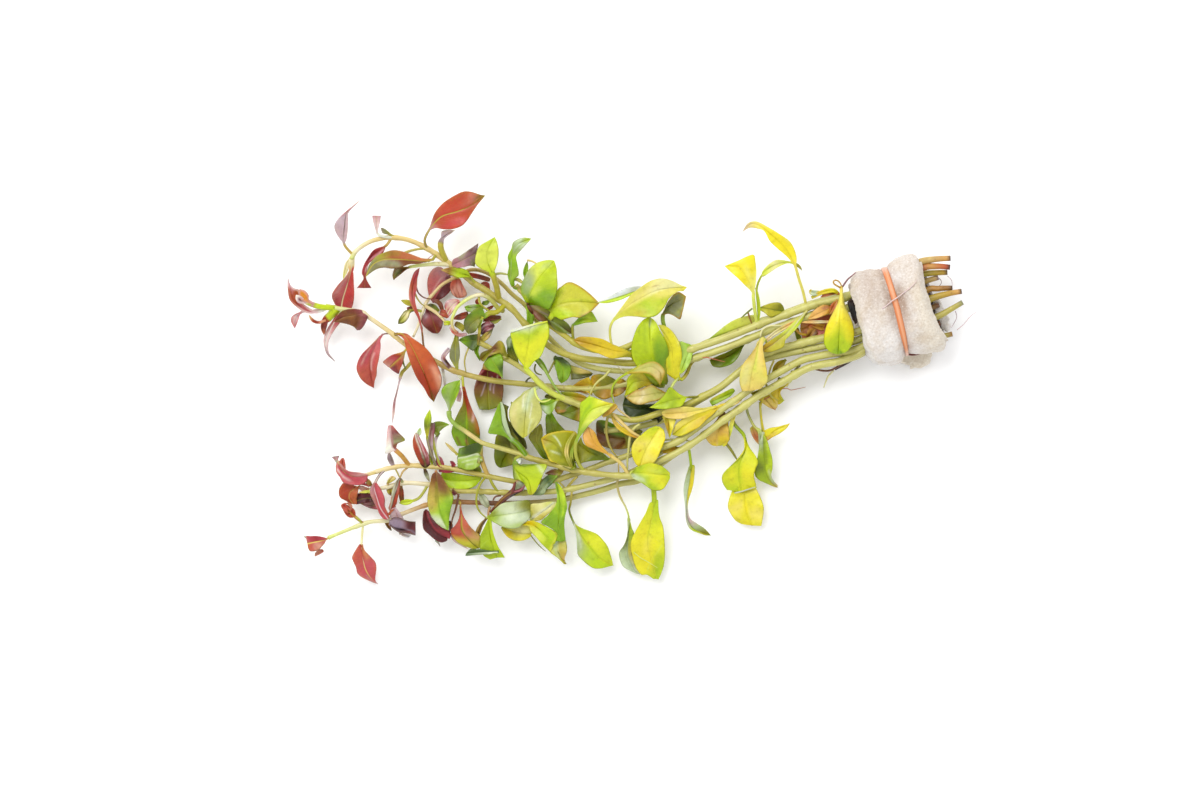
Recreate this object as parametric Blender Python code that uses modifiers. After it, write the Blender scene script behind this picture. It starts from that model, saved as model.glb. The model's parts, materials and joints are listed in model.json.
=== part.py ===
"""A tied bunch of cut water primrose stems lying on its side, in metres, +Z up."""

import math
from collections import namedtuple

import bpy
import bmesh
from mathutils import Vector

# Driving dimensions
MM = 0.001
BUNCH_LENGTH = 225 * MM
LEAF_THICKNESS = 0.6 * MM
PETIOLE_HALF_WIDTH = 0.55 * MM
GAP = 0.45 * MM
LEAF_CLEARANCE = 1.0 * MM
STEM_SPACING = 14 * MM
FOAM_LENGTH = 27 * MM
FOAM_HALF_WIDTH = 17.5 * MM
FOAM_HALF_HEIGHT = 13 * MM
FOAM_PINCH = 3.2 * MM
FOAM_PINCH_LENGTH = 3.2 * MM
FOAM_END_ROUNDING = 2.2 * MM
FOAM_END_POWER = 6
FOAM_SQUARENESS = 0.8
FOAM_STATIONS = (-0.5, -0.426, -0.241, -0.096, 0.0, 0.096, 0.241, 0.426, 0.5)
FOAM_GROOVE_REACH = 4 * MM
FOAM_SIDES = 16
UNDERSIDE_SAG = 1.12
CROWN = 0.6 * MM
HOLE_HALF_HEIGHT = 4.6 * MM
HOLE_LEFT = 11.4 * MM
HOLE_RIGHT = 14.6 * MM
HOLE_SQUARENESS = 0.6
BAND_WIDTH = 2.0 * MM
BAND_THICKNESS = 1.1 * MM
BAND_SIDES = 16
BEND_STEP = 0.02
FULL_LIFT_WIDTH = 8
LIFT_START = 0.15
LARGE_BLADE = 200
LARGER_BLADE = 300
SMOOTH_ANGLE = 40
MERGE_DISTANCE = 0.00001

# Routes are laid out on the grid of the picture: steps from its upper left corner,
# x to the right and y down, and a height above the table in millimetres.
GRID_LENGTH = 675
GRID_CENTRE_X = 625.5
GRID_CENTRE_Y = 387.5
STEP = BUNCH_LENGTH / GRID_LENGTH

# The bunch crosses the foam on a line through these two places.
FOAM_LEFT = (854, 320)
FOAM_RIGHT = (944, 298)
FOAM_MIDDLE_HEIGHT = 13

COLOURS = {
    "lime": (0.42, 0.56, 0.05), "yellow": (0.80, 0.68, 0.06), "green": (0.20, 0.38, 0.04),
    "dark green": (0.06, 0.13, 0.02), "olive": (0.34, 0.32, 0.06), "pale olive": (0.50, 0.50, 0.20),
    "rust": (0.42, 0.11, 0.03), "crimson": (0.40, 0.04, 0.04), "coral": (0.55, 0.16, 0.11),
    "plum": (0.16, 0.03, 0.05), "brown": (0.20, 0.10, 0.03), "mauve": (0.42, 0.28, 0.32),
    "pink": (0.58, 0.24, 0.24), "peach": (0.76, 0.50, 0.18), "pale yellow": (0.72, 0.68, 0.30),
    "cream": (0.66, 0.58, 0.36), "tan": (0.50, 0.38, 0.16), "foam": (0.55, 0.49, 0.41),
    "rubber": (0.80, 0.36, 0.18),
}

Leaf = namedtuple("Leaf", "name host own rib wide start peak base end lift colour")


def leaf(name, host, own, rib, wide, colour, start=0.2, peak=0.5, base=0.0, end=0.0, lift=(1.0, 1.0)):
    """One leaf: its midrib from the stem to the tip and the half widths left and right of it."""
    return Leaf(name, host, own, rib, wide, start, peak, base, end, lift, colour)


# Stems, from the cut end to the growing tip: (x, y, height), then the radii in
# millimetres at the cut end and at the tip.
UPPER_RUN = [(832, 300, 15.0), (810, 306, 14.6), (790, 313, 14.3), (770, 320, 14.1), (750, 328, 14.0),
             (730, 336, 14.0), (710, 343, 13.6), (692, 349, 13.0)]
LOWER_RUN = [(832, 338, 14.6), (800, 357, 14.0), (775, 373, 13.6), (755, 386, 13.3), (738, 398, 13.0),
             (722, 409, 12.8), (707, 420, 12.6), (690, 433, 12.3), (672, 444, 12.0)]


def shifted(run, right, down, up):
    """The same run, moved aside so that stems lie next to each other."""
    return [(x + right, y + down, z + up) for x, y, z in run]


STEMS = {
    "upper_front_stem": ([(950, 258, 15.4), (938, 263, 15.0), (848, 296, 14.8)] + UPPER_RUN + [
        (665, 358, 12.2), (635, 363, 11.2), (605, 361, 10.6), (575, 357, 10.2), (549, 346, 10.0),
        (526, 325, 10.0), (512, 309, 10.0), (498, 299, 9.8), (485, 290, 9.6), (475, 284, 9.5),
        (462, 274, 9.6), (447, 262, 9.8), (428, 249, 10.4), (410, 240.5, 11.2), (392, 237.5, 12),
        (380, 239, 12.5), (370, 242, 13), (360, 248, 13), (354, 254, 12.7), (352, 259, 12.4)], 1.4, 0.55),
    "upper_red_stem": ([(951, 269, 15.4), (941, 275, 15.0), (850, 307, 14.8)]
                       + shifted(UPPER_RUN, 2, 9.5, -0.3) + [
        (680, 364, 11.8), (665, 367, 10.6), (640, 371, 9.6), (620, 371, 8.8), (600, 369, 7.6),
        (580, 363, 6.8),
        (562, 350, 6.6), (548, 336, 6.5), (536, 320, 6.4), (526, 306, 6.4), (512, 294, 6.4),
        (500, 282, 6.4), (485, 272, 6.4), (470, 270, 6.6), (456, 277, 6.8), (443, 284, 7), (434, 293, 7),
        (426, 303, 7), (421, 316, 7), (418, 326, 7), (413, 337, 6.6)], 1.35, 0.55),
    "upper_green_stem": ([(947, 270, 11.4), (847, 296, 11.2)] + shifted(UPPER_RUN, -1, -1, -3.5) + [
        (665, 340, 10.0), (640, 342, 13.6), (618, 350, 14.8), (600, 351, 14.8), (580, 346, 14.2),
        (565, 336, 14.0), (549, 324, 14.0), (535, 309, 14.0), (526, 297, 14.0),
        (516, 285, 14.0)], 1.35, 0.8),
    "middle_red_stem": ([(939, 281, 11.4), (850, 308, 11.2)] + shifted(UPPER_RUN, 2, 9.5, -3.9) + [
        (665, 370, 8.4), (640, 380, 7.8), (620, 385, 7.4), (590, 389, 7.2), (560, 388, 7.2),
        (533, 385, 7.2), (500, 381.5, 7.2), (480, 378, 7.2), (455, 371, 7.2), (433, 360, 7.2),
        (405, 344, 7.6), (390, 332, 8.6), (370, 318, 9.6), (361, 312, 10), (340, 309, 10.5),
        (326, 306, 11)], 1.35, 0.6),
    "middle_lime_stem": ([(961, 291, 15.2), (854, 322, 14.8)] + [
        (832, 329, 14.8), (800, 344, 14.2), (762, 357, 13.5), (740, 371, 13), (720, 387, 12.5),
        (700, 398, 12), (680, 408, 12), (660, 413, 12), (632, 420, 11.6), (600, 412, 11.4),
        (580, 405, 11.4), (560, 397, 11.4), (550, 391, 11.4), (541, 384, 11.4), (532, 375, 11.2),
        (520, 367, 11), (510, 361, 11), (500, 355, 10.6), (492, 349, 10.2), (478, 342, 10)], 1.35, 0.8),
    "middle_short_stem": ([(941, 290, 11.8), (853, 321, 11.4)] + [
        (832, 327, 11.2), (800, 343, 10.6), (762, 358, 9.9), (740, 372, 9.5), (720, 388, 9.0),
        (700, 400, 8.5), (680, 412, 8.4), (660, 421, 8.2), (632, 428, 8.0), (604, 431, 7.6)], 1.3, 0.9),
    "lower_front_stem": ([(956, 317, 15.0), (857, 344.5, 14.4)] + shifted(LOWER_RUN, 6.2, 7.8, 0) + [
        (655, 463, 11.4), (635, 475, 11.2), (605, 474.5, 10.8), (575, 470, 10.6), (545, 462, 10.4),
        (530, 458, 10.4), (520, 454, 10.4), (500, 448, 10.4), (483, 443, 10.6), (475, 438, 10.8),
        (465, 431, 11), (456, 425, 11.2), (450, 418, 11.2), (449, 411, 11.4)], 1.35, 0.7),
    "lower_tan_stem": ([(962, 303, 15.2), (855, 332, 14.8)] + LOWER_RUN + [
        (645, 450, 9.6), (618, 459, 7.6), (605, 463, 7.0), (590, 469, 6.9), (575, 474, 6.9),
        (555, 480, 7.2), (535, 482, 7.6), (515, 481.5, 8), (480, 474.5, 8), (455, 469, 8), (438, 467, 8),
        (409, 465.5, 8.4), (390, 468, 8.8), (372, 473, 9.4), (362, 476, 9.6), (352, 476, 10)], 1.3, 0.65),
    "lower_brown_stem": ([(950, 322, 11.8), (856, 334, 11.4)] + shifted(LOWER_RUN, 0, 0, -3.5) + [
        (655, 456, 7.6), (640, 468, 7.4), (620, 476.5, 7.2), (600, 482, 7.2), (575, 488, 7.2),
        (562, 490.5, 7.2), (545, 492, 7.2), (515, 493, 7.2), (500, 492.5, 7.2), (480, 491.5, 7.2),
        (455, 491, 7.2), (440, 488, 7.2), (428, 484.5, 7.2), (404, 483, 7.4), (385, 487.5, 7.6),
        (370, 490, 7.8), (358, 487, 8)], 1.3, 0.65),
    "lower_orange_stem": ([(953, 333, 11.8), (859, 344.5, 11.4)] + shifted(LOWER_RUN, 6.2, 7.8, -3.6) + [
        (658, 466, 6.8), (640, 480, 5.2), (620, 484, 4.2), (600, 490.5, 4.0), (565, 499, 4.2),
        (545, 502, 4.4), (505, 503.5, 4.4), (470, 502.5, 4.4), (452, 502, 4.6), (430, 504, 5.2),
        (402, 514, 6.4), (389, 520, 6.8), (370, 522, 7), (355, 527, 7), (340, 533, 7),
        (328, 538, 7)], 1.3, 0.6),
}

# Side shoots that are one piece with a stem.
SHOOTS = {
    "pale_arch": ("upper_front_stem", [(500, 301, 9.4), (494, 298, 11.2), (486, 295, 12.3), (478, 293, 12.8),
                  (470, 297, 12.8), (463, 303, 12.6), (456, 312, 12), (447, 322, 11)], 0.7, 0.5),
    "pale_shoot": ("upper_front_stem", [(450, 265, 9.7), (438, 264, 11), (424, 265, 12), (410, 267, 12.5)],
                   0.7, 0.5),
}

UPPER, RED, GREEN = "upper_front_stem", "upper_red_stem", "upper_green_stem"
MIDDLE, LIME, SHORT = "middle_red_stem", "middle_lime_stem", "middle_short_stem"
FRONT, TAN, BROWN, ORANGE = "lower_front_stem", "lower_tan_stem", "lower_brown_stem", "lower_orange_stem"

# Leaves, stem by stem. Those marked 1 are nodes of their own, and those marked 0
# are one piece with their stem.
LEAVES = [
    leaf("mauve_top_leaf", UPPER, 0, [(353, 256, 0), (346, 246, 15), (341, 232, 17), (347, 217, 18),
         (362, 200, 19)], (6, 5), "mauve", start=0.15, peak=0.4),
    leaf("pink_fan_leaf", UPPER, 0, [(395, 238, 0), (388, 233, 14), (381, 228, 15), (376, 216, 16)],
         (4, 4), "pink", start=0.5, peak=0.9, end=0.9),
    leaf("red_hanging_leaf", UPPER, 1, [(352, 259, 0), (349, 272, 10.5), (344, 289, 7), (339, 311, 3)],
         (11, 11), "crimson", start=0.08, peak=0.55),
    leaf("crimson_rolled_leaf", UPPER, 0, [(392, 238, 0), (384, 249, 12), (372, 256, 12), (364, 268, 11),
         (365, 289, 9)], (6, 6), "crimson", start=0.25, peak=0.95, end=1.0),
    leaf("rust_long_leaf", UPPER, 1, [(436, 255, 0), (430, 261, 14), (410, 259, 15), (390, 261, 15.5),
         (366, 276, 14.5)], (7, 10), "rust", start=0.12, peak=0.6),
    leaf("brown_narrow_leaf", UPPER, 0, [(431, 251, 0), (412, 266, 7.5), (393, 279, 7)], (4, 4), "brown",
         start=0.1),
    leaf("big_orange_leaf", UPPER, 1, [(427, 249, 0), (425, 240, 14), (437, 224, 17), (460, 207, 19),
         (485, 196, 20)], (13, 12), "rust", start=0.22),
    leaf("hidden_olive_leaf", UPPER, 0, [(445, 261, 0), (441, 250, 12), (447, 234, 13)], (5, 6), "brown",
         start=0.1),
    leaf("mauve_cut_leaf", UPPER, 0, [(452, 266, 0), (460, 261, 13), (478, 252, 16)], (9, 10), "mauve",
         start=0.05, peak=0.95, end=0.95),
    leaf("lime_square_leaf", UPPER, 1, [(499, 299, 0), (494, 286, 13), (486, 266, 17), (488, 241, 19)],
         (10, 10), "lime", start=0.3, end=0.8),
    leaf("olive_tongue_leaf", UPPER, 0, [(477, 285, 0), (470, 276, 12), (458, 273, 13), (441, 270, 14)],
         (4, 5), "olive", start=0.2),
    leaf("crimson_round_leaf", RED, 1, [(462, 273, 0), (449, 273, 3.5), (440, 284, 3.5), (434, 303, 3)],
         (12, 11), "crimson", start=0.1, peak=0.45, base=0.3, end=0.3),
    leaf("maroon_leaf", RED, 0, [(423, 309, 0), (428, 314, 6), (433, 322, 5), (436, 334, 4)], (9, 10),
         "plum", start=0.08, base=0.4),
    leaf("striped_coral_leaf", RED, 0, [(455, 278, 0), (460, 286, 7), (456, 298, 8)], (7, 6), "coral",
         start=0.1),
    leaf("pink_small_leaf", UPPER, 0, [(468, 279, 0), (462, 291, 15.6), (452, 300, 16.4),
         (446, 313, 16)], (4, 4), "pink",
         start=0.2),
    leaf("dark_rust_leaf", UPPER, 0, [(505, 306, 0), (497, 312, 10), (480, 315, 9)], (6, 6), "rust",
         start=0.1),
    leaf("dark_olive_leaf", UPPER, 0, [(503, 304, 0), (489, 313, 12), (479, 311, 12), (466, 327, 11)],
         (6, 6), "dark green", start=0.4),
    leaf("brown_under_leaf", UPPER, 0, [(484, 290, 0), (484, 280, 8.5), (472, 272, 9)], (4, 5), "brown",
         start=0.1),
    leaf("arch_tip_leaf", UPPER, 0, [(449, 320, 0), (455, 326, 11.5), (467, 334, 11)], (4, 4), "peach",
         start=0.05),
    leaf("dark_glint_leaf", UPPER, 0, [(526, 325, 0), (516, 336, 8.5), (511, 350, 8), (519, 366, 8)],
         (4, 5), "dark green", start=0.15),
    leaf("golden_leaf", UPPER, 1, [(640, 363, 0), (630, 354, 12.4), (605, 348, 12.3), (574, 341, 12.2)],
         (8, 8), "yellow", start=0.12, lift=(0, 0)),
    leaf("pale_yellow_leaf", GREEN, 1, [(612, 352, 0), (611, 341, 18), (611, 326, 19.5), (622, 312, 21),
         (652, 298, 23), (686, 288, 22)], (15, 15), "pale yellow", start=0.42),
    leaf("grey_under_leaf", UPPER, 1, [(668, 358, 0), (664, 332, 15), (661, 313, 17), (684, 297, 17.5)],
         (4, 14), "olive", start=0.5),
    leaf("bright_top_leaf", UPPER, 1, [(757, 325, 0), (754, 308, 17), (752, 295, 19), (747, 278, 21),
         (740, 262, 21)], (13, 9), "yellow", start=0.38, peak=0.75, end=0.6),
    leaf("pale_arching_leaf", UPPER, 0, [(762, 323, 0), (756, 304, 15), (755, 288, 16), (763, 273, 18),
         (778, 262, 19), (800, 268, 18)], (3, 3), "pale yellow", start=0.45),
    leaf("long_yellow_leaf", UPPER, 1, [(806, 307, 0), (803, 285, 18), (796, 262, 21), (780, 246, 22),
         (762, 232, 23), (742, 232, 22)], (8, 7), "yellow", start=0.35, peak=0.35),
    leaf("drop_leaf", UPPER, 1, [(850, 296, 0), (843, 291, 19), (840, 304, 22), (838, 328, 23),
         (840, 353, 20)], (14, 15), "yellow", start=0.12, peak=0.6),
    leaf("folded_olive_leaf", UPPER, 0, [(788, 314, 0), (780, 308, 17), (770, 308, 17.5), (758, 308, 17)],
         (6, 6), "olive", start=0.15),
    leaf("thin_green_leaf", UPPER, 0, [(838, 299, 0), (832, 291, 17), (822, 292, 17.5), (808, 293, 17)],
         (4, 4), "green", start=0.15),
    leaf("hidden_green_leaf", GREEN, 0, [(757, 325, 0), (745, 324, 10), (730, 331, 9), (712, 338, 8)],
         (4, 8), "green", start=0.1),
    leaf("curled_green_leaf", GREEN, 1, [(520, 290, 0), (509, 284, 16.6), (510, 262, 18), (519, 245, 20),
         (531, 238, 19)], (5, 7), "green", start=0.25),
    leaf("narrow_green_leaf", GREEN, 0, [(527, 298, 0), (529, 278, 15.5), (530, 261, 16)], (3, 3), "green",
         start=0.3),
    leaf("large_lime_leaf", GREEN, 1, [(529, 301, 0), (528, 293, 18.5), (540, 281, 21), (557, 261, 22)],
         (14, 19), "lime", start=0.1, peak=0.45, base=0.3, end=0.4),
    leaf("round_lime_leaf", GREEN, 1, [(549, 324, 0), (553, 311, 17), (572, 300, 18), (599, 303, 18)],
         (16, 16), "lime", start=0.14, base=0.3),
    leaf("white_edge_leaf", GREEN, 0, [(600, 352, 0), (596, 335, 16), (592, 318, 19.5), (604, 301, 21),
         (630, 293, 21), (653, 290, 21)], (4, 4), "pale olive", start=0.45),
    leaf("dull_green_leaf", GREEN, 0, [(574, 342, 0), (572, 330, 15), (580, 322, 15), (597, 315, 15)],
         (6, 6), "green", start=0.35),
    leaf("brown_green_leaf", GREEN, 0, [(533, 306, 0), (541, 313, 11.2), (550, 318, 10.5), (571, 334, 10)],
         (7, 7), "brown", start=0.1),
    leaf("orange_tip_leaf", MIDDLE, 0, [(334, 308, 0), (322, 303, 12.5), (304, 292, 13)], (7, 6), "rust",
         start=0.1),
    leaf("crimson_tip_leaf", MIDDLE, 0, [(330, 307, 0), (318, 311, 10), (303, 306, 10), (295, 294, 10.5),
         (288, 277, 12)], (6, 6), "crimson", start=0.1),
    leaf("mauve_tip_leaf", MIDDLE, 0, [(327, 306, 0), (314, 314, 7.5), (293, 328, 6)], (4, 4), "mauve",
         start=0.3),
    leaf("pink_tail_leaf", MIDDLE, 1, [(342, 309, 0), (336, 321, 8.5), (327, 334, 7), (325, 346, 5.5),
         (335, 362, 2.5)], (9, 6), "pink", start=0.05, peak=0.4),
    leaf("maroon_cap_leaf", MIDDLE, 0, [(362, 313, 0), (352, 316, 12), (343, 319, 12), (333, 322, 11)],
         (11, 6), "brown", start=0.05, peak=0.4, base=0.5),
    leaf("coral_leaf", MIDDLE, 1, [(392, 333, 0), (380, 338, 7.5), (370, 351, 6), (367, 368, 4),
         (373, 388, 1)], (11, 12), "coral", start=0.25),
    leaf("small_fan_leaf", MIDDLE, 0, [(407, 345, 0), (400, 355, 6), (389, 370, 5)], (7, 7), "rust",
         start=0.2, peak=0.9, end=0.9),
    leaf("big_rust_leaf", MIDDLE, 1, [(396, 337, 0), (405, 341, 12), (414, 354, 13), (424, 373, 12),
         (436, 401, 9)], (12, 12), "rust", start=0.1),
    leaf("pale_pink_stalk", MIDDLE, 0, [(413, 349, 0), (410, 366, 6), (400, 379, 5.5), (396, 400, 5),
         (392, 424, 5)], (2, 2), "pink", start=0.3),
    leaf("olive_bud_leaf", RED, 0, [(421, 315, 0), (406, 308, 8), (398, 324, 7.5)], (4, 4), "olive",
         start=0.3),
    leaf("coral_strip_leaf", MIDDLE, 0, [(427, 356, 0), (422, 330, 9.5), (413, 305, 10.5), (412, 288, 11),
         (419, 269, 11.5)], (5, 5), "coral", start=0.25),
    leaf("upright_olive_leaf", MIDDLE, 0, [(455, 371, 0), (453, 355, 9), (455, 345, 10), (457, 333, 10.5)],
         (5, 5), "olive", start=0.1),
    leaf("mauve_strip_leaf", MIDDLE, 0, [(447, 367, 0), (443, 357, 9), (448, 346, 9.5)], (3, 3), "mauve",
         start=0.1),
    leaf("crimson_under_leaf", MIDDLE, 0, [(443, 365, 0), (447, 376, 5.5), (455, 388, 5), (462, 403, 4)],
         (5, 5), "crimson", start=0.1, peak=0.3),
    leaf("rust_olive_leaf", MIDDLE, 1, [(461, 373, 0), (463, 388, 8), (464, 402, 8), (465, 420, 8),
         (468, 444, 6.5)], (11, 13), "rust", start=0.42, base=0.1, end=0.3),
    leaf("curled_cup_leaf", MIDDLE, 0, [(567, 388, 0), (568, 374, 7), (566, 361, 7)], (4, 4), "green",
         start=0.2),
    leaf("ochre_leaf", MIDDLE, 0, [(622, 384, 0), (612, 393, 8), (600, 397, 8), (586, 394, 8)], (6, 6),
         "yellow", start=0.1),
    leaf("soft_yellow_leaf", MIDDLE, 1, [(686, 364, 0), (682, 380, 11), (676, 370, 14.2), (671, 347, 16),
         (664, 323, 18)], (7, 9), "yellow", start=0.2),
    leaf("round_green_leaf", MIDDLE, 1, [(666, 372, 0), (663, 381, 11.5), (655, 366, 17), (649, 341, 20),
         (648, 316, 19)], (16, 17), "green", start=0.2, peak=0.45, base=0.4),
    leaf("light_green_leaf", UPPER, 0, [(684, 353, 0), (686, 350, 15), (687, 345, 16.4), (686, 337, 17)],
         (5, 6), "lime", start=0.3),
    leaf("dark_green_leaf", MIDDLE, 0, [(748, 341, 0), (738, 352, 8), (724, 359, 7), (708, 361, 6)],
         (7, 6), "dark green", start=0.1),
    leaf("orange_dried_leaf", MIDDLE, 0, [(838, 311, 0), (828, 318, 8), (815, 323, 7), (799, 329, 6)],
         (9, 10), "rust", start=0.1, end=0.3),
    leaf("lime_cup_leaf", LIME, 1, [(545, 387, 0), (549, 356, 14.5), (545, 334, 16), (531, 343, 16),
         (523, 367, 14.8)], (13, 13), "lime", start=0.38, peak=0.4, base=0.4),
    leaf("maroon_curl_leaf", LIME, 0, [(488, 347, 0), (486, 336, 11), (482, 321, 12)], (7, 6), "plum",
         start=0.1),
    leaf("small_green_leaf", LIME, 0, [(516, 364, 0), (508, 369, 13.4), (496, 367, 13), (482, 363, 12)],
         (6, 6), "green", start=0.1),
    leaf("olive_curl_leaf", LIME, 0, [(500, 355, 0), (500, 346, 12.5), (490, 347, 13), (480, 354, 12.5)],
         (5, 5), "olive", start=0.2),
    leaf("dark_teal_leaf", LIME, 0, [(485, 345, 0), (475, 345, 8.4), (474, 352, 8.4),
         (479, 362, 8)], (7, 7),
         "dark green", start=0.1),
    leaf("big_brown_leaf", LIME, 1, [(505, 358, 0), (496, 362, 4.6), (488, 384, 3.5), (488, 410, 3)],
         (13, 13), "brown", start=0.1, peak=0.6, base=0.5, end=0.5),
    leaf("small_lime_leaf", LIME, 0, [(560, 397, 0), (552, 402, 13), (539, 409, 13)], (6, 6), "green",
         start=0.1),
    leaf("glossy_olive_leaf", LIME, 1, [(548, 390, 0), (533, 391, 14.5), (526, 410, 16), (524, 438, 15)],
         (15, 15), "pale olive", start=0.18, base=0.3),
    leaf("hanging_green_leaf", LIME, 0, [(560, 397, 0), (550, 410, 8), (553, 425, 6), (557, 441, 5)],
         (10, 9), "green", start=0.2),
    leaf("tan_fold_leaf", LIME, 0, [(676, 410, 0), (660, 396, 14.5), (641, 396, 15.5), (625, 397, 14)],
         (8, 8), "pale olive", start=0.15),
    leaf("lime_corner_leaf", LIME, 1, [(700, 398, 0), (690, 396, 14.5), (680, 396, 16), (667, 400, 17),
         (650, 407, 16)], (6, 11), "lime", start=0.3, peak=0.35),
    leaf("side_yellow_leaf", LIME, 1, [(768, 355, 0), (765, 342, 18.5), (754, 362, 19), (747, 388, 17)],
         (10, 10), "pale yellow", start=0.2),
    leaf("pale_strip_leaf", LIME, 0, [(806, 341, 0), (803, 328, 17), (785, 335, 19.5), (763, 350, 20.5)],
         (6, 6), "pale olive", start=0.2),
    leaf("very_dark_leaf", SHORT, 0, [(668, 417, 0), (655, 408, 6.5), (640, 407, 5.5), (622, 406, 5)],
         (9, 8), "dark green", start=0.15, base=0.3, end=0.3),
    leaf("dark_brown_leaf", SHORT, 1, [(634, 428, 0), (630, 438, 5), (612, 438, 4), (594, 430, 4)],
         (12, 12), "brown", start=0.15),
    leaf("lime_twist_leaf", FRONT, 1, [(584, 472, 0), (576, 457, 13.5), (577, 440, 15.5), (584, 422, 17),
         (600, 402, 18)], (12, 12), "lime", start=0.42, peak=0.65, end=0.5),
    leaf("peach_curl_leaf", FRONT, 0, [(628, 475, 0), (617, 461, 13), (604, 450, 14), (593, 438, 15),
         (587, 429, 15)], (7, 7), "peach", start=0.5, peak=0.6, end=0.3),
    leaf("green_wedge_leaf", FRONT, 0, [(527, 457, 0), (511, 441, 12.5), (502, 423, 12.5), (497, 404, 12)],
         (8, 5), "green", start=0.25),
    leaf("olive_strip_leaf", FRONT, 0, [(530, 458, 0), (520, 440, 9.5), (511, 421, 9.5), (505, 404, 9)],
         (5, 5), "dark green", start=0.1),
    leaf("round_olive_leaf", FRONT, 1, [(520, 454, 0), (514, 441, 7), (505, 451, 5), (500, 470, 4)],
         (11, 10), "olive", start=0.25),
    leaf("broad_olive_leaf", FRONT, 1, [(575, 470, 0), (566, 460, 12.6), (556, 449, 12.4), (541, 436, 12)],
         (13, 13), "olive", start=0.1, base=0.4),
    leaf("green_end_leaf", FRONT, 0, [(449, 411, 0), (450, 404, 13), (451, 393, 15), (455, 382, 16)],
         (7, 7), "green", start=0.1, peak=0.6, end=0.6),
    leaf("drooping_orange_leaf", ORANGE, 0, [(724, 419, 0), (720, 426, 6), (718, 434, 5), (714, 446, 3)],
         (9, 10), "peach", start=0.1, peak=0.6, base=0.3, end=0.4),
    leaf("lime_ribbon_leaf", FRONT, 0, [(733, 409, 0), (732, 422, 13), (729, 435, 12), (726, 446, 10.5)],
         (3, 3), "lime", start=0.1),
    leaf("upper_pair_leaf", FRONT, 1, [(729, 411, 0), (736, 425, 9.5), (746, 440, 8.5), (747, 450, 8.5),
         (743, 470, 9), (740, 493, 7)], (14, 17), "yellow", start=0.45, peak=0.6, end=0.5),
    leaf("lower_pair_leaf", ORANGE, 1, [(728, 415, 0), (731, 430, 5), (733, 447, 3.5),
         (738, 462, 3), (744, 486, 3.5),
         (746, 506, 3.5), (750, 527, 1)], (16, 18), "yellow", start=0.5, peak=0.5, end=0.6),
    leaf("hanging_olive_leaf", FRONT, 1, [(744, 402, 0), (748, 416, 9), (756, 429, 8), (763, 441, 7),
         (765, 465, 5), (777, 488, 2)], (8, 9), "olive", start=0.42),
    leaf("twisted_tail_leaf", FRONT, 1, [(694, 439, 0), (694, 460, 7), (690, 478, 7), (687, 497, 6),
         (688, 512, 5), (694, 523, 4), (708, 535, 2)], (5, 5), "lime", start=0.2),
    leaf("front_yellow_leaf", FRONT, 1, [(632, 475.5, 0), (638, 473, 14.5), (650, 476, 15.5),
         (670, 480, 13)], (12, 13), "lime", start=0.1, peak=0.45, base=0.3),
    leaf("hidden_pale_leaf", FRONT, 0, [(617, 475, 0), (619, 492, 7), (626, 508, 5), (629, 521, 3.5),
         (627, 548, 2.2), (637, 574, 1)], (6, 9), "pale olive", start=0.55),
    leaf("brown_back_leaf", FRONT, 0, [(563, 467, 0), (557, 471, 9), (546, 474, 8.8)], (6, 4), "brown",
         start=0.1),
    leaf("green_flag_leaf", TAN, 1, [(489, 476, 0), (485, 463, 9), (478, 456, 9.4),
         (457, 457, 9)], (13, 12),
         "green", start=0.3, peak=0.45, base=0.5, end=0.7),
    leaf("olive_side_leaf", TAN, 0, [(612, 461, 0), (606, 455, 8.8), (592, 451, 8.4),
         (576, 444, 8)], (9, 8),
         "olive", start=0.05),
    leaf("peach_strip_leaf", TAN, 0, [(644, 450, 0), (634, 436, 11), (623, 427, 12.5), (612, 413, 13)],
         (4, 4), "peach", start=0.2),
    leaf("bright_oval_leaf", TAN, 1, [(688, 434, 0), (676, 438, 15), (664, 440, 17), (650, 446, 19),
         (631, 453, 18)], (17, 17), "yellow", start=0.4, base=0.4),
    leaf("yellow_fold_leaf", TAN, 1, [(742, 396, 0), (726, 403, 18), (701, 415, 19), (681, 421, 19.5),
         (662, 421, 18)], (13, 10), "yellow", start=0.15, peak=0.6, end=0.5),
    leaf("orange_back_leaf", TAN, 0, [(680, 439, 0), (671, 448, 14.8), (661, 450, 14.6)], (4, 5), "peach",
         start=0.1),
    leaf("thin_yellow_leaf", FRONT, 0, [(765, 390, 0), (760, 410, 11), (766, 428, 10.5), (776, 430, 10.5),
         (789, 424, 10)], (6, 6), "yellow", start=0.6, base=0.3, end=0.8),
    leaf("grey_green_leaf", TAN, 0, [(432, 467, 0), (430, 447, 10.5), (428, 424, 12)], (4, 4),
         "pale olive", start=0.1),
    leaf("dark_top_leaf", TAN, 0, [(440, 467, 0), (436, 442, 10), (441, 421, 11.5)], (5, 7), "brown",
         start=0.2, peak=0.8),
    leaf("lime_upright_leaf", TAN, 0, [(436, 467, 0), (429, 440, 14), (429, 422, 15), (429, 408, 15.5)],
         (4, 3), "lime", start=0.4),
    leaf("rust_upright_leaf", TAN, 0, [(425, 466, 0), (422, 455, 12), (418, 442, 12.5), (421, 428, 13)],
         (6, 5), "rust", start=0.05),
    leaf("dark_drop_leaf", TAN, 0, [(425, 466, 0), (427, 474, 5.6), (430, 483, 5)], (3, 3), "brown",
         start=0.1),
    leaf("pink_brown_leaf", TAN, 0, [(410, 465.5, 0), (401, 457, 11), (394, 449, 12), (391, 440, 12),
         (388, 425, 11)], (7, 9), "brown", start=0.45, peak=0.4, base=0.6),
    leaf("faint_mauve_leaf", TAN, 0, [(394, 467, 0), (390, 460, 9.5), (389, 451, 10)], (3, 3), "mauve",
         start=0.1),
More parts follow.
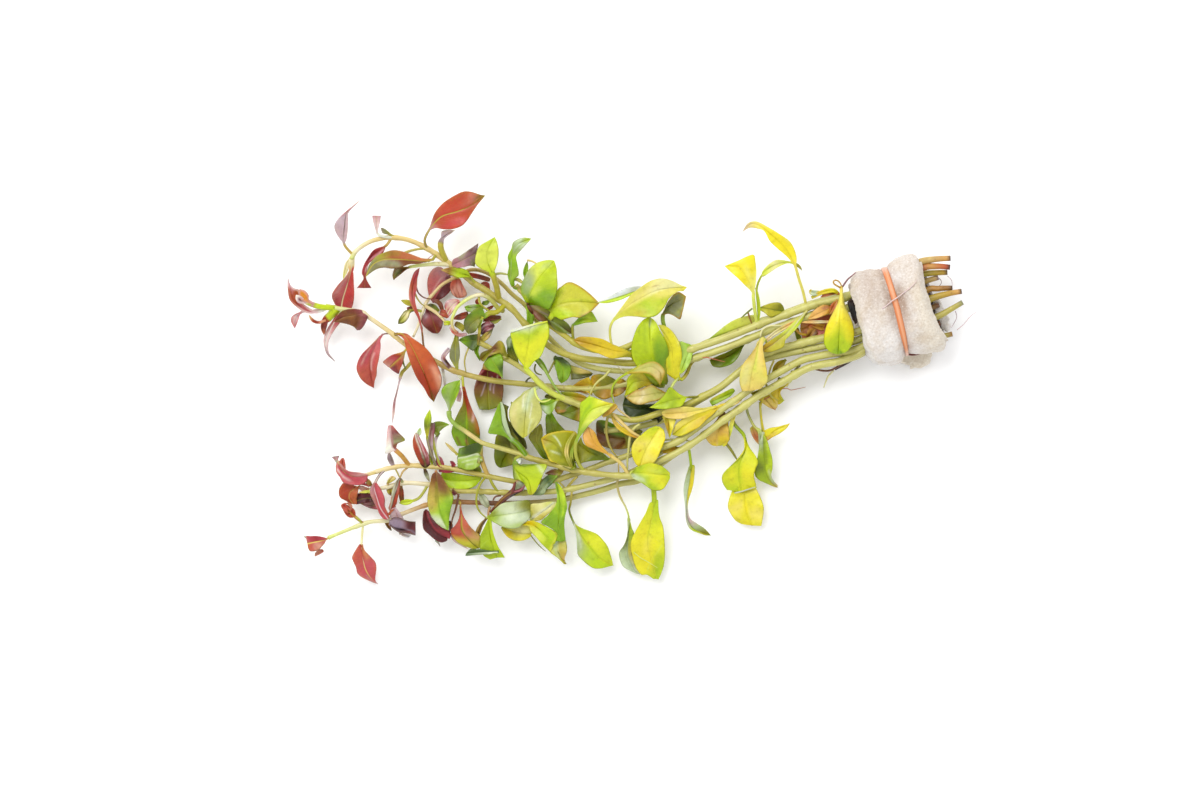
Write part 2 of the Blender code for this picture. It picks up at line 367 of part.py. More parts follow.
    leaf("crimson_bud_leaf", TAN, 0, [(455, 469, 0), (452, 456, 9), (446, 443, 10)], (4, 4), "rust",
         start=0.3),
    leaf("red_cradle_leaf", TAN, 0, [(369, 474, 0), (360, 479, 11), (348, 478, 11.5), (340, 470, 12),
         (337, 461, 13)], (8, 4), "crimson", start=0.05, peak=0.3, base=0.4, end=0.6),
    leaf("orange_flag_leaf", TAN, 0, [(352, 476, 0), (347, 467, 9.2), (343, 457, 9.2)], (3, 3), "rust",
         start=0.3, end=0.6),
    leaf("red_blade_leaf", TAN, 1, [(384, 469.5, 0), (378, 476, 10), (375, 484, 10), (378, 501, 8.6),
         (386, 517, 9.8)], (8, 7), "crimson", start=0.2),
    leaf("lime_under_leaf", TAN, 0, [(486, 476, 0), (478, 480, 4.6), (460, 481, 4.6), (441, 473, 4.6)],
         (9, 6), "lime", start=0.1, base=0.5),
    leaf("big_painted_leaf", TAN, 1, [(437, 467, 0), (438, 475, 10), (440, 495, 10.5), (444, 514, 9),
         (447, 531, 7)], (12, 13), "green", start=0.05, peak=0.55, base=0.25),
    leaf("brown_twist_leaf", TAN, 0, [(524, 482, 0), (514, 488, 11.2), (505, 498, 11.4), (497, 507, 9),
         (487, 518, 7), (477, 535, 5)], (3, 4), "brown", start=0.7),
    leaf("vivid_long_leaf", TAN, 1, [(555, 480, 0), (560, 492, 10), (560, 511, 10), (557, 528, 8),
         (561, 546, 6)], (8, 11), "green", start=0.08, peak=0.65, end=0.4),
    leaf("blue_green_leaf", TAN, 0, [(551, 480.5, 0), (545, 486, 9.4), (532, 495, 9)], (6, 5), "dark green",
         start=0.1),
    leaf("bright_corner_leaf", FRONT, 1, [(522, 454, 0), (514, 462, 12.5), (516, 472, 12.5),
         (528, 480, 12.5), (536, 494, 12)], (15, 8), "lime", start=0.35, base=0.3),
    leaf("orange_round_leaf", BROWN, 0, [(362, 488, 0), (353, 488, 8.2), (346, 493, 8), (338, 495, 7)],
         (10, 9), "rust", start=0.05, base=0.6, end=0.6),
    leaf("plum_square_leaf", BROWN, 0, [(373, 489.5, 0), (370, 497, 6), (356, 498, 5)], (5, 5), "plum",
         start=0.15, base=0.9, end=0.9),
    leaf("pink_edge_leaf", BROWN, 0, [(379, 488, 0), (377, 498, 5.4), (372, 505, 4.4), (360, 503, 4)],
         (4, 4), "pink", start=0.3),
    leaf("tan_bit_leaf", BROWN, 0, [(398, 484, 0), (393, 480, 9), (386, 479, 9.4)], (3, 4), "tan",
         start=0.1),
    leaf("brown_bit_leaf", BROWN, 0, [(396, 485, 0), (391, 491, 6.2), (388, 497, 5.4)], (3, 3), "brown",
         start=0.1),
    leaf("brown_drop_leaf", BROWN, 0, [(409, 483, 0), (404, 491, 5.6), (401, 502, 5)], (3, 3), "brown",
         start=0.1, end=0.8),
    leaf("dark_rolled_leaf", BROWN, 0, [(405, 483, 0), (399, 488, 10.6), (395, 498, 10.8),
         (390, 511, 10.8)],
         (4, 4), "brown", start=0.1),
    leaf("coral_bell_leaf", BROWN, 1, [(459, 491, 0), (460, 502, 9.4), (461, 515, 9.4), (464, 532, 7),
         (477, 550, 4)], (12, 13), "coral", start=0.35, peak=0.55, end=0.2),
    leaf("lime_cross_leaf", BROWN, 1, [(476, 491, 0), (477, 500, 9.4), (480, 510, 9), (487, 520, 8),
         (489, 538, 5), (495, 559, 2)], (9, 10), "lime", start=0.4, peak=0.7, end=0.5),
    leaf("faint_lime_leaf", BROWN, 0, [(429, 484.5, 0), (420, 497, 8.6), (412, 501, 8.8), (399, 503, 8.6)],
         (3, 3), "lime", start=0.6),
    leaf("tip_red_leaf", ORANGE, 0, [(330, 537, 0), (320, 542, 7.6), (306, 544, 7)], (8, 8), "coral",
         start=0.05, peak=0.95, end=0.95),
    leaf("low_red_leaf", ORANGE, 1, [(364, 524, 0), (362, 538, 6), (361, 550, 5), (364, 567, 3),
         (377, 584, 0.4)], (12, 11), "coral", start=0.25),
    leaf("side_orange_leaf", ORANGE, 0, [(364, 524, 0), (357, 518, 8.5), (351, 513, 8.5), (342, 504, 8.5)],
         (5, 5), "rust", start=0.4),
    leaf("grey_plum_leaf", ORANGE, 0, [(391, 519, 0), (396, 522, 9), (405, 524, 9.2), (416, 528, 8)],
         (7, 8), "plum", start=0.1, base=0.8, end=0.9),
    leaf("mauve_grey_leaf", ORANGE, 0, [(402, 514, 0), (398, 514, 8.2), (390, 512, 8)], (5, 5), "mauve",
         start=0.1),
    leaf("low_plum_leaf", ORANGE, 0, [(429, 504.5, 0), (427, 513, 3.8), (428, 523, 3), (437, 534, 2),
         (451, 535, 1)], (6, 8), "plum", start=0.1, base=0.2, end=0.4),
    leaf("brown_tag_leaf", ORANGE, 0, [(455, 502, 0), (453, 514, 3.4), (451, 530, 2.2)], (2.5, 2.5), "rust",
         start=0.5),
    leaf("big_sage_leaf", ORANGE, 1, [(533, 502, 0), (527, 508, 6.6), (510, 514, 6.6), (488, 519, 5)],
         (13, 13), "pale olive", start=0.05, peak=0.4, base=0.7),
    leaf("low_yellow_leaf", ORANGE, 1, [(541, 502, 0), (536, 519, 1.6), (523, 530, 1), (504, 530, 0.8)],
         (10, 5), "yellow", start=0.3),
    leaf("pale_wedge_leaf", ORANGE, 0, [(556, 500, 0), (548, 509, 5.4), (532, 520, 4.4)], (5, 6),
         "pale olive", start=0.05),
    leaf("yellow_lime_leaf", ORANGE, 0, [(552, 501, 0), (538, 513, 9.8), (527, 524, 9.2), (539, 535, 6),
         (554, 546, 3.4)], (8, 8), "lime", start=0.45, end=0.5),
    leaf("pale_tip_leaf", ORANGE, 0, [(563, 499, 0), (563, 520, 2.6), (559, 543, 1.6), (566, 565, 0.8)],
         (8, 9), "pale olive", start=0.45),
    leaf("green_spoon_leaf", ORANGE, 1, [(573, 497, 0), (570, 506, 2.6), (570, 514, 2.2), (577, 527, 2),
         (591, 546, 1.8), (613, 567, 1)], (14, 14), "lime", start=0.4),
    leaf("long_hanging_leaf", ORANGE, 1, [(652, 470, 0), (654, 490, 5.6), (654, 507, 5.6), (649, 530, 6),
         (648, 556, 4), (656, 580, 0.8)], (17, 17), "yellow", start=0.2, peak=0.6, base=0.15, end=0.2),
    leaf("peach_low_leaf", ORANGE, 0, [(783, 374, 0), (774, 388, 7), (768, 399, 5), (776, 410, 3)],
         (12, 13), "peach", start=0.1),
]


def place(x, y, height):
    """A place on the picture's grid, as a point in metres."""
    return Vector(((x - GRID_CENTRE_X) * STEP, (GRID_CENTRE_Y - y) * STEP, height * MM))


def spline(points, t):
    """A point of the smooth curve through the given points, t from 0 to 1."""
    last = len(points) - 1
    along = min(max(t, 0.0), 1.0) * last
    index = min(int(along), last - 1)
    s = along - index
    a = points[max(index - 1, 0)]
    b = points[index]
    c = points[index + 1]
    d = points[min(index + 2, last)]
    return (2 * b + (c - a) * s + (2 * a - 5 * b + 4 * c - d) * s ** 2
            + (3 * b - a - 3 * c + d) * s ** 3) / 2


def even_points(points, spacing):
    """The smooth curve through the points, read at an even spacing."""
    fine = [spline(points, i / (len(points) * 12)) for i in range(len(points) * 12 + 1)]
    lengths = [0.0]
    for a, b in zip(fine, fine[1:]):
        lengths.append(lengths[-1] + (b - a).length)
    count = max(2, round(lengths[-1] / spacing))
    result = []
    index = 0
    for k in range(count + 1):
        goal = lengths[-1] * k / count
        while index < len(fine) - 2 and lengths[index + 1] < goal:
            index += 1
        share = (goal - lengths[index]) / max(lengths[index + 1] - lengths[index], 1e-9)
        result.append(fine[index].lerp(fine[index + 1], min(share, 1.0)))
    return result


def nearest_on(points, goal):
    """The point of a line of points nearest to the goal, seen from above, and how far along it is."""
    best = None
    for index, (a, b) in enumerate(zip(points, points[1:])):
        run = (b - a).xy
        share = min(max((goal.xy - a.xy).dot(run) / max(run.length_squared, 1e-12), 0.0), 1.0)
        spot = a.lerp(b, share)
        distance = (spot.xy - goal.xy).length
        if best is None or distance < best[0]:
            best = (distance, spot, (index + share) / (len(points) - 1))
    return best[1], best[2]


def taper(first_radius, last_radius, share):
    """A stem's radius in millimetres at a share of its length from the cut end."""
    return first_radius + (last_radius - first_radius) * share ** 1.5


def material(colour, roughness=0.5):
    name = colour + " finish"
    found = bpy.data.materials.get(name)
    if found:
        return found
    made = bpy.data.materials.new(name)
    made.use_nodes = True
    shader = made.node_tree.nodes["Principled BSDF"]
    shader.inputs["Base Color"].default_value = (*COLOURS[colour], 1)
    shader.inputs["Roughness"].default_value = roughness
    shader.inputs["Metallic"].default_value = 0.0
    return made


def add_object(name, data, collection, colour, roughness=0.5):
    made = bpy.data.objects.new(name, data)
    data.materials.append(material(colour, roughness))
    collection.objects.link(made)
    return made


def tube(name, route, first_radius, last_radius, collection, colour):
    """A tapered round stem along a route, as a closed mesh."""
    points = even_points([place(*p) for p in route], STEM_SPACING)
    curve = bpy.data.curves.new(name, "CURVE")
    curve.dimensions = "3D"
    curve.bevel_depth = MM
    curve.bevel_resolution = 1
    curve.use_fill_caps = True
    line = curve.splines.new("POLY")
    line.points.add(len(points) - 1)
    for k, point in enumerate(points):
        line.points[k].co = (*point, 1)
        line.points[k].radius = taper(first_radius, last_radius, k / (len(points) - 1))
    holder = bpy.data.objects.new(name + " route", curve)
    collection.objects.link(holder)
    bpy.context.view_layer.update()
    evaluated = holder.evaluated_get(bpy.context.evaluated_depsgraph_get())
    mesh = bpy.data.meshes.new_from_object(evaluated)
    bpy.data.objects.remove(holder)
    bpy.data.curves.remove(curve)
    work = bmesh.new()
    work.from_mesh(mesh)
    bmesh.ops.remove_doubles(work, verts=work.verts, dist=MERGE_DISTANCE)
    bmesh.ops.recalc_face_normals(work, faces=work.faces)
    work.to_mesh(mesh)
    work.free()
    mesh.materials.clear()
    mesh.name = name
    return add_object(name, mesh, collection, colour)


def half_width(row, t):
    """The blade's half width at t from 0 to 1, as a share of its greatest half width."""
    if t < row.peak:
        return row.base + (1 - row.base) * math.sin(t / row.peak * math.pi / 2)
    return row.end + (1 - row.end) * math.cos((t - row.peak) / (1 - row.peak) * math.pi / 2)


def leaf_rib(row, line, first_radius, last_radius):
    """The midrib's points: it starts in its stem, or just clear of the stem's surface."""
    rib = [place(*p) for p in row.rib]
    rib[0], share = nearest_on(line, rib[0])
    if row.own:
        away = (rib[1] - rib[0]).normalized()
        rib[0] = rib[0] + away * (taper(first_radius, last_radius, share) * MM + LEAF_CLEARANCE)
    return rib


def leaf_object(row, rib, collection):
    """A leaf with its stalk: a grid bent along the midrib and given a thickness."""
    area = max(row.wide) * (rib[-1] - rib[0]).length / STEP
    blade_rows = 3 if area > LARGE_BLADE else 2
    stalk_rows = max(1, round(row.start * 5))
    stations = [row.start * k / stalk_rows for k in range(stalk_rows)]
    stations += [row.start + (1 - row.start) * k / blade_rows for k in range(blade_rows + 1)]
    rows = len(stations) - 1
    work = bmesh.new()
    bmesh.ops.create_grid(work, x_segments=rows, y_segments=2 if area > LARGER_BLADE else 1, size=1)
    for vert in work.verts:
        station = round((vert.co.x + 1) / 2 * rows)
        side = round(vert.co.y)
        t = stations[station]
        point = spline(rib, t)
        ahead = spline(rib, min(t + BEND_STEP, 1)) - spline(rib, max(t - BEND_STEP, 0))
        across = Vector((-ahead.y, ahead.x, 0))
        if across.length < 1e-9:
            across = Vector((0, 1, 0))
        across.normalize()
        blade = max(0.0, (t - row.start) / (1 - row.start))
        share = half_width(row, blade) if t > row.start else row.base
        grown = (row.wide[0] if side > 0 else row.wide[1]) * share * STEP
        width = max(grown, PETIOLE_HALF_WIDTH)
        edge_lift = row.lift[0] if side > 0 else row.lift[1]
        height = edge_lift * min(width / (FULL_LIFT_WIDTH * STEP), 1) * MM
        vert.co = point + across * width * side
        if side:
            vert.co.z += height * math.sin(min(blade + LIFT_START, 1) * math.pi)
    mesh = bpy.data.meshes.new(row.name)
    work.to_mesh(mesh)
    work.free()
    made = add_object(row.name, mesh, collection, row.colour)
    thick = made.modifiers.new("thickness", "SOLIDIFY")
    thick.thickness = LEAF_THICKNESS
    thick.offset = 0
    return made


def mesh_from_rings(name, rings, collection, colour, roughness):
    """A closed sleeve: outer rings from left to right, then inner rings back."""
    work = bmesh.new()
    loops = [[work.verts.new(point) for point in ring] for ring in rings]
    count = len(loops[0])
    for a, b in zip(loops, loops[1:] + loops[:1]):
        for k in range(count):
            n = (k + 1) % count
            work.faces.new((a[k], a[n], b[n], b[k]))
    bmesh.ops.recalc_face_normals(work, faces=work.faces)
    mesh = bpy.data.meshes.new(name)
    work.to_mesh(mesh)
    work.free()
    return add_object(name, mesh, collection, colour, roughness)


def bundle_point(along, sideways, up):
    """A point by its place along the bunch's line through the foam, in metres."""
    left = place(*FOAM_LEFT, FOAM_MIDDLE_HEIGHT)
    right = place(*FOAM_RIGHT, FOAM_MIDDLE_HEIGHT)
    forward = (right - left).normalized()
    aside = Vector((-forward.y, forward.x, 0))
    return (left + right) / 2 + forward * along + aside * sideways + Vector((0, 0, up))


def squashed_ring(along, half_width_here, half_height_here, count, power, floor=None):
    """An oval ring around the bunch, flattened on its underside."""
    ring = []
    for k in range(count):
        angle = 2 * math.pi * k / count
        c = math.cos(angle)
        s = math.sin(angle)
        sideways = half_width_here * math.copysign(abs(c) ** power, c)
        up = half_height_here * math.copysign(abs(s) ** power, s)
        if floor is not None and up < 0:
            up = max(up * UNDERSIDE_SAG, floor)
        ring.append(bundle_point(along, sideways, up))
    return ring


def foam_half_width(along):
    """The wrap's half width: two rolls with a groove where the band squeezes them."""
    groove = math.exp(-(along / FOAM_PINCH_LENGTH) ** 2)
    ends = (abs(along) / (FOAM_LENGTH / 2)) ** FOAM_END_POWER
    return FOAM_HALF_WIDTH - FOAM_PINCH * groove - FOAM_END_ROUNDING * ends


def foam_half_height(along):
    """The wrap's half height follows its half width."""
    return foam_half_width(along) * FOAM_HALF_HEIGHT / FOAM_HALF_WIDTH + CROWN


def build_foam(collection):
    """Outer rings from left to right, with a flat underside on the table, then the rings of the opening."""
    rings = []
    for station in FOAM_STATIONS:
        along = station * FOAM_LENGTH
        floor = -FOAM_MIDDLE_HEIGHT * MM if abs(along) > FOAM_GROOVE_REACH else None
        rings.append(squashed_ring(along, foam_half_width(along), foam_half_height(along),
                                   FOAM_SIDES, FOAM_SQUARENESS, floor))
    for station in reversed(FOAM_STATIONS):
        hole = HOLE_LEFT + (HOLE_RIGHT - HOLE_LEFT) * (station + 0.5)
        rings.append(squashed_ring(station * FOAM_LENGTH, hole, HOLE_HALF_HEIGHT, FOAM_SIDES,
                                   HOLE_SQUARENESS))
    return mesh_from_rings("foam_wrap", rings, collection, "foam", 0.9)


def build_band(collection):
    """The rubber band lies in the groove between the two rolls of foam."""
    half = BAND_WIDTH / 2
    wide = foam_half_width(half)
    tall = foam_half_height(half)
    rings = []
    for along in (-half, half):
        outs = [GAP, GAP + BAND_THICKNESS]
        if along > 0:
            outs.reverse()
        for out in outs:
            rings.append(squashed_ring(along, wide + out, tall + out, BAND_SIDES, FOAM_SQUARENESS))
    return mesh_from_rings("rubber_band", rings, collection, "rubber", 0.45)


def main():
    for old in list(bpy.data.objects):
        bpy.data.objects.remove(old)
    bunch = bpy.data.collections.new("ludwigia_repens")
    guides = bpy.data.collections.new("fused_pieces")
    bpy.context.scene.collection.children.link(bunch)
    bpy.context.scene.collection.children.link(guides)
    build_foam(bunch)
    build_band(bunch)
    for name, (route, first_radius, last_radius) in STEMS.items():
        line = even_points([place(*p) for p in route], STEM_SPACING)
        stem = tube(name, route, first_radius, last_radius, bunch, "olive")
        fused = bpy.data.collections.new("fused to " + name)
        guides.children.link(fused)
        for shoot_name, (host, shoot, first, last) in SHOOTS.items():
            if host == name:
                tube(shoot_name, shoot, first, last, fused, "cream")
        for row in LEAVES:
            if row.host != name:
                continue
            rib = leaf_rib(row, line, first_radius, last_radius)
            leaf_object(row, rib, bunch if row.own else fused)
        if len(fused.objects):
            join = stem.modifiers.new("fused leaves", "BOOLEAN")
            join.operation = "UNION"
            join.solver = "EXACT"
            join.use_self = True
            join.operand_type = "COLLECTION"
            join.collection = fused
        for piece in fused.objects:
            piece.hide_render = True
            piece.display_type = "WIRE"
    for piece in bunch.objects:
        piece.data.shade_smooth()
        piece.data.set_sharp_from_angle(angle=math.radians(SMOOTH_ANGLE))


main()
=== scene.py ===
import json
import math
import re

import bpy
import numpy as np
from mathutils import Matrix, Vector


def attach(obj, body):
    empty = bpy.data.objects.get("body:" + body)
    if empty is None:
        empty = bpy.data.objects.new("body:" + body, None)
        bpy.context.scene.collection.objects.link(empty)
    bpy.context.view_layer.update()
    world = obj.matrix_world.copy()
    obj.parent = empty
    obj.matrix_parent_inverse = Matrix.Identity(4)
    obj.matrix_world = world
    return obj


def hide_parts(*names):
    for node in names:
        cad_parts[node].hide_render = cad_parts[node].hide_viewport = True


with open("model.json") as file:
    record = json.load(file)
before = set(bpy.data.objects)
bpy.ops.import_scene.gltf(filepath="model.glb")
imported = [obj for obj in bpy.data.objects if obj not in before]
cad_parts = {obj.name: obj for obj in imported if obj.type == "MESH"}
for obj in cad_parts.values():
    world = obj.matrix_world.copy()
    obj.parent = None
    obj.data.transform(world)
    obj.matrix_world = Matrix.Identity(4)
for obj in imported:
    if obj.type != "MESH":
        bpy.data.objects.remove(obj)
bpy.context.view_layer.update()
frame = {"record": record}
slotOf = {part["node"]: part["material_slot"] for part in frame["record"]["subparts"]}
mm = 0.001

# The photo's frame: steps of a third of a millimetre, x to the right and y down.
layout = dict(bunchLength=0.225, steps=675, centreX=625.5, centreY=387.5)
step = layout["bunchLength"] / layout["steps"]

# Tones as a screen shows them, and how they are turned to base colours for this bright table.
tones = dict(orangeRed="C5482C", rust="B2431C", crimson="AE3442", coral="C4564C", pink="CE949C",
    palePink="E6C4C6", mauve="987078", paleMauve="CDB4BE", greyMauve="8C7478", plum="62222A",
    maroon="74232C", darkMaroon="44151C", brown="7E4C26", darkBrown="4C2E18", redBrown="7C3222",
    tan="CBAA6A", paleTan="DEC894", cream="F2E6C2", peach="EBCB90", salmon="E29A78", orange="E08A34",
    golden="DCC034", ochre="B98A26", lime="C9DC3E", paleLime="DDE88A", yellowLime="DFE24E", yellow="EAE04C",
    paleYellow="F0EA94", yellowGreen="B4CC34", green="86B02C", vividGreen="6EA822", lightGreen="A8CC54",
    darkGreen="3E5C18", deepGreen="2A4012", blueGreen="4C6C48", olive="8C8A30", darkOlive="5A5C22",
    paleOlive="B9BA66", greenOlive="78862A", greyOlive="8E9070", greyGreen="A9B894", white="F4F6EC",
    glossOlive="C8C887", yellowPeach="E0B862", orangePeach="DDA24E", peachBright="F0B878",
    brownOchre="8C6E38", veryDark="46541E", stemPale="D0CC7C", stemOlive="BDAE5C", paleGold="E6DC84",
    paleCream="EDE8B4", lightGreenPale="B4D67C", tanOlive="C8C680", limeDark="A4BC34", redPink="C6505A",
    pinkish="D8A2A0", terracotta="C06040", pinkWhite="E8CECE", greyViolet="94808E", palest="ECEEF0",
    tanBrown="B88C5A", oliveBrown="8A6C34", yellowBright="F6E448", yellowSoft="F2E27E", peachGold="E9CC80",
    limeDeep="B9CF3C", limeVivid="BEDC3C", greenDeepLime="7FA92C", yellowOlivePale="CDCB5C",
    peachPale="E0D296", goldenDeep="C09C34", palestGrey="DDE4E2", paleYellowLime="D9E080",
    yellowOliveDeep="AAAA3C", orangeRust="C8592C", orangeBright="DC6C2C", salmonPale="E8A488",
    ochreDark="8A6A44", whiteGreen="DCE6CC", mauvePink="B87E86", darkMauve="6A4A4A", limePale="DCE67C",
    rustPink="C88070", greenPale="9CB85A", paleGreyGreen="C8D8BC", tanPale="E9CF8F", yellowOlive="C0B850",
    orangeTan="D29A54", rose="CC6468", red="CB4547", brick="B5533A", brickRed="9C3E36", rustPale="C9704E",
    oliveTan="BDB05A", greyPink="C8A8AE", rosewood="A85A62", ochreBrown="96682E", silver="C8CCB8",
    black="15120C", foam="E8DDD2", foamCream="F1E6D2", foamPale="F8F4F0", foamWarm="DAC6AA",
    foamBrown="A98A74", bandOrange="E88E58", bandHighlight="F9C39C", bandPink="F4CFBF")
toneLook = dict(gain=0.76, drop=0.022, least=0.3)


# The base colour of a named tone: each part of its code is made linear by a screen's curve, then
# becomes gain * linear - drop, or least * linear if that is more.
def toneOf(name):
    code = tones[name]
    parts = np.array([int(code[k:k + 2], 16) / 255 for k in (0, 2, 4)])
    linear = np.where(parts < 0.04045, parts / 12.92, ((parts + 0.055) / 1.055) ** 2.4)
    return np.maximum(toneLook["gain"] * linear - toneLook["drop"], toneLook["least"] * linear)


# Named tones blended along t. Stops are (place, tone) in order, or words spread evenly.
def rampTone(stops, t):
    if isinstance(stops, str):
        words = stops.split()
        stops = [(k / max(1, len(words) - 1), word) for k, word in enumerate(words)]
    places = np.array([s[0] for s in stops], float)
    values = np.array([toneOf(s[1]) for s in stops])
    return np.stack([np.interp(t, places, values[:, k]) for k in range(3)], axis=-1)


# A tone moved towards a named one: tone + (named - tone) * weight.
def mixTone(tone, name, weight):
    return tone + (toneOf(name) - tone) * np.asarray(weight)[..., None]


# Photo steps and a height in millimetres, as points in metres. Without a height it is 0.
def place(points):
    p = np.asarray(points, float)
    up = p[:, 2] * mm if p.shape[1] > 2 else np.zeros(len(p))
    return np.stack([(p[:, 0] - layout["centreX"]) * step, (layout["centreY"] - p[:, 1]) * step, up], axis=1)


# The smooth curve through the points, a cubic between each two, read at t from 0 to 1.
def smoothPath(points, t):
    p = np.asarray(points, float)
    last = len(p) - 1
    along = np.clip(t, 0, 1) * last
    i = np.minimum(along.astype(int), last - 1)
    s = (along - i)[:, None]
    a, b, c, d = p[np.maximum(i - 1, 0)], p[i], p[i + 1], p[np.minimum(i + 2, last)]
    return (2 * b + (c - a) * s + (2 * a - 5 * b + 4 * c - d) * s ** 2
            + (3 * b - a - 3 * c + d) * s ** 3) / 2


# Vectors divided by their own lengths.
def unit(v):
    return v / np.maximum(np.linalg.norm(v, axis=-1, keepdims=True), 1e-12)


# From 0 at low to 1 at high: s * s * (3 - 2 * s), with s the share of the way.
def smoothStep(low, high, x):
    s = np.clip((x - low) / (high - low), 0, 1)
    return s * s * (3 - 2 * s)


# A cosine or sine with its size raised to a power: below 1 it squares a circle off.
def squared(wave, power):
    return np.sign(wave) * np.abs(wave) ** power


# 1 at the middle and falling away on both sides as a bell.
def hill(x, middle, width):
    return np.exp(-((x - middle) / width) ** 2)


# How far along a path each of its points is, in metres.
def lengthAlong(path):
    return np.concatenate([[0], np.cumsum(np.linalg.norm(np.diff(path, axis=0), axis=1))])


# The smooth curve read at an even spacing along its own length.
def evenPath(points, spacing):
    fine = smoothPath(points, np.linspace(0, 1, 40 * len(points)))
    length = lengthAlong(fine)
    goal = np.linspace(0, length[-1], max(3, int(round(length[-1] / spacing)) + 1))
    return np.stack([np.interp(goal, length, fine[:, k]) for k in range(3)], axis=1)


# The grid of a skin's points, and its four-cornered faces round the rings and, if closed, back to the first.
def gridFaces(count, around, closed):
    index = np.arange(count * around).reshape(count, around)
    side = np.roll(index, -1, axis=1)
    faces = np.stack([index, side, np.roll(side, -1, axis=0), np.roll(index, -1, axis=0)], axis=-1)
    return index, side, (faces if closed else faces[:-1]).reshape(-1, 4)


# True where a closed skin's faces point inwards: its volume, from triangles about its middle, is below 0.
def insideOut(points, quads):
    a, b, c, d = (points[quads[:, k]] for k in range(4))
    return np.einsum("ij,ij->", a - points.mean(axis=0), np.cross(b - a, c - a) + np.cross(c - a, d - a)) < 0


plainLook = np.zeros((1, 1, 3))  # no veins, no spots, no midrib


# One closed skin: rings of points joined in order, with a fan over each end.
def ringsPart(rings, flat, tone, ribTone=None, look=plainLook):
    count, around = rings.shape[:2]
    index, following, quads = gridFaces(count, around, False)
    points = rings.reshape(-1, 3)
    first, last = len(points), len(points) + 1
    points = np.vstack([points, rings[0].mean(axis=0), rings[-1].mean(axis=0)])
    startFan = np.stack([following[0], index[0], np.full(around, first)], axis=-1)
    endFan = np.stack([index[-1], following[-1], np.full(around, last)], axis=-1)
    triangles = np.vstack([startFan, endFan])
    if insideOut(points, np.vstack([quads, triangles[:, [0, 1, 2, 0]]])):
        quads, triangles = quads[:, ::-1], triangles[:, ::-1]

    def spread(values):
        wide = values.shape[-1]
        values = np.broadcast_to(values, (count, around, wide))
        return np.vstack([values.reshape(-1, wide), values[0].mean(axis=0), values[-1].mean(axis=0)])

    return dict(points=points, quads=quads, triangles=triangles, flat=spread(flat), tone=spread(tone),
                ribTone=spread(tone if ribTone is None else ribTone), look=spread(look))


# A closed skin whose rings also close on themselves, as on a sleeve or a band.
def loopPart(rings, flat, tone, look=plainLook):
    count, around = rings.shape[:2]
    quads = gridFaces(count, around, True)[2]
    points = rings.reshape(-1, 3)
    if insideOut(points, quads):
        quads = quads[:, ::-1]

    def spread(values):
        return np.broadcast_to(values, (count, around, values.shape[-1])).reshape(-1, values.shape[-1])

    return dict(points=points, quads=quads, triangles=np.zeros((0, 3), int), flat=spread(flat),
                tone=spread(tone), ribTone=spread(tone), look=spread(look))


# How plant tones are moved from what they are on screen: yellows and greens lose some blue, pure greens
# gain some red, and reds turn a little greyer and lighter.
vividness = dict(leafFinish=0.5, stemFinish=0.14, leastRed=0.54, redCalm=0.14)


# Blue over grey is raised to a power above 1, and all three over grey to a power below 1 in reds.
def vividTone(values, amount):
    red, green, blue = np.maximum(values, 0.0001).T
    grey = 0.2126 * red + 0.7152 * green + 0.0722 * blue
    blue = grey * (blue / grey) ** (1 + amount * np.clip(green / red, 0, 1))
    values = np.stack([np.maximum(red, vividness["leastRed"] * green), green, blue], axis=-1)
    calm, grey = vividness["redCalm"] * np.clip(1 - green / red, 0, 1)[:, None], grey[:, None]
    return grey * (values / grey) ** (1 - calm) * (1 + calm)


# One mesh object from closed skins: it rides the body and stands for its CAD nodes.
def makePiece(name, parts, finish, nodes, slotName):
    offset = 0
    points, loops, sizes = [], [], []
    for part in parts:
        points.append(part["points"])
        for key, size in (("quads", 4), ("triangles", 3)):
            loops.append((part[key] + offset).ravel())
            sizes.append(np.full(len(part[key]), size))
        offset += len(part["points"])
    points, loops, sizes = np.vstack(points), np.concatenate(loops), np.concatenate(sizes)
    mesh = bpy.data.meshes.new(name)
    mesh.vertices.add(len(points))
    mesh.vertices.foreach_set("co", points.ravel())
    mesh.loops.add(len(loops))
    mesh.loops.foreach_set("vertex_index", loops)
    mesh.polygons.add(len(sizes))
    mesh.polygons.foreach_set("loop_start", np.concatenate([[0], np.cumsum(sizes)[:-1]]))
    mesh.update(calc_edges=True)
    mesh.validate()
    uv = mesh.uv_layers.new(name="across")
    uv.data.foreach_set("uv", np.vstack([p["flat"] for p in parts])[loops].ravel())
    for key in ("tone", "ribTone", "look"):
        values = np.vstack([p[key] for p in parts])
        if key != "look" and finish.name in vividness:
            values = vividTone(values, vividness[finish.name])
        layer = mesh.color_attributes.new(key, "FLOAT_COLOR", "POINT")
        layer.data.foreach_set("color", np.hstack([values, np.ones((len(values), 1))]).ravel())
    mesh.shade_smooth()
    piece = bpy.data.objects.new(name, mesh)
    bpy.context.scene.collection.objects.link(piece)
    mesh.materials.append(finish)
    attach(piece, "root")
    if nodes:
        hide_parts(*nodes)
    return piece


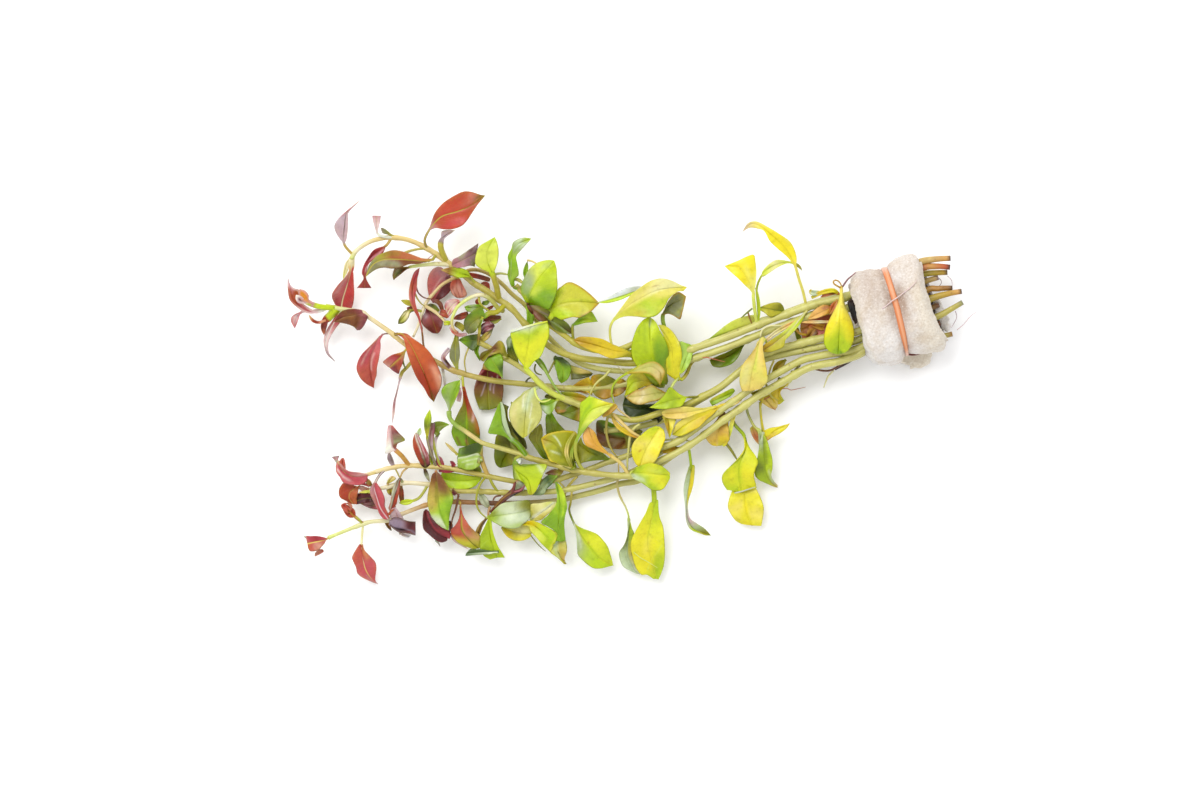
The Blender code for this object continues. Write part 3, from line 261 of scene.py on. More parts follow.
# A short way to build a material: nodes by kind, sockets by name or, as in i6, by number.
class Nodes:
    def __init__(self, name):
        self.material = bpy.data.materials.new(name)
        self.material.use_nodes = True
        self.tree = self.material.node_tree
        self.shader = self.tree.nodes["Principled BSDF"]

    def add(self, kind, settings=None, **inputs):
        node = self.tree.nodes.new("ShaderNode" + kind)
        for key, value in (settings or {}).items():
            setattr(node, key, value)
        for key, value in inputs.items():
            self.feed(node.inputs[int(key[1:])] if re.fullmatch(r"i\d+", key) else node.inputs[key], value)
        return node

    def feed(self, socket, value):
        if isinstance(value, bpy.types.NodeSocket):
            self.tree.links.new(value, socket)
        else:
            socket.default_value = value

    # The shader's own sockets by name, as a constant or a link.
    def finish(self, sockets):
        for name, value in sockets.items():
            self.feed(self.shader.inputs[name], value)
        return self.material

    # What a skin carries: its tones, places laid flat across and along it, and places in space.
    def attribute(self, name):
        return self.add("Attribute", dict(attribute_name=name)).outputs["Color"]

    def flat(self):
        return self.add("UVMap", dict(uv_map="across")).outputs[0]

    def spot(self):
        return self.add("TexCoord").outputs["Object"]

    def parts(self, kind, **inputs):
        return self.add("Separate" + kind, None, **inputs).outputs

    def math(self, operation, a, b=0.0):
        return self.add("Math", dict(operation=operation), i0=a, i1=b).outputs[0]

    def times(self, a, b):
        return self.math("MULTIPLY", a, b)

    # A sum of sockets, each times its own factor.
    def total(self, *terms):
        sums = [self.times(socket, factor) for socket, factor in terms]
        while len(sums) > 1:
            sums[:2] = [self.math("ADD", sums[0], sums[1])]
        return sums[0]

    def mix(self, share, a, b, way="MIX"):
        return self.add("Mix", dict(data_type="RGBA", blend_type=way), i0=share, i6=a, i7=b).outputs[2]

    def noise(self, vector, scale, detail=2.0, roughness=0.5):
        return self.add("TexNoise", None, Vector=vector, Scale=scale, Detail=detail,
                        Roughness=roughness).outputs[0]

    def dots(self, vector, scale):
        return self.add("TexVoronoi", None, Vector=vector, Scale=scale).outputs[0]

    # A smooth step between low and high, from one value to the other.
    def band(self, value, low, high, toLow=0.0, toHigh=1.0):
        return self.add("MapRange", dict(interpolation_type="SMOOTHSTEP"), i0=value, i1=low, i2=high,
                        i3=toLow, i4=toHigh).outputs[0]

    def stretched(self, vector, x, y, z):
        return self.add("Mapping", None, Vector=vector, Scale=(x, y, z)).outputs[0]

    def bump(self, height, strength, distance):
        return self.add("Bump", None, Height=height, Strength=strength, Distance=distance).outputs[0]


leafLook = dict(roughness=0.38, specular=0.32, coat=0.13, coatRoughness=0.22, through=0.12, veinGap=1.5,
                veinLean=0.75, bumpHeight=0.00022, mottle=0.22, spotTone="brown")


# Tone from the blade, a midrib line, slanting side veins, cloudy mottling and small dark spots. The
# veins are a sine of the way along less a share of the way out, bent by noise.
def leafFinish():
    n = Nodes("leafFinish")
    tone, spot = n.attribute("tone"), n.spot()
    across, along, _ = n.parts("XYZ", Vector=n.flat())
    veins, spotty, ribbed = n.parts("Color", Color=n.attribute("look"))
    wobble = n.noise(spot, 350.0, 2.0)
    away = n.math("ABSOLUTE", across)
    phase = n.math("SUBTRACT", along, n.times(away, leafLook["veinLean"]))
    phase = n.math("ADD", phase, n.times(wobble, 0.9))
    wave = n.math("ABSOLUTE", n.math("SINE", n.times(phase, math.pi / leafLook["veinGap"])))
    vein = n.times(n.times(n.band(wave, 0.0, 0.32, 1.0, 0.0), n.band(away, 0.1, 0.9)), veins)
    clouds = n.noise(spot, 520.0, 4.0, 0.6)
    fine = n.noise(spot, 2600.0, 3.0, 0.6)
    dark = n.mix(1.0, tone, (0.52, 0.50, 0.46, 1), "MULTIPLY")
    pale = n.mix(0.30, tone, (1, 1, 0.86, 1), "SOFT_LIGHT")
    base = n.mix(n.times(n.band(clouds, 0.50, 0.78), leafLook["mottle"] * 2.2), tone, dark)
    base = n.mix(n.times(n.band(clouds, 0.50, 0.26), 0.7), base, pale)
    base = n.mix(n.times(n.band(fine, 0.52, 0.75), 0.16), base, dark)
    veinTone = n.mix(0.42, base, (1, 0.98, 0.78, 1), "SOFT_LIGHT")
    base = n.mix(n.times(vein, 0.45), base, veinTone)
    rib = n.band(away, 0.10, 0.42, 1.0, 0.0)
    base = n.mix(n.times(rib, ribbed), base, n.attribute("ribTone"))
    spots = n.times(n.band(n.dots(spot, 620.0), 0.16, 0.30, 1.0, 0.0), n.band(wobble, 0.48, 0.6))
    base = n.mix(n.times(spots, spotty), base, (*toneOf(leafLook["spotTone"]), 1))
    height = n.total((vein, -0.6), (rib, -0.8), (clouds, 1.4), (fine, 0.35))
    rough = n.band(clouds, 0.3, 0.7, leafLook["roughness"] - 0.08, leafLook["roughness"] + 0.12)
    return n.finish({"Base Color": base, "Normal": n.bump(height, 0.7, leafLook["bumpHeight"]),
                     "Roughness": rough, "Specular IOR Level": leafLook["specular"],
                     "Coat Weight": leafLook["coat"], "Coat Roughness": leafLook["coatRoughness"],
                     "Subsurface Weight": leafLook["through"], "Subsurface Radius": (0.9, 1.0, 0.3),
                     "Subsurface Scale": 0.0012})


stemLook = dict(roughness=0.40, coat=0.15, bumpHeight=0.00015)


# Tone from the stem, long faint ribs, and small brown flecks.
def stemFinish():
    n = Nodes("stemFinish")
    tone, spot = n.attribute("tone"), n.spot()
    streaks = n.noise(n.stretched(n.flat(), 2.4, 0.16, 1.0), 1.0, 4.0, 0.6)
    clouds = n.noise(spot, 420.0, 4.0, 0.6)
    dark = n.mix(1.0, tone, (0.58, 0.50, 0.40, 1), "MULTIPLY")
    pale = n.mix(0.5, tone, (1, 1, 0.9, 1), "SOFT_LIGHT")
    base = n.mix(n.times(n.band(streaks, 0.50, 0.72), 0.65), tone, dark)
    base = n.mix(n.times(n.band(clouds, 0.48, 0.25), 0.6), base, pale)
    flecks = n.times(n.band(n.dots(spot, 520.0), 0.14, 0.28, 1.0, 0.0), n.band(clouds, 0.5, 0.62))
    base = n.mix(n.times(flecks, 0.5), base, (*toneOf("brown"), 1))
    height = n.total((streaks, 1.0), (clouds, 0.7))
    return n.finish({"Base Color": base, "Normal": n.bump(height, 0.7, stemLook["bumpHeight"]),
                     "Roughness": stemLook["roughness"], "Coat Weight": stemLook["coat"],
                     "Coat Roughness": 0.25, "Subsurface Weight": 0.1, "Subsurface Radius": (1.0, 0.9, 0.3),
                     "Subsurface Scale": 0.001})


leafMaterial, stemMaterial = leafFinish(), stemFinish()

# Routes are photo steps and a height in millimetres, from the cut end to the tip.
upperRun = [(832, 300, 15), (810, 306, 14.6), (790, 313, 14.3), (770, 320, 14.1), (750, 328, 14),
    (730, 336, 14), (710, 343, 13.6), (692, 349, 13)]
lowerRun = [(832, 353.6, 14.4), (816, 356.6, 14.2), (800, 361, 14), (779, 372.4, 13.6), (755, 386, 13.3),
    (738, 398, 13), (722, 409, 12.8), (707, 420, 12.6), (690, 433, 12.3), (672, 444, 12)]


# The same run moved right, down and up.
def shifted(run, right, down, up):
    return [(x + right, y + down, z + up) for x, y, z in run]


# first and last are the radii at the two ends in millimetres, tone the stops from end to end.
stems = dict(
    upperFront=dict(route=[(950, 258.5, 15.4), (934, 259.5, 15.2), (918, 263, 15.1), (890, 277, 15),
        (848, 296, 14.8)] + upperRun + [(665, 358, 12.2), (635, 363, 11.2), (605, 361, 10.6),
        (575, 357, 10.2), (549, 346, 10), (526, 325, 10), (512, 309, 10), (498, 299, 9.8), (485, 290, 9.6),
        (475, 284, 9.5), (462, 274, 9.6), (447, 262, 9.8), (428, 249, 10.4), (410, 240.5, 11.2),
        (392, 237.5, 12), (380, 239, 12.5), (370, 242, 13), (360, 248, 13), (354, 254, 12.7),
        (352, 259, 12.4)], first=1.4, last=0.72, tone=[(0, "darkBrown"), (0.006, "orangeTan"),
        (0.03, "tan"), (0.1, "goldenDeep"), (0.14, "stemPale"), (0.4, "stemPale"), (0.5, "yellowOlive"),
        (0.78, "oliveTan"), (0.88, "tanPale"), (0.95, "tanPale"), (0.985, "cream"), (1, "paleLime")]),
    upperRed=dict(route=[(949.5, 267.5, 15), (936, 266.5, 15), (920, 269, 15), (890, 287, 15),
        (850, 307, 14.8)] + shifted(upperRun, 2, 9.5, -0.3) + [(680, 364, 11.8), (665, 367, 10.6),
        (640, 371, 9.6), (620, 371, 8.8), (600, 369, 7.6), (580, 363, 6.8), (562, 350, 6.6),
        (548, 336, 6.5), (536, 320, 6.4), (526, 306, 6.4), (512, 294, 6.4), (500, 282, 6.4),
        (485, 272, 6.4), (470, 270, 6.6), (456, 277, 6.8), (443, 284, 7), (434, 293, 7), (426, 303, 7),
        (421, 316, 7), (418, 326, 7), (413, 337, 6.6)], first=1.35, last=0.42, tone=[(0, "black"),
        (0.008, "orangeRust"), (0.03, "orangeTan"), (0.05, "rust"), (0.08, "stemPale"), (0.3, "stemPale"),
        (0.6, "stemPale"), (0.75, "oliveTan"), (0.88, "tan"), (0.93, "paleTan"), (0.96, "cream"),
        (1, "cream")]),
    upperGreen=dict(route=[(947, 272.5, 12.4), (934, 273, 12.4), (918, 275, 12), (890, 284, 11.6),
        (847, 296, 11.2)] + shifted(upperRun, -1, -1, -3.5) + [(665, 340, 10), (640, 342, 13.6),
        (618, 350, 14.8), (600, 351, 14.8), (580, 346, 14.2), (565, 336, 14), (549, 324, 14),
        (535, 309, 14), (526, 297, 14), (516, 285, 14)], first=1.35, last=0.8, tone=[(0, "darkBrown"),
        (0.008, "goldenDeep"), (0.06, "yellowOlive"), (0.1, "stemPale"), (0.5, "stemPale"),
        (0.8, "yellowOlive"), (1, "oliveTan")]),
    middleRed=dict(route=[(938, 277.5, 11.4), (920, 283, 11.4), (890, 294, 11.2),
        (850, 308, 11.2)] + shifted(upperRun, 2, 9.5, -3.9) + [(665, 370, 8.4), (640, 380, 7.8),
        (620, 385, 7.4), (590, 389, 7.2), (560, 388, 7.2), (533, 385, 7.2), (500, 381.5, 7.2),
        (480, 378, 7.2), (455, 371, 7.2), (433, 360, 7.2), (405, 344, 7.6), (390, 332, 8.6),
        (370, 318, 9.6), (361, 312, 10), (340, 309, 10.5), (326, 306, 11)], first=1.35, last=0.68,
        tone=[(0, "greyMauve"), (0.006, "tan"), (0.08, "oliveTan"), (0.2, "stemPale"), (0.5, "stemPale"),
        (0.7, "oliveTan"), (0.82, "tan"), (0.88, "tanPale"), (0.95, "cream"), (1, "paleLime")]),
    middleLime=dict(route=[(961, 291.5, 15.2), (945, 294.5, 15.2), (925, 301, 15), (890, 319, 15),
        (857, 331.6, 14.8), (832, 336, 14.8), (800, 343.4, 14.2), (762, 354.4, 13.5), (740, 371, 13),
        (720, 387, 12.5), (700, 398, 12), (680, 408, 12), (660, 413, 12), (632, 420, 11.6),
        (600, 412, 11.4), (580, 405, 11.4), (560, 397, 11.4), (550, 391, 11.4), (541, 384, 11.4),
        (532, 375, 11.2), (520, 367, 11), (510, 361, 11), (500, 355, 10.6), (492, 349, 10.2),
        (478, 342, 10)], first=1.35, last=0.8, tone=[(0, "darkBrown"), (0.008, "orangeTan"),
        (0.03, "goldenDeep"), (0.08, "oliveTan"), (0.2, "stemPale"), (0.45, "stemPale"),
        (0.6, "yellowOlive"), (0.85, "stemPale"), (1, "oliveTan")]),
    middleShort=dict(route=[(952, 288.2, 13.4), (938, 288.8, 13.2), (924, 292, 12.8), (890, 322, 12.6),
        (858, 340, 13.4), (832, 344.4, 13.4), (800, 350.8, 12.6), (776, 356, 11.6), (762, 360.4, 10.9),
        (740, 372, 9.5), (720, 388, 9), (700, 400, 8.5), (680, 412, 8.4), (660, 421, 8.2), (632, 428, 8),
        (604, 431, 7.6)], first=1.3, last=0.9, tone=[(0, "darkBrown"), (0.01, "ochreBrown"),
        (0.05, "orangeTan"), (0.12, "oliveTan"), (0.3, "stemPale"), (1, "stemPale")]),
    lowerFront=dict(route=[(938, 305, 12), (925, 312, 13), (890, 337, 14), (867, 348, 14.2),
        (856, 355, 14.4)] + shifted(lowerRun, 6.2, 7.8, 0) + [(655, 463, 11.4), (635, 475, 11.2),
        (605, 474.5, 10.8), (575, 470, 10.6), (545, 462, 10.4), (530, 458, 10.4), (520, 454, 10.4),
        (500, 448, 10.4), (483, 443, 10.6), (475, 438, 10.8), (465, 431, 11), (456, 425, 11.2),
        (450, 418, 11.2), (449, 411, 11.4)], first=1.35, last=0.7, tone=[(0, "brown"), (0.05, "oliveTan"),
        (0.2, "stemPale"), (0.55, "stemPale"), (0.8, "oliveTan"), (0.9, "stemPale"), (0.94, "tanPale"),
        (0.97, "greenPale"), (1, "greenPale")]),
    lowerTan=dict(route=[(962, 302.5, 15.2), (950, 309.5, 15.1), (936, 317, 15), (900, 330, 14.9),
        (868, 344, 14.8), (852, 350.4, 14.6)] + lowerRun + [(645, 450, 9.6), (618, 459, 7.6), (605, 463, 7),
        (590, 469, 6.9), (575, 474, 6.9), (555, 480, 7.2), (535, 482, 7.6), (515, 481.5, 8),
        (480, 474.5, 8), (455, 469, 8), (438, 467, 8), (409, 465.5, 8.4), (390, 468, 8.8), (372, 473, 9.4),
        (362, 476, 9.6), (352, 476, 10)], first=1.3, last=0.65, tone=[(0, "greyOlive"), (0.01, "oliveTan"),
        (0.2, "stemPale"), (0.45, "stemPale"), (0.8, "oliveTan"), (0.92, "tanPale"), (1, "cream")]),
    lowerBrown=dict(route=[(940, 323, 11.8), (900, 334, 11.5), (868, 345, 11.4),
        (852, 351.4, 11.2)] + shifted(lowerRun, 0, 0, -3.5) + [(655, 456, 7.6), (640, 468, 7.4),
        (620, 476.5, 7.2), (600, 482, 7.2), (575, 488, 7.2), (562, 490.5, 7.2), (545, 492, 7.2),
        (515, 493, 7.2), (500, 492.5, 7.2), (480, 491.5, 7.2), (455, 491, 7.2), (440, 488, 7.2),
        (428, 484.5, 7.2), (404, 483, 7.4), (385, 487.5, 7.6), (370, 490, 7.8), (358, 487, 8)], first=1.3,
        last=0.65, tone=[(0, "brown"), (0.1, "stemPale"), (0.3, "oliveTan"), (0.6, "stemPale"),
        (0.85, "oliveTan"), (0.9, "cream"), (1, "cream")]),
    lowerOrange=dict(route=[(952, 334, 12), (940, 336.5, 11.9), (900, 343, 11.6), (870, 349, 11.4),
        (857, 355.6, 11.2)] + shifted(lowerRun, 6.2, 7.8, -3.6) + [(658, 466, 6.8), (640, 480, 5.2),
        (620, 484, 4.2), (600, 490.5, 4), (565, 499, 4.2), (545, 502, 4.4), (505, 503.5, 4.4),
        (470, 502.5, 4.4), (452, 502, 4.6), (430, 504, 5.2), (402, 514, 6.4), (389, 520, 6.8),
        (370, 522, 7), (355, 527, 7), (340, 533, 7), (328, 538, 7)], first=1.3, last=0.6,
        tone=[(0, "ochreBrown"), (0.01, "oliveTan"), (0.03, "tanBrown"), (0.08, "stemPale"),
        (0.3, "oliveTan"), (0.6, "stemPale"), (0.75, "brown"), (0.84, "orangeTan"), (0.9, "cream"),
        (1, "paleLime")]),
)
# Side shoots, joined to the stem that they grow on.
shoots = dict(
    paleArch=dict(stem="upperFront", route=[(503, 311, 9.4), (498, 308, 11.4), (493, 302, 12.6),
        (487, 297, 13.2), (480, 295, 13.4), (471, 297.5, 13.4), (463, 302.5, 13.2), (457, 308, 13),
        (453.5, 315, 12.8), (452, 322, 12.4), (453.5, 329, 11.6), (458, 333, 11)], first=0.8, last=0.45,
        tone=[(0, "yellowOlive"), (0.25, "paleOlive"), (0.4, "cream"), (0.55, "paleLime"),
        (0.75, "paleLime"), (0.9, "paleTan"), (1, "coral")]),
    paleShoot=dict(stem="upperFront", route=[(450, 265, 9.7), (438, 264, 11), (424, 265, 12),
        (410, 267, 12.5)], first=0.8, last=0.5, tone=[(0, "cream"), (1, "paleLime")]),
)

# Leaves, by the stem that they grow on. The name also seeds a leaf's ripple, so it is kept as it is.
# kind: own (a CAD node), free (its rib isn't tied to the stem), wideBase and wideTip (that end isn't drawn
# to a point). rib: the midrib as photo steps and a height in millimetres. left and right: the blade's
# edges from above. Or wide: one or two half widths in photo steps, peak: the share of the blade where it
# is widest, base and end: shares of that width at its ends. start: the stalk's share of the length, stalk:
# a factor on its thickness. lift, wave and bow: how far the halves rise, the edge ripples and the blade
# arches, in millimetres, waves: the number of half ripples. tone, leftTone, rightTone, edge, ribTone,
# stalkTone and under: tones from base to tip. veins, spots and ribbing: how strong each shows.
# marks: (along, across) of both ends, width in millimetres, tones and strength. Some pale marks are painted
# highlights, sheen and glints, noted at their leaves.
leafRows = {
"upperFront": dict(
    mauveTopLeaf=dict(start=0.25, rib=[(353, 256, 0), (346, 247, 14), (344, 240, 16), (345, 228, 17),
        (347, 214, 18), (352, 208, 18.5), (362, 200, 19)], left=[(340, 239), (336, 232), (335, 226),
        (338, 220), (344, 214), (350, 210), (356, 204)], right=[(347, 240), (348.5, 230), (348.8, 220),
        (349, 214), (352.5, 209.5), (357, 205)], tone="paleMauve greyPink paleMauve rose palePink",
        rightTone="greyPink", stalkTone="tan"),
    pinkFanLeaf=dict(kind="wideTip", start=0.45, rib=[(395, 238, 0), (385, 237, 13.5), (378, 234, 14.5),
        (377, 227, 15), (377, 216, 16)], left=[(376, 231), (373.5, 222), (372.5, 216)], right=[(378.5, 231),
        (380.5, 222), (381.5, 216)], tone="white pinkWhite palePink pink", stalkTone="white"),
    redHangingLeaf=dict(kind="own wideTip", start=0.14, rib=[(352, 259, 0), (351.5, 268, 11),
        (349, 278, 9.5), (346, 288, 7.5), (342.5, 299, 5), (340.5, 311, 3)], left=[(353.5, 273), (354, 284),
        (354.2, 295), (353, 304), (350.5, 310)], right=[(346, 276), (338, 285), (333, 292), (331.8, 297),
        (334, 303), (339, 311)], tone="peach rose rose crimson", leftTone="red", stalk=2.2,
        stalkTone="cream", ribTone="cream", ribbing=0.95, marks=[(0.15, -0.3, 0.5, -0.7, 1, "pink", 0.55),
        (0.7, -0.5, 0.95, -0.3, 0.8, "crimson", 0.7), (0.1, 0.2, 0.25, 0.2, 1, "rust", 0.5)]),
    crimsonRolledLeaf=dict(kind="wideTip", rib=[(392, 238, 0), (387, 245, 12), (378, 252, 12),
        (370, 259, 12), (365, 270, 11), (365, 279, 10), (364.5, 288, 9)], left=[(385, 250), (381, 256),
        (374, 259.5), (368.5, 265), (367, 273), (366.5, 279), (371.5, 288)], right=[(381, 247), (374, 250),
        (369, 256.5), (364, 265), (362, 273), (363.5, 279), (357, 288)],
        tone="brick crimson crimson crimson brickRed brickRed", stalkTone="tan", ribbing=0.1,
        marks=[(0.1, 0.6, 0.42, 0.3, 0.45, "pink", 0.7), (0.25, -0.5, 0.5, -0.4, 0.4, "maroon", 0.7),
        (0.6, 0.3, 0.66, 0.3, 0.5, "palePink", 0.6)]),
    rustLongLeaf=dict(kind="own", start=0.1, rib=[(436, 256, 0), (430, 261.5, 14), (412, 260.5, 15),
        (396, 259.5, 15.5), (383, 260, 15.5), (373, 265, 15), (366, 277, 14.5)], left=[(420, 264),
        (410, 264.5), (402, 267.5), (393, 269), (384, 268), (376, 270)], right=[(423, 258.5), (413, 255),
        (402, 251.5), (393, 250.5), (384, 253), (376, 257), (369, 266)],
        tone="oliveTan rustPale rustPale brick oliveTan greyOlive greyOlive", leftTone="brown",
        ribTone="oliveTan", ribbing=0.95, marks=[(0.55, 0.5, 0.95, 0.2, 1.6, "greyOlive", 0.85),
        (0.1, -0.5, 0.5, -0.6, 0.9, "rustPale", 0.8), (0.5, -0.5, 0.7, -0.5, 1.2, "olive", 0.5)]),
    brownNarrowLeaf=dict(kind="free", start=0.15, rib=[(412, 266.8, 12.2), (407, 268, 11), (401, 271, 10),
        (393.5, 280, 8.5)], left=[(405, 271), (399.5, 275.5), (395, 279)], right=[(402, 267), (396, 267.5),
        (393.5, 271), (392.5, 276)], tone="oliveTan brown greyOlive oliveTan", edge="brown", ribbing=0.45),
    # bigOrangeLeaf: the grey-pink mark along its right edge is a painted highlight.
    bigOrangeLeaf=dict(kind="own", start=0.26, rib=[(427, 249, 0), (425, 240, 14), (430, 229.5, 15.5),
        (437, 221, 17), (444, 216, 18), (458, 212, 19), (472, 206, 19.5), (485.5, 196, 20)],
        left=[(432, 221), (436, 212), (444, 203), (455, 196), (464, 192), (472, 192.4), (480, 195)],
        right=[(436, 228.6), (444, 229.8), (453, 229.6), (462, 226.5), (467.5, 221), (471.5, 215),
        (478, 205.5), (483, 199.5)], tone="greyPink brick orangeRed orangeRed brick olive", stalk=0.9,
        stalkTone="mauve", ribTone="oliveTan", ribbing=1, wave=0.6,
        marks=[(0.1, -0.5, 0.45, -0.7, 1.6, "red", 0.75), (0.55, -0.85, 0.75, -0.9, 0.5, "greyPink", 0.7),
        (0.1, 0.6, 0.6, 0.9, 0.7, "brick", 0.6), (0.8, 0.3, 0.95, 0.3, 0.9, "brown", 0.7),
        (0, 0.2, 0.12, 0.6, 1, "greyPink", 0.8)]),
    hiddenOliveLeaf=dict(start=0.5, rib=[(447, 262, 0), (441.5, 250, 12), (441, 243, 12.6), (444, 237, 13),
        (455, 230.5, 13.4)], left=[(441.3, 237), (442, 231.5), (449, 230)], right=[(446, 237.5),
        (451, 234)], tone="greyMauve paleMauve palePink", stalk=2.2, stalkTone="oliveTan", ribbing=0.45),
    # mauveCutLeaf: the pale mauve mark along its left edge is a painted highlight.
    mauveCutLeaf=dict(kind="wideTip", start=0.05, rib=[(451, 264.5, 0), (457, 263, 13), (466, 259, 14),
        (477, 253.5, 15)], left=[(453, 260), (460, 256.2), (469, 250), (478.5, 243.5)], right=[(455, 268),
        (463, 267.6), (470, 266), (475, 267)], tone="mauvePink mauvePink mauve darkMauve",
        marks=[(0.6, 0.9, 0.95, 1, 0.9, "paleMauve", 0.9), (0.5, 0.3, 0.6, 0.6, 1, "greyGreen", 0.6),
        (0.15, 0.35, 0.5, 0.75, 0.25, "maroon", 0.8), (0.85, -0.5, 0.95, -0.9, 1.1, "darkOlive", 0.8),
        (0.75, 0.5, 0.95, 0.2, 0.7, "darkMaroon", 0.4), (0.1, -0.6, 0.6, -0.6, 0.4, "palePink", 0.5)]),
    limeSquareLeaf=dict(kind="own", start=0.4, rib=[(499, 299, 0), (496.5, 286, 13), (492.5, 273.5, 15.5),
        (488, 262, 17), (488, 251, 18.5), (495, 237.5, 19)], left=[(484, 270.5), (476, 265), (476, 256),
        (479.5, 247), (487, 242)], right=[(495, 271), (498, 262), (499, 252), (497.5, 243)],
        tone="lime limePale limePale yellowGreen", stalk=2.2, stalkTone="oliveTan", ribTone="yellowGreen",
        ribbing=0.15, veins=0.3, marks=[(0.7, 0.9, 0.95, 0.3, 1, "yellowGreen", 0.8),
        (0.05, 0.9, 0.1, -0.6, 1, "yellowGreen", 0.8)]),
    oliveTongueLeaf=dict(rib=[(477, 285, 0), (470, 277, 12), (461, 273.5, 13), (451, 271, 13.4),
        (441, 270, 14)], left=[(467, 277.5), (458, 278), (448, 274)], right=[(468, 271), (460, 268),
        (450, 267.5)], tone="olive yellowGreen yellowGreen ochreBrown tan", ribbing=0.1),
    pinkSmallLeaf=dict(kind="free wideBase wideTip", start=0.04, rib=[(460, 301, 12.4), (453, 305.5, 12.2),
        (447.5, 314, 11.6)], left=[(458, 304.5), (454, 310.5), (449.5, 316.5)], right=[(458.5, 299.6),
        (452, 299), (446, 301.8), (444.6, 307), (446.4, 312)], tone="rose pink palePink rose pink",
        ribTone="cream", ribbing=0.9, marks=[(0.1, -0.4, 0.9, -0.4, 0.2, "cream", 0.8),
        (0.1, 0.4, 0.9, 0.4, 0.2, "cream", 0.6), (0.5, -0.75, 0.9, -0.7, 0.3, "crimson", 0.5)]),
    darkRustLeaf=dict(kind="free wideBase wideTip", rib=[(501, 317, 8.8), (492, 318, 9), (483.5, 318.8, 9)],
        left=[(500.5, 318.6), (494, 320.4), (489, 321.2), (483, 322)], right=[(499.5, 315.4), (493, 315),
        (488, 314.5), (484, 315)], tone="redBrown brown brickRed brown", ribbing=0.1),
    # darkOliveLeaf: the vivid green mark at its base is a painted highlight.
    darkOliveLeaf=dict(start=0.42, rib=[(503, 309, 0), (497, 312, 11.6), (490, 313, 12), (483.5, 317, 12.6),
        (477, 320, 12.8), (470, 326, 12.2), (468.5, 334, 11.4)], left=[(481.5, 321), (478.5, 327),
        (474.5, 332.5)], right=[(484, 311), (482.5, 306.5), (477, 308), (470, 313.5), (465.5, 318),
        (463.8, 324), (465.5, 330.5)], tone="green greenOlive olive greenOlive darkOlive darkOlive",
        stalk=1.9, stalkTone="yellowOlive", marks=[(0.05, -0.4, 0.4, -0.6, 1.4, "vividGreen", 0.5),
        (0.6, 0.2, 0.9, -0.1, 1.6, "greyOlive", 0.5), (0.5, -0.7, 0.9, -0.6, 0.6, "darkGreen", 0.6)]),
    brownUnderLeaf=dict(kind="free", start=0.1, rib=[(490, 292, 8.4), (488, 287, 8.6), (485, 284, 8.8),
        (480, 284.5, 8.9)], wide=(3.2, 3), tone="brick brickRed brown", ribbing=0.1),
    archTipLeaf=dict(kind="free", rib=[(450.5, 327, 11.6), (454, 332, 11.4), (460, 335, 11.2),
        (467, 334, 11)], wide=2, base=0.8, end=0.7, tone="palePink coral rustPink mauvePink greyPink",
        ribbing=0.1),
    # darkGlintLeaf: its pale grey-green mark is a painted glint.
    darkGlintLeaf=dict(start=0.12, rib=[(526, 325, 0), (516, 334, 8.5), (511.5, 345, 8), (513.5, 356, 8),
        (519.5, 366, 8)], left=[(514.5, 337), (516, 347), (518, 358)], right=[(509.5, 336), (506.2, 341),
        (507, 347), (507.2, 353), (512, 361)], tone="darkGreen greyGreen darkGreen olive greenOlive",
        marks=[(0.3, -0.4, 0.5, -0.4, 0.5, "paleGreyGreen", 0.8)]),
    goldenLeaf=dict(kind="own wideBase", start=0.05, rib=[(640, 357, 0), (632, 353.5, 15.8), (615, 351, 17),
        (595, 345, 16.8), (573.6, 340, 15.6)], left=[(632, 356.4), (622, 357.6), (611, 358.6), (600, 354.4),
        (588, 349.8), (579, 345)], right=[(632, 350), (620, 347), (611, 343.4), (602, 339), (590, 337),
        (579.6, 337)], tone="lime yellowOlive golden golden goldenDeep ochre", ribTone="golden", veins=0.2),
    greyUnderLeaf=dict(kind="own", start=0.46, rib=[(668, 352, 0), (665.4, 332, 15), (662.6, 319, 17),
        (665, 310, 17.6), (673, 303, 18), (686, 296.6, 18)], left=[(666, 305), (670, 298.6), (674, 294.4),
        (679, 292.2)], right=[(668, 314), (674, 316.4), (680, 319.6), (682.4, 312), (684.6, 303)],
        tone="greenPale greyOlive greyOlive greyOlive oliveTan", edge="ochre", stalk=1.5,
        stalkTone="greenPale", ribbing=0.1, marks=[(0, 0.8, 0.7, 0.95, 0.5, "limeDeep", 0.8),
        (0.3, 0, 0.7, -0.2, 1.6, "darkOlive", 0.5), (0.2, -0.8, 0.6, -0.95, 0.5, "ochreBrown", 0.7),
        (0.6, -0.6, 0.8, -0.5, 0.5, "paleOlive", 0.5)]),
    brightTopLeaf=dict(kind="own", start=0.4, rib=[(757, 325, 0), (754.4, 310, 17), (753, 298, 18.6),
        (752.6, 291, 19.4), (747, 279, 21), (739, 268, 21.4), (724, 266.4, 20.6)], left=[(749, 290),
        (744, 285.4), (738, 279.4), (732, 274), (728, 270.4)], right=[(755, 285), (756, 273), (755, 262),
        (753.2, 255.2), (746, 257), (738, 260.8), (731, 263.6)],
        tone="limePale paleYellow yellowBright yellowBright yellowBright yellow", stalk=1.2,
        stalkTone="paleLime", ribTone="paleYellow", ribbing=0.15, veins=0.2,
        marks=[(0.85, 0.5, 0.97, 0.15, 0.3, "brown", 0.8), (0.1, -0.1, 0.5, -0.2, 1.6, "paleYellow", 0.6),
        (0.3, -0.8, 0.6, -0.9, 0.9, "yellow", 0.5)]),
    paleArchingLeaf=dict(start=0.42, rib=[(758, 323, 0), (757.6, 306, 15), (756.4, 290, 16),
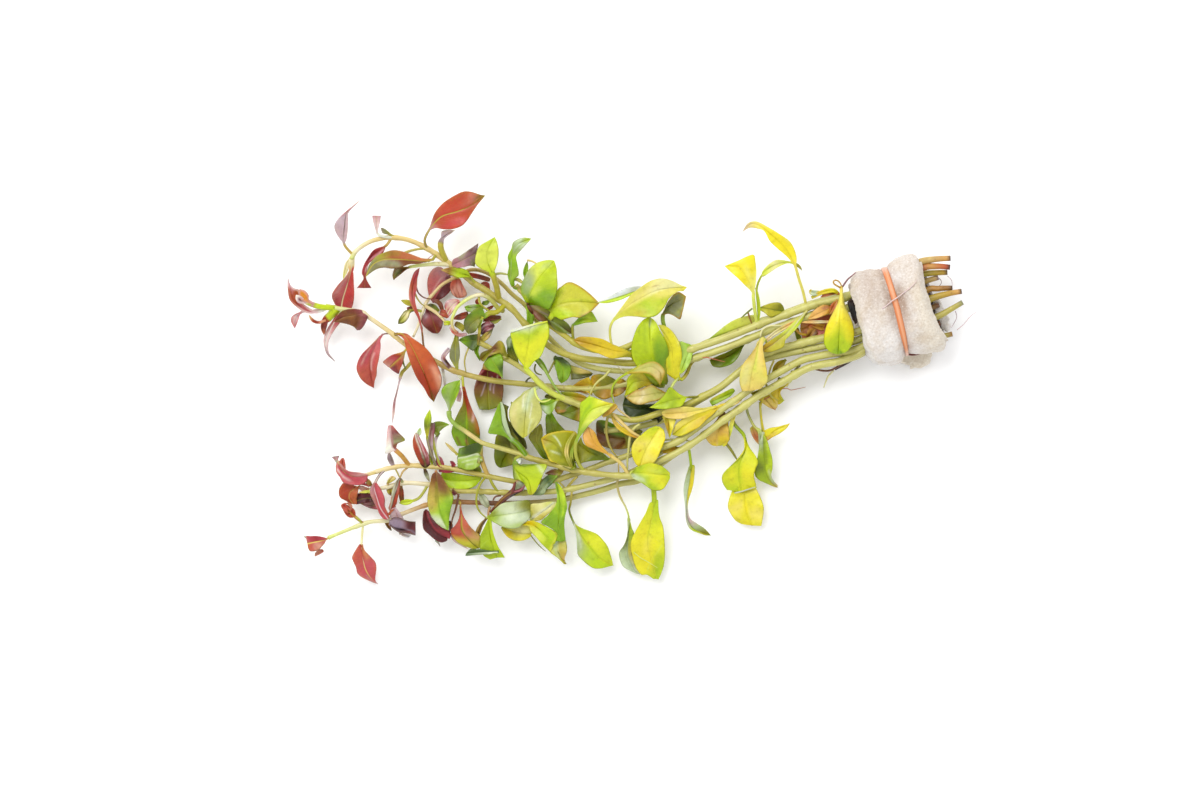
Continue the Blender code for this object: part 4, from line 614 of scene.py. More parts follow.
        (759.6, 279, 17), (766, 270.6, 18.4), (777, 264.6, 19), (789, 262.6, 19), (797, 264.4, 18.6),
        (801.6, 271, 17.6)], left=[(762, 271.6), (768, 264.8), (775, 260.4), (782, 260.4), (788, 261.6),
        (796, 263.2), (800.4, 267)], right=[(763, 277), (770, 272.6), (778, 267.4), (786, 264),
        (792, 264.6), (797, 267.6)],
        tone="limePale limePale paleCream limePale limePale oliveTan greyOlive", stalk=0.7,
        stalkTone="limeDeep", ribbing=0.45, veins=0.3),
    longYellowLeaf=dict(kind="own", start=0.34, rib=[(806, 306, 0), (802.6, 292, 17), (798.6, 280, 19),
        (793.6, 264, 21), (785, 249, 22), (772, 236, 23), (759, 226, 23), (750, 225, 22.6),
        (741.6, 233, 22)], left=[(787, 258), (777, 249.4), (769, 241.6), (763.6, 232), (757, 229.4),
        (749, 228.6)], right=[(796, 258), (793, 248), (788, 241), (778, 234), (768, 228), (756, 222),
        (747, 224)], tone="yellowSoft yellowBright yellowBright yellowBright yellowSoft paleTan greyPink",
        stalk=1, stalkTone="paleGold", ribTone="yellowSoft", ribbing=0.15, veins=0.2,
        marks=[(0.1, -0.85, 0.5, -0.8, 0.6, "yellowSoft", 0.8)]),
    dropLeaf=dict(kind="own free", start=0.1, rib=[(840.6, 287, 17), (840.8, 297, 19.4), (840, 306, 20),
        (838.6, 328, 20.8), (837.4, 354.6, 18.6)], left=[(843, 298), (844, 303), (846, 309.6), (849, 316),
        (852, 324), (853.6, 333), (852.8, 341), (850, 347.6), (845, 352.6)], right=[(838.4, 298),
        (837.2, 303), (833.6, 310), (829, 319), (825, 328), (823, 338), (824, 346), (829.6, 352.6)],
        tone="yellowSoft yellowSoft yellowSoft yellowBright limeDeep limeDeep", stalk=1.2,
        stalkTone="peachGold", ribbing=0, veins=0.15, lift=(-0.6, -0.6), bow=1.6,
        marks=[(0.93, 0.15, 0.95, 0.2, 0.6, "darkGreen", 0.8),
        (0.6, -0.9, 0.85, -0.8, 1.5, "limeDeep", 0.8), (0.3, -0.3, 0.32, -0.3, 0.3, "ochre", 0.5),
        (0.6, 0.85, 0.66, 0.9, 0.5, "ochre", 0.5), (0.12, 0.2, 0.2, 0.3, 0.3, "greyOlive", 0.6),
        (0.9, -0.2, 1, 0.4, 1.6, "greenDeepLime", 0.6), (0.4, 0.4, 0.6, 0.5, 1.2, "yellow", 0.5)]),
    foldedOliveLeaf=dict(kind="free", rib=[(785, 312, 14.4), (772, 309.6, 15.6), (759, 307.6, 16)],
        left=[(778, 314.6), (770, 317.4), (764, 313), (760, 310.4)], right=[(783, 306.6), (779.6, 303),
        (774, 302.6), (766, 304.6)], tone="greenOlive olive yellowOlive olive",
        leftTone="yellowOliveDeep yellowOlive yellowOliveDeep", ribTone="greenOlive", ribbing=0.6),
    thinGreenLeaf=dict(start=0.12, rib=[(840, 296, 0), (834, 291, 16.8), (822, 292.6, 17.2),
        (811, 298, 16.8)], wide=(2.3, 2.4), base=0.6, end=0.6, tone="golden yellow golden yellowOlive",
        ribbing=0.1),
    lightGreenLeaf=dict(kind="free wideBase", rib=[(691.6, 347, 13), (687, 356, 14), (680.2, 374.6, 13.6)],
        left=[(693, 352), (691.6, 358), (688.6, 366), (684.6, 371)], right=[(686, 343.4), (680, 341.6),
        (679, 352), (679, 364)], tone="lightGreen lightGreenPale lightGreenPale lime", ribbing=0.1,
        veins=0.3),
    oliveFlapLeaf=dict(start=0.15, rib=[(396, 239, 0), (388, 233.5, 13.6), (381, 228.5, 13.8)],
        left=[(389, 235), (383, 233.5)], right=[(388, 231), (383, 228)],
        tone="oliveTan greyOlive greyMauve", ribbing=0.45),
    creamFlapLeaf=dict(start=0.1, rib=[(353, 256, 0), (348, 262, 10), (345.5, 271, 9), (343, 279, 8.4)],
        wide=2.4, tone="cream cream paleLime", ribbing=0),
    brownRibbonLeaf=dict(kind="free", rib=[(490, 280, 8.6), (480, 277, 9.2), (472, 275.2, 9.4),
        (466, 273.5, 9.4)], wide=2.5, base=0.9, end=0.6, tone="brown redBrown rust brown", ribbing=0),
    oliveFoldLeaf=dict(kind="free", rib=[(483, 317, 12.9), (480, 324, 13), (479.4, 333, 12.4),
        (478, 345, 11.4)], wide=(1.7, 1.6), base=0.8, end=0.6,
        tone="yellowOlive green greenOlive oliveTan brown olive", ribbing=0.3),
    greenFlapLeaf=dict(kind="free wideBase", rib=[(484, 307, 12), (475, 308, 12.3), (464.5, 307, 12)],
        left=[(481, 310), (474, 312.5), (467.5, 311.5)], right=[(482, 305), (475.5, 304.3), (468, 305.4)],
        tone="greenOlive green greyGreen green vividGreen", ribbing=0.1, spots=0.5),
    rustBandLeaf=dict(kind="free wideBase wideTip", rib=[(468, 315, 9.4), (461, 316, 9.6), (454, 318, 9.6)],
        left=[(467, 317.5), (461, 320), (454, 319.6)], right=[(467.5, 311.3), (461, 313), (456, 315.5)],
        tone="brown rust redBrown rust", ribbing=0.1),
    rustBallLeaf=dict(kind="free", rib=[(449, 315.5, 10.5), (445, 313.8, 11), (440, 312.6, 10.6)],
        wide=(3.7, 3.9), base=0.95, end=0.9, tone="coral brick rust redBrown", ribbing=0.1,
        lift=(-0.4, -0.4)),
    greyWedgeLeaf=dict(kind="free", rib=[(501, 318.5, 8), (495, 321.5, 8.4), (488, 322, 8.4)],
        wide=(2.4, 1.6), tone="paleOlive paleOlive greyOlive", ribbing=0.1),
    smallBrownBudLeaf=dict(kind="free", rib=[(455, 323.5, 9.6), (460, 326, 10), (464.5, 330, 10)],
        wide=(3.2, 3), base=0.8, end=0.9, tone="brown olive oliveTan greenOlive", ribbing=0.1),
    greenNodeLeaf=dict(kind="free", rib=[(450, 324, 11), (448, 323, 11.4), (444, 323.5, 11.4)], wide=2.4,
        base=0.9, end=0.9, tone="yellowOlive lime yellowOlive", ribbing=0.1),
    darkSliverLeaf=dict(kind="free", rib=[(482.5, 303, 9), (486, 303, 9.3), (490, 300, 9)], wide=2.4,
        base=0.8, tone="darkGreen greenPale darkGreen", ribbing=0.1),
    rustSliverLeaf=dict(kind="free", rib=[(486, 309.5, 9), (490, 308, 9.3), (494, 305.5, 9)], wide=1.8,
        base=0.8, tone="redBrown rust", ribbing=0.1),
    rustSliverTwoLeaf=dict(kind="free", rib=[(479, 304, 9), (476.5, 302, 9.3), (478.5, 298, 9)], wide=1.6,
        base=0.8, tone="brickRed rust", ribbing=0.1),
    pinkScrapLeaf=dict(kind="free", rib=[(459.5, 388, 8.4), (459.8, 394, 8.6), (458.6, 401.5, 8.4)],
        wide=(2.2, 2.4), end=0.9, tone="palePink mauvePink palePink", ribbing=0.1),
    limeNeckLeaf=dict(kind="free", rib=[(757.6, 322, 14.6), (758.8, 312, 16), (758, 300, 17),
        (755.6, 288, 17.6)], wide=1.5, base=0.8, end=0.6, tone="limeDeep lime limeDeep limePale"),
    greyGreenBitLeaf=dict(kind="free", rib=[(809.4, 290.6, 16.6), (813.6, 292.6, 16.9), (820, 291.4, 17)],
        wide=(2, 3.6), base=0.6, tone="golden paleGreyGreen paleGreyGreen golden", ribbing=0.1),
    rustStripLeaf=dict(kind="free", rib=[(838.6, 293.6, 16), (830, 294, 16.4), (820, 297.6, 16.2)],
        wide=(1.8, 3.4), tone="rust ochreBrown rustPale rust", ribbing=0.1, spots=0.8),
),
"upperRed": dict(
    crimsonRoundLeaf=dict(kind="own", start=0.28, rib=[(462, 273, 0), (451, 274, 3.5), (443, 281, 3.7),
        (438, 291, 3.5), (433, 303, 3)], left=[(451, 279), (451, 285), (450, 291), (444, 297),
        (438, 300.5)], right=[(441, 267), (434, 268), (429, 274), (427, 283), (428, 293), (430, 299)],
        tone="mauvePink mauvePink rose rose crimson", leftTone="maroon", ribTone="rose", ribbing=0.3,
        marks=[(0.35, -0.4, 0.8, -0.8, 0.9, "rose", 0.5), (0.3, -0.2, 0.7, -0.3, 0.3, "palePink", 0.4),
        (0, -0.2, 0.2, -0.5, 1, "mauvePink", 0.7)]),
    # maroonLeaf: its pale mauve and mauve-pink marks are painted highlights.
    maroonLeaf=dict(kind="wideTip", start=0.02, rib=[(428, 306, 0), (430, 311, 6), (433, 321, 5.6),
        (437, 333.5, 4)], left=[(435, 313), (440.5, 317), (443, 321), (442, 327), (439.5, 332)],
        right=[(425, 312), (421, 318.5), (422, 324), (427, 329.5), (432, 333)],
        tone="rosewood maroon rosewood redBrown maroon", ribbing=0.15,
        marks=[(0.25, -0.6, 0.35, -0.5, 0.7, "paleMauve", 0.7), (0.6, 0.7, 0.7, 0.6, 0.7, "mauvePink", 0.7),
        (0.5, -0.3, 0.9, 0.2, 1.2, "brick", 0.35)]),
    stripedCoralLeaf=dict(kind="wideBase", start=0.1, rib=[(455, 278, 0), (457, 281, 7), (457, 288, 7.5),
        (460, 298, 8)], left=[(460, 278.5), (463, 285), (467, 293.5), (465, 297)], right=[(452.5, 279),
        (450, 286), (451.5, 293), (456, 297.5)], tone="brick coral rustPink rustPink brick",
        ribTone="redBrown", marks=[(0.2, 0.5, 0.9, 0.5, 0.22, "redBrown", 0.8),
        (0.2, -0.5, 0.9, -0.4, 0.22, "redBrown", 0.7), (0.4, -0.8, 0.8, -0.7, 0.3, "palePink", 0.6)]),
    oliveBudLeaf=dict(start=0.12, rib=[(416, 309, 0), (410.5, 309.5, 8.4), (405.5, 314.5, 8.6),
        (398, 324, 8.2)], left=[(411, 312.5), (408.8, 317.5), (406, 321.5), (402, 323.8)],
        right=[(406, 310.5), (402, 314.2), (398.6, 319.5)],
        tone="oliveTan paleOlive cream paleOlive greyOlive", edge="darkOlive"),
    brownCurlLeaf=dict(kind="free", rib=[(433, 300, 4), (438, 302, 6), (441, 306, 7), (442.5, 312, 7)],
        wide=2.3, base=0.9, end=0.7, tone="rosewood brown redBrown brown", ribbing=0.1),
    oliveBitLeaf=dict(kind="free", rib=[(427.5, 306, 3), (433, 307, 5.4), (438, 312, 6)], wide=3, base=0.8,
        end=0.8, tone="olive darkOlive greenOlive olive", ribbing=0.1),
    oliveBitTwoLeaf=dict(kind="free", rib=[(413.5, 304, 8), (408.5, 302.8, 9), (401, 300.2, 9)],
        wide=(3, 2.7), base=0.8, tone="olive oliveTan yellowOlive olive"),
    brownBitTwoLeaf=dict(kind="free", rib=[(414.5, 307, 7.4), (411.5, 308.5, 7.8), (407, 309.5, 7.8)],
        wide=2.6, base=0.8, end=0.8, tone="rosewood brown rosewood", ribbing=0.1),
),
"upperGreen": dict(
    paleYellowLeaf=dict(kind="own", start=0.36, rib=[(617, 357, 0), (611.4, 344, 17), (610.6, 326, 19),
        (622, 311, 20.4), (640, 299, 22), (660, 290, 23), (686.8, 287.4, 22)], left=[(616, 315), (624, 304),
        (631, 295), (638, 289.4), (648, 282.4), (656, 279.4), (664, 279), (673, 281.6), (681, 285.6)],
        right=[(619, 318.6), (627, 316.6), (637, 317), (646, 318), (656, 316), (664, 308), (669, 299),
        (677, 292.4), (683, 291.4)], tone="paleLime paleGold paleGold paleGold paleCream paleCream yellow",
        rightTone="paleLime yellowOlivePale yellowOlivePale limeDeep paleGold paleGold yellow", stalk=0.85,
        stalkTone="stemPale", ribTone="paleGold", ribbing=0.3, veins=0.25,
        marks=[(0.5, 0.35, 0.56, 0.3, 0.3, "brown", 0.8), (0.3, 0.2, 0.6, 0.4, 1.6, "peachPale", 0.5),
        (0.5, -0.6, 0.62, -0.75, 1.6, "limeDeep", 0.8), (0.2, -0.5, 0.3, -0.6, 0.9, "ochre", 0.3),
        (0.7, 0.3, 0.85, 0.2, 2, "paleCream", 0.6), (0.55, 0.9, 0.8, 0.95, 0.7, "yellow", 0.5)]),
    hiddenGreenLeaf=dict(kind="free wideBase", rib=[(762, 321, 12.6), (745, 326, 12.8), (726, 333, 12.6),
        (706, 341, 12)], left=[(750, 331), (735, 337), (718, 341)], right=[(752, 315), (742, 317),
        (733, 320.6), (725, 325.6), (716, 333)], tone="limePale stemPale glossOlive greenPale",
        leftTone="stemPale stemPale glossOlive", rightTone="stemPale limePale greenPale",
        ribTone="greenPale", ribbing=0.3),
    curledGreenLeaf=dict(kind="own", start=0.12, rib=[(521, 290, 0), (514, 287.8, 15), (510.5, 283, 16.4),
        (511.5, 272, 17), (512, 260, 18), (513, 251, 19), (519, 244, 20), (531.5, 239, 19)],
        left=[(508, 277), (509, 266), (508, 257), (511.5, 249), (514, 242), (523, 238)], right=[(515, 279),
        (519, 275), (517.5, 264), (516.5, 257), (521, 251), (527, 244.5)],
        tone="green green greenPale green lightGreen greyGreen paleGreyGreen yellowGreen", stalk=0.8,
        stalkTone="lightGreen", ribTone="green", ribbing=0.3,
        marks=[(0.1, 0.1, 0.45, 0.1, 0.3, "paleGreyGreen", 0.6),
        (0.62, -0.3, 0.85, -0.3, 0.25, "green", 0.5), (0.66, 0.2, 0.9, 0.3, 0.25, "green", 0.4),
        (0.88, 0, 1, 0, 1.2, "yellowGreen", 0.7)]),
    narrowGreenLeaf=dict(start=0.4, rib=[(527, 298, 0), (526, 283, 15.2), (525.5, 273, 15.6),
        (527.5, 261.5, 16)], wide=(2.4, 2.6), tone="greenPale green green darkGreen",
        stalkTone="greenPale"),
    largeLimeLeaf=dict(kind="own wideBase", start=0.06, rib=[(529, 303, 0), (530, 297, 18.5),
        (535, 286, 20), (543, 274, 21), (554.5, 261.2, 22)], left=[(525, 301.5), (521.3, 293), (521.6, 285),
        (525, 277), (530, 268.8), (537, 263.4), (545, 260.8), (551, 260.4)], right=[(537, 304), (548, 310),
        (552.5, 304), (556, 296), (557.7, 287), (557.2, 276), (556.6, 268)],
        tone="greenDeepLime greenDeepLime limeDeep lime lime limeDeep",
        leftTone="lime greenDeepLime greyGreen limePale lime limeDeep",
        rightTone="greenDeepLime greenDeepLime greenDeepLime limeDeep lime limeDeep", ribTone="lime",
        ribbing=0.15, veins=0.35, marks=[(0.1, -0.35, 0.3, -0.5, 2, "greenDeepLime", 0.7),
        (0.2, 0.3, 0.4, 0.35, 1.6, "greyGreen", 0.6), (0.3, -0.1, 0.4, -0.2, 1.4, "limePale", 0.6),
        (0.7, 0.3, 0.85, 0.1, 1.4, "paleGreyGreen", 0.4), (0, -0.8, 0.2, -0.9, 1.2, "greenDeepLime", 0.6),
        (0.1, 0.2, 0.12, 0.2, 0.5, "lime", 0.7), (0.55, -0.3, 0.7, -0.5, 1.8, "limeDeep", 0.5)]),
    roundLimeLeaf=dict(kind="own wideBase", start=0.12, rib=[(553, 322, 0), (552, 310, 17), (562, 304, 18),
        (580, 302, 18.6), (599.4, 303.6, 18)], left=[(553.5, 300), (557.4, 290), (561, 287.2), (566, 283.4),
        (571, 282.5), (578, 285.4), (585, 290), (591, 295), (595.6, 299.4)], right=[(555, 315), (561, 320),
        (567, 318.8), (573, 317.4), (580, 318), (586, 315), (592, 311), (596, 307)],
        tone="limeDeep lime yellowOlivePale yellowOlivePale yellowOlivePale ochre", edge="ochre",
        ribTone="yellowOlivePale", ribbing=0.25, veins=0.3,
        marks=[(0.1, -0.3, 0.3, -0.6, 2.2, "limeVivid", 0.7),
        (0.55, -0.7, 0.8, -0.8, 1.2, "peachPale", 0.5), (0.3, 0.1, 0.9, 0.05, 0.8, "limeDeep", 0.35),
        (0.5, -0.8, 0.55, -0.9, 0.9, "greyOlive", 0.5)]),
    whiteEdgeLeaf=dict(kind="free", rib=[(651, 288, 20), (636, 291.5, 20), (620, 297, 19.6),
        (608, 300.4, 19), (596.6, 302.8, 18.6)], left=[(640, 291), (630, 296), (619, 300.8), (607, 303.4)],
        right=[(640, 286.4), (630, 287.2), (620, 291), (610, 296.2)],
        tone="limeVivid lime limeVivid yellowGreen", leftTone="lime limeVivid lime",
        rightTone="white palestGrey palestGrey white", ribbing=0, veins=0.1),
    dullGreenLeaf=dict(start=0.42, rib=[(574, 342, 0), (572.6, 331, 14.6), (574, 324, 15),
        (585, 318.6, 15.6), (597.8, 321.8, 15)], left=[(578, 318.4), (586, 314.4), (591.4, 311.4)],
        right=[(577, 325.4), (584, 323.4), (591, 322.6)], tone="greenDeepLime green limeDeep green",
        stalkTone="olive", ribbing=0.3),
    brownGreenLeaf=dict(kind="free wideBase", rib=[(527, 303, 15), (532, 308, 15.4), (545, 316, 15.4),
        (558, 325, 15), (572.4, 334.6, 13.4)], left=[(536, 303.6), (545, 308.4), (553, 314), (562, 319),
        (569, 325), (572, 330)], right=[(533, 314), (538, 320.6), (548, 322.6), (555, 330), (564, 333)],
        tone="brown brown olive greenOlive greyGreen brown",
        leftTone="brown olive darkOlive greenOlive darkOlive brown",
        rightTone="brown brown darkOlive greenOlive greyGreen", ribTone="olive",
        marks=[(0.4, 0, 0.75, -0.1, 0.7, "greyGreen", 0.8), (0.1, 0.3, 0.3, 0.3, 1.2, "greyPink", 0.3)]),
    greenLeftLeaf=dict(kind="free", rib=[(527.5, 304, 10), (530, 314, 10.6), (529, 326, 10)],
        wide=(4.4, 3.4), base=0.7, end=0.7, tone="green lightGreen vividGreen green", ribbing=0.1),
),
"middleRed": dict(
    orangeTipLeaf=dict(start=0.42, rib=[(334, 308, 0), (322, 307, 12), (312, 304, 12.6), (305, 297, 13),
        (300, 289, 13)], left=[(306, 303), (300.5, 299), (298.5, 293)], right=[(309.5, 300), (309, 295),
        (305, 290.5)], tone="brown salmon orange orange salmon", edge="pink", stalk=2, stalkTone="lime",
        ribbing=0.1),
    crimsonTipLeaf=dict(start=0.18, rib=[(330, 307, 0), (320, 311.5, 10.2), (309, 311.5, 10),
        (300, 306, 10.4), (294, 299, 10.8), (291.5, 290, 11.4), (288, 276, 12)], left=[(312, 313.7),
        (304, 312), (296, 306.5), (290, 300), (288.2, 292), (287.6, 284)], right=[(312, 309.5), (304, 304),
        (299.5, 298), (299.5, 290), (294, 288), (289.5, 283)],
        tone="palePink rose rose brick brick pink palePink", edge="palePink", stalkTone="white", ribbing=0,
        marks=[(0.45, 0.35, 0.7, 0.3, 1.1, "brick", 0.85), (0.1, 0.5, 0.3, 0.5, 0.5, "red", 0.8)]),
    mauveTipLeaf=dict(start=0.5, rib=[(327, 306, 0), (314, 311, 8.8), (303, 311.5, 8.4), (297, 317, 7.5),
        (294.5, 328.5, 6)], left=[(300, 315), (298, 321), (296, 326)], right=[(296, 313.5), (291.5, 317),
        (291, 322)], tone="paleMauve palePink rose", edge="rose", stalkTone="palePink", ribTone="palePink",
        ribbing=0.6),
    pinkTailLeaf=dict(kind="own", start=0.1, rib=[(342, 309, 0), (337.5, 317, 9), (332, 326, 7.6),
        (327, 337, 6.2), (325.5, 346, 5.2), (328, 353, 4), (335, 362, 2.5)], left=[(341, 321), (336, 328),
        (331, 336), (328, 344), (328.5, 352), (331.5, 358)], right=[(333, 320), (326.5, 330), (323.5, 339),
        (324, 347), (327, 355)], tone="brick rose palePink palePink greyPink mauve", stalk=2,
        stalkTone="lime", ribTone="white", ribbing=0.7,
        marks=[(0.1, -0.4, 0.45, -0.5, 0.35, "redBrown", 0.7), (0.1, 0.5, 0.4, 0.5, 0.35, "crimson", 0.5)]),
    maroonCapLeaf=dict(kind="wideBase", start=0.05, rib=[(362, 313, 0), (356, 315, 12), (350, 316, 12),
        (343, 317.5, 12), (334, 322, 11)], left=[(357, 330.5), (354, 327), (348, 324.5), (341, 323),
        (337, 322.5)], right=[(361, 309.8), (355, 309), (347, 309.5), (341, 312), (337, 317)],
        tone="rosewood redBrown brown redBrown brickRed", leftTone="brown", ribbing=0.05, lift=(-1.5, 1),
        marks=[(0.1, 1, 0.9, 1, 0.8, "paleMauve", 0.85), (0, -0.8, 0.2, -0.8, 0.8, "rosewood", 0.8),
        (0.3, 0, 0.6, 0.1, 1, "ochreBrown", 0.5)]),
    coralLeaf=dict(kind="own", start=0.22, rib=[(392, 335.6, 0), (386, 333.6, 7.4), (379.4, 337, 8.4),
        (374, 348, 8.4), (370, 360, 7.6), (370.6, 374, 6), (373.6, 388, 3)], left=[(380.6, 340),
        (380.8, 346), (380, 353), (378.8, 360), (377, 368), (376.6, 375), (374.6, 381)], right=[(375, 341),
        (369, 347), (362, 354), (358, 361), (356.4, 368), (358, 374), (361.6, 380), (367, 384.6)],
        tone="pinkish redPink rose coral coral coral rust",
        leftTone="redPink redPink rose coral coral coral rust",
        rightTone="pinkish rustPink redPink redPink coral coral rust", stalk=0.45,
        stalkTone="silver greyOlive darkMauve", ribTone="mauvePink greyPink coral coral", ribbing=0.5,
        marks=[(0.1, 0.3, 0.5, 0.3, 0.6, "redPink", 0.6), (0.15, -0.4, 0.4, -0.6, 0.6, "pinkish", 0.6),
        (0.3, 0.15, 0.6, 0.1, 0.4, "pinkWhite", 0.4), (0.1, -0.1, 0.5, -0.3, 0.5, "redPink", 0.5),
        (0.6, -0.4, 0.9, -0.3, 1.6, "coral", 0.5)]),
    smallFanLeaf=dict(kind="wideTip", rib=[(407, 347, 0), (405, 351, 8), (401.6, 356, 8.6), (395, 362, 8),
        (389.6, 367.6, 6.6)], left=[(404, 359), (402.6, 364), (400, 370), (398.6, 374), (394, 371.6)],
        right=[(400, 352.6), (396, 353.6), (391, 355.4), (386, 359), (382.8, 362.2), (386, 365)],
        tone="limePale oliveTan tanBrown rust brick brickRed rustPink",
        leftTone="oliveTan tanBrown rust brick maroon rosewood",
        rightTone="tanBrown orangeTan rust redPink rustPink pinkish", stalk=0.8,
        stalkTone="limePale limePale", ribTone="oliveTan tan", ribbing=0.7,
        marks=[(0.3, 0.5, 0.8, 0.5, 0.5, "brickRed", 0.6), (0.3, 0.1, 0.8, 0.1, 0.3, "oliveTan", 0.5)]),
    # bigRustLeaf: its pale salmon and white marks are painted sheen.
    bigRustLeaf=dict(kind="own", start=0.06, rib=[(396, 333, 0), (403, 334.5, 12), (412, 347, 13),
        (421, 366, 12.6), (428, 383, 11), (434, 402, 9)], left=[(406, 333.5), (414, 339), (424, 346),
        (432, 355), (438.5, 367), (442, 378), (441, 387), (437, 395)], right=[(403.5, 339), (407, 352),
        (411, 364), (417, 378), (424, 388), (429, 397)], tone="brown orangeRust orangeRust rust rust brown",
        ribTone="oliveTan", ribbing=0.7, veins=0.3, marks=[(0.55, 0.7, 0.85, 0.75, 1.4, "salmonPale", 0.7),
        (0.2, 0.25, 0.75, 0.3, 1.6, "orangeBright", 0.35), (0.9, 0, 1, 0, 1.5, "brown", 0.6),
        (0.3, -0.6, 0.7, -0.6, 1.2, "redBrown", 0.25), (0.62, 0.9, 0.8, 0.95, 0.5, "white", 0.3)]),
    palePinkStalk=dict(start=0.36, rib=[(415, 358, 0), (408, 366, 6), (402, 372.5, 5.8), (399.5, 380, 5.5),
        (397, 390, 5.2), (394.5, 402, 5), (393.6, 413, 5), (391.8, 425, 5)], left=[(397.4, 393),
        (395.6, 402), (394.8, 412)], right=[(396, 393), (393, 402), (392, 412)],
        tone="greyPink greyPink palePink mauvePink palePink paleMauve", stalk=1.25, stalkTone="oliveTan",
        ribbing=0.1),
    coralStripLeaf=dict(start=0.34, rib=[(426.5, 356, 0), (423.5, 345, 8.6), (422.5, 335, 9.2),
        (421, 325, 9.6), (416, 309, 10.5), (412.5, 296, 11), (414, 283, 11.4), (419.5, 268, 11.6)],
        left=[(417.5, 317), (413, 309), (409.6, 300), (409, 291), (411, 281), (414.5, 272)],
        right=[(420, 317), (416.8, 308), (415, 298), (417, 289), (417.6, 279), (419.5, 271)],
        tone="rose coral coral rose brick crimson rosewood", stalk=0.62, stalkTone="redBrown",
        marks=[(0.45, -0.5, 1, -0.6, 0.45, "crimson", 0.8), (0.5, 0.1, 0.85, 0.1, 0.15, "redBrown", 0.6),
        (0.15, 0.6, 0.6, 0.5, 0.3, "salmon", 0.5)]),
    uprightOliveLeaf=dict(kind="wideTip", start=0.03, rib=[(459, 373, 0), (457.5, 369, 8),
        (455.5, 357, 9.5), (455.5, 346, 10.3), (457, 334, 10.5)], left=[(453, 364), (449.6, 357),
        (450.5, 348.5), (453.5, 340), (455, 334)], right=[(458.4, 364), (460, 355.5), (459.6, 346),
        (458.8, 340), (459, 335)], tone="paleOlive paleOlive greyOlive greyOlive olive olive",
        ribTone="paleOlive", ribbing=0.7),
    mauveStripLeaf=dict(start=0.04, rib=[(452, 369.5, 0), (446.5, 363.5, 9), (443.2, 357, 9.4),
        (449.5, 348.5, 9.6)], wide=(2.2, 2.4), base=0.8, end=0.9,
        tone="paleMauve maroon darkMaroon rosewood greyPink paleMauve",
        marks=[(0.3, 0.7, 0.9, 0.7, 0.4, "paleMauve", 0.8)]),
    rustOliveLeaf=dict(kind="own wideTip", start=0.22, rib=[(463, 375, 0), (463, 384, 8), (464.5, 395, 8.2),
        (466, 407, 8.2), (466.5, 420, 8), (467, 432, 7.4), (468, 446, 6.5)], left=[(465, 387), (468, 398),
        (472, 409), (477, 420), (479.7, 430), (480, 438), (479, 446)], right=[(462, 386), (463, 396),
        (462.4, 404), (459.5, 410), (455, 419.5), (451.6, 430), (452.6, 437), (457, 446)],
        tone="yellowOlive yellowGreen greenOlive green greenOlive darkGreen",
        leftTone="rust rust rust olive greenOlive green",
        rightTone="rust rust olive greenOlive green green", stalk=0.9, stalkTone="yellowOlive",
        ribTone="yellowGreen", ribbing=0.45, marks=[(0.86, -0.7, 0.98, -0.5, 0.5, "brown", 0.7),
        (0.9, -0.1, 0.98, 0, 0.5, "rustPink", 0.7), (0.45, 0.5, 0.55, 0.4, 0.5, "palePink", 0.7),
        (0.2, 0.6, 0.7, 0.8, 1.4, "rust", 0.7), (0.15, -0.6, 0.42, -0.8, 1.4, "rust", 0.7),
        (0.3, 0.25, 0.5, 0.3, 0.4, "brown", 0.5)]),
    curledCupLeaf=dict(kind="free wideBase", start=0.03, rib=[(554, 357, 9), (559, 361, 9), (563, 369, 9),
        (563, 377, 9), (561.6, 383.4, 8.6)], left=[(563, 357.8), (570, 364), (571, 371), (568, 379)],
        right=[(553.6, 363), (556.4, 372), (558.4, 380)], tone="darkGreen darkGreen green vividGreen green",
        rightTone="green green vividGreen green", ribbing=0.3,
        marks=[(0.4, 0, 0.7, 0.1, 0.6, "lightGreen", 0.5)]),
    ochreLeaf=dict(kind="free wideBase", rib=[(613.6, 386, 7.6), (606, 387, 8), (598, 388, 8),
        (590.6, 384, 7.6)], left=[(612, 397), (604, 399.4), (596.4, 396.6), (592, 391)], right=[(616, 380),
        (610, 376.6), (601, 374), (592, 376)], tone="greenOlive olive olive ochre golden",
        leftTone="ochre ochre olive greenOlive", ribTone="yellowOlive", ribbing=0.3),
    softYellowLeaf=dict(kind="own", start=0.42, rib=[(698, 357, 0), (690.6, 364, 10), (687, 373, 11),
        (681.4, 379.4, 12), (674, 378, 13.4), (673, 362, 15.4), (671, 345, 16.4), (658, 325, 17.6)],
        left=[(667, 374), (666, 362), (667, 349), (664, 338)], right=[(679.6, 374), (681.8, 360),
        (681.4, 350), (678, 340), (672, 331), (664, 325.4)],
        tone="limeDeep yellow yellow yellow yellow paleYellow", stalk=1.3, stalkTone="oliveTan",
        ribTone="yellow", ribbing=0.15, veins=0.2, marks=[(0.3, -0.85, 0.8, -0.8, 0.5, "paleYellow", 0.8),
        (0.1, 0.3, 0.5, 0.5, 1, "limeDeep", 0.6)]),
    roundGreenLeaf=dict(kind="own wideBase", start=0.16, rib=[(666, 373, 0), (665, 384, 12), (659, 376, 15),
        (653, 360, 18), (650, 341, 20), (649.6, 317, 19)], left=[(650, 381), (641, 371), (634, 362),
        (631.2, 353), (631.6, 344), (634, 335), (638, 326), (643.6, 319.6)], right=[(668, 381), (667, 370),
        (668.6, 358), (668, 349), (665, 340), (660, 331), (655.6, 322)],
        tone="greenOlive greenDeepLime greenDeepLime lime lime paleLime",
        leftTone="greenOlive lime limeDeep limeDeep limeDeep lime",
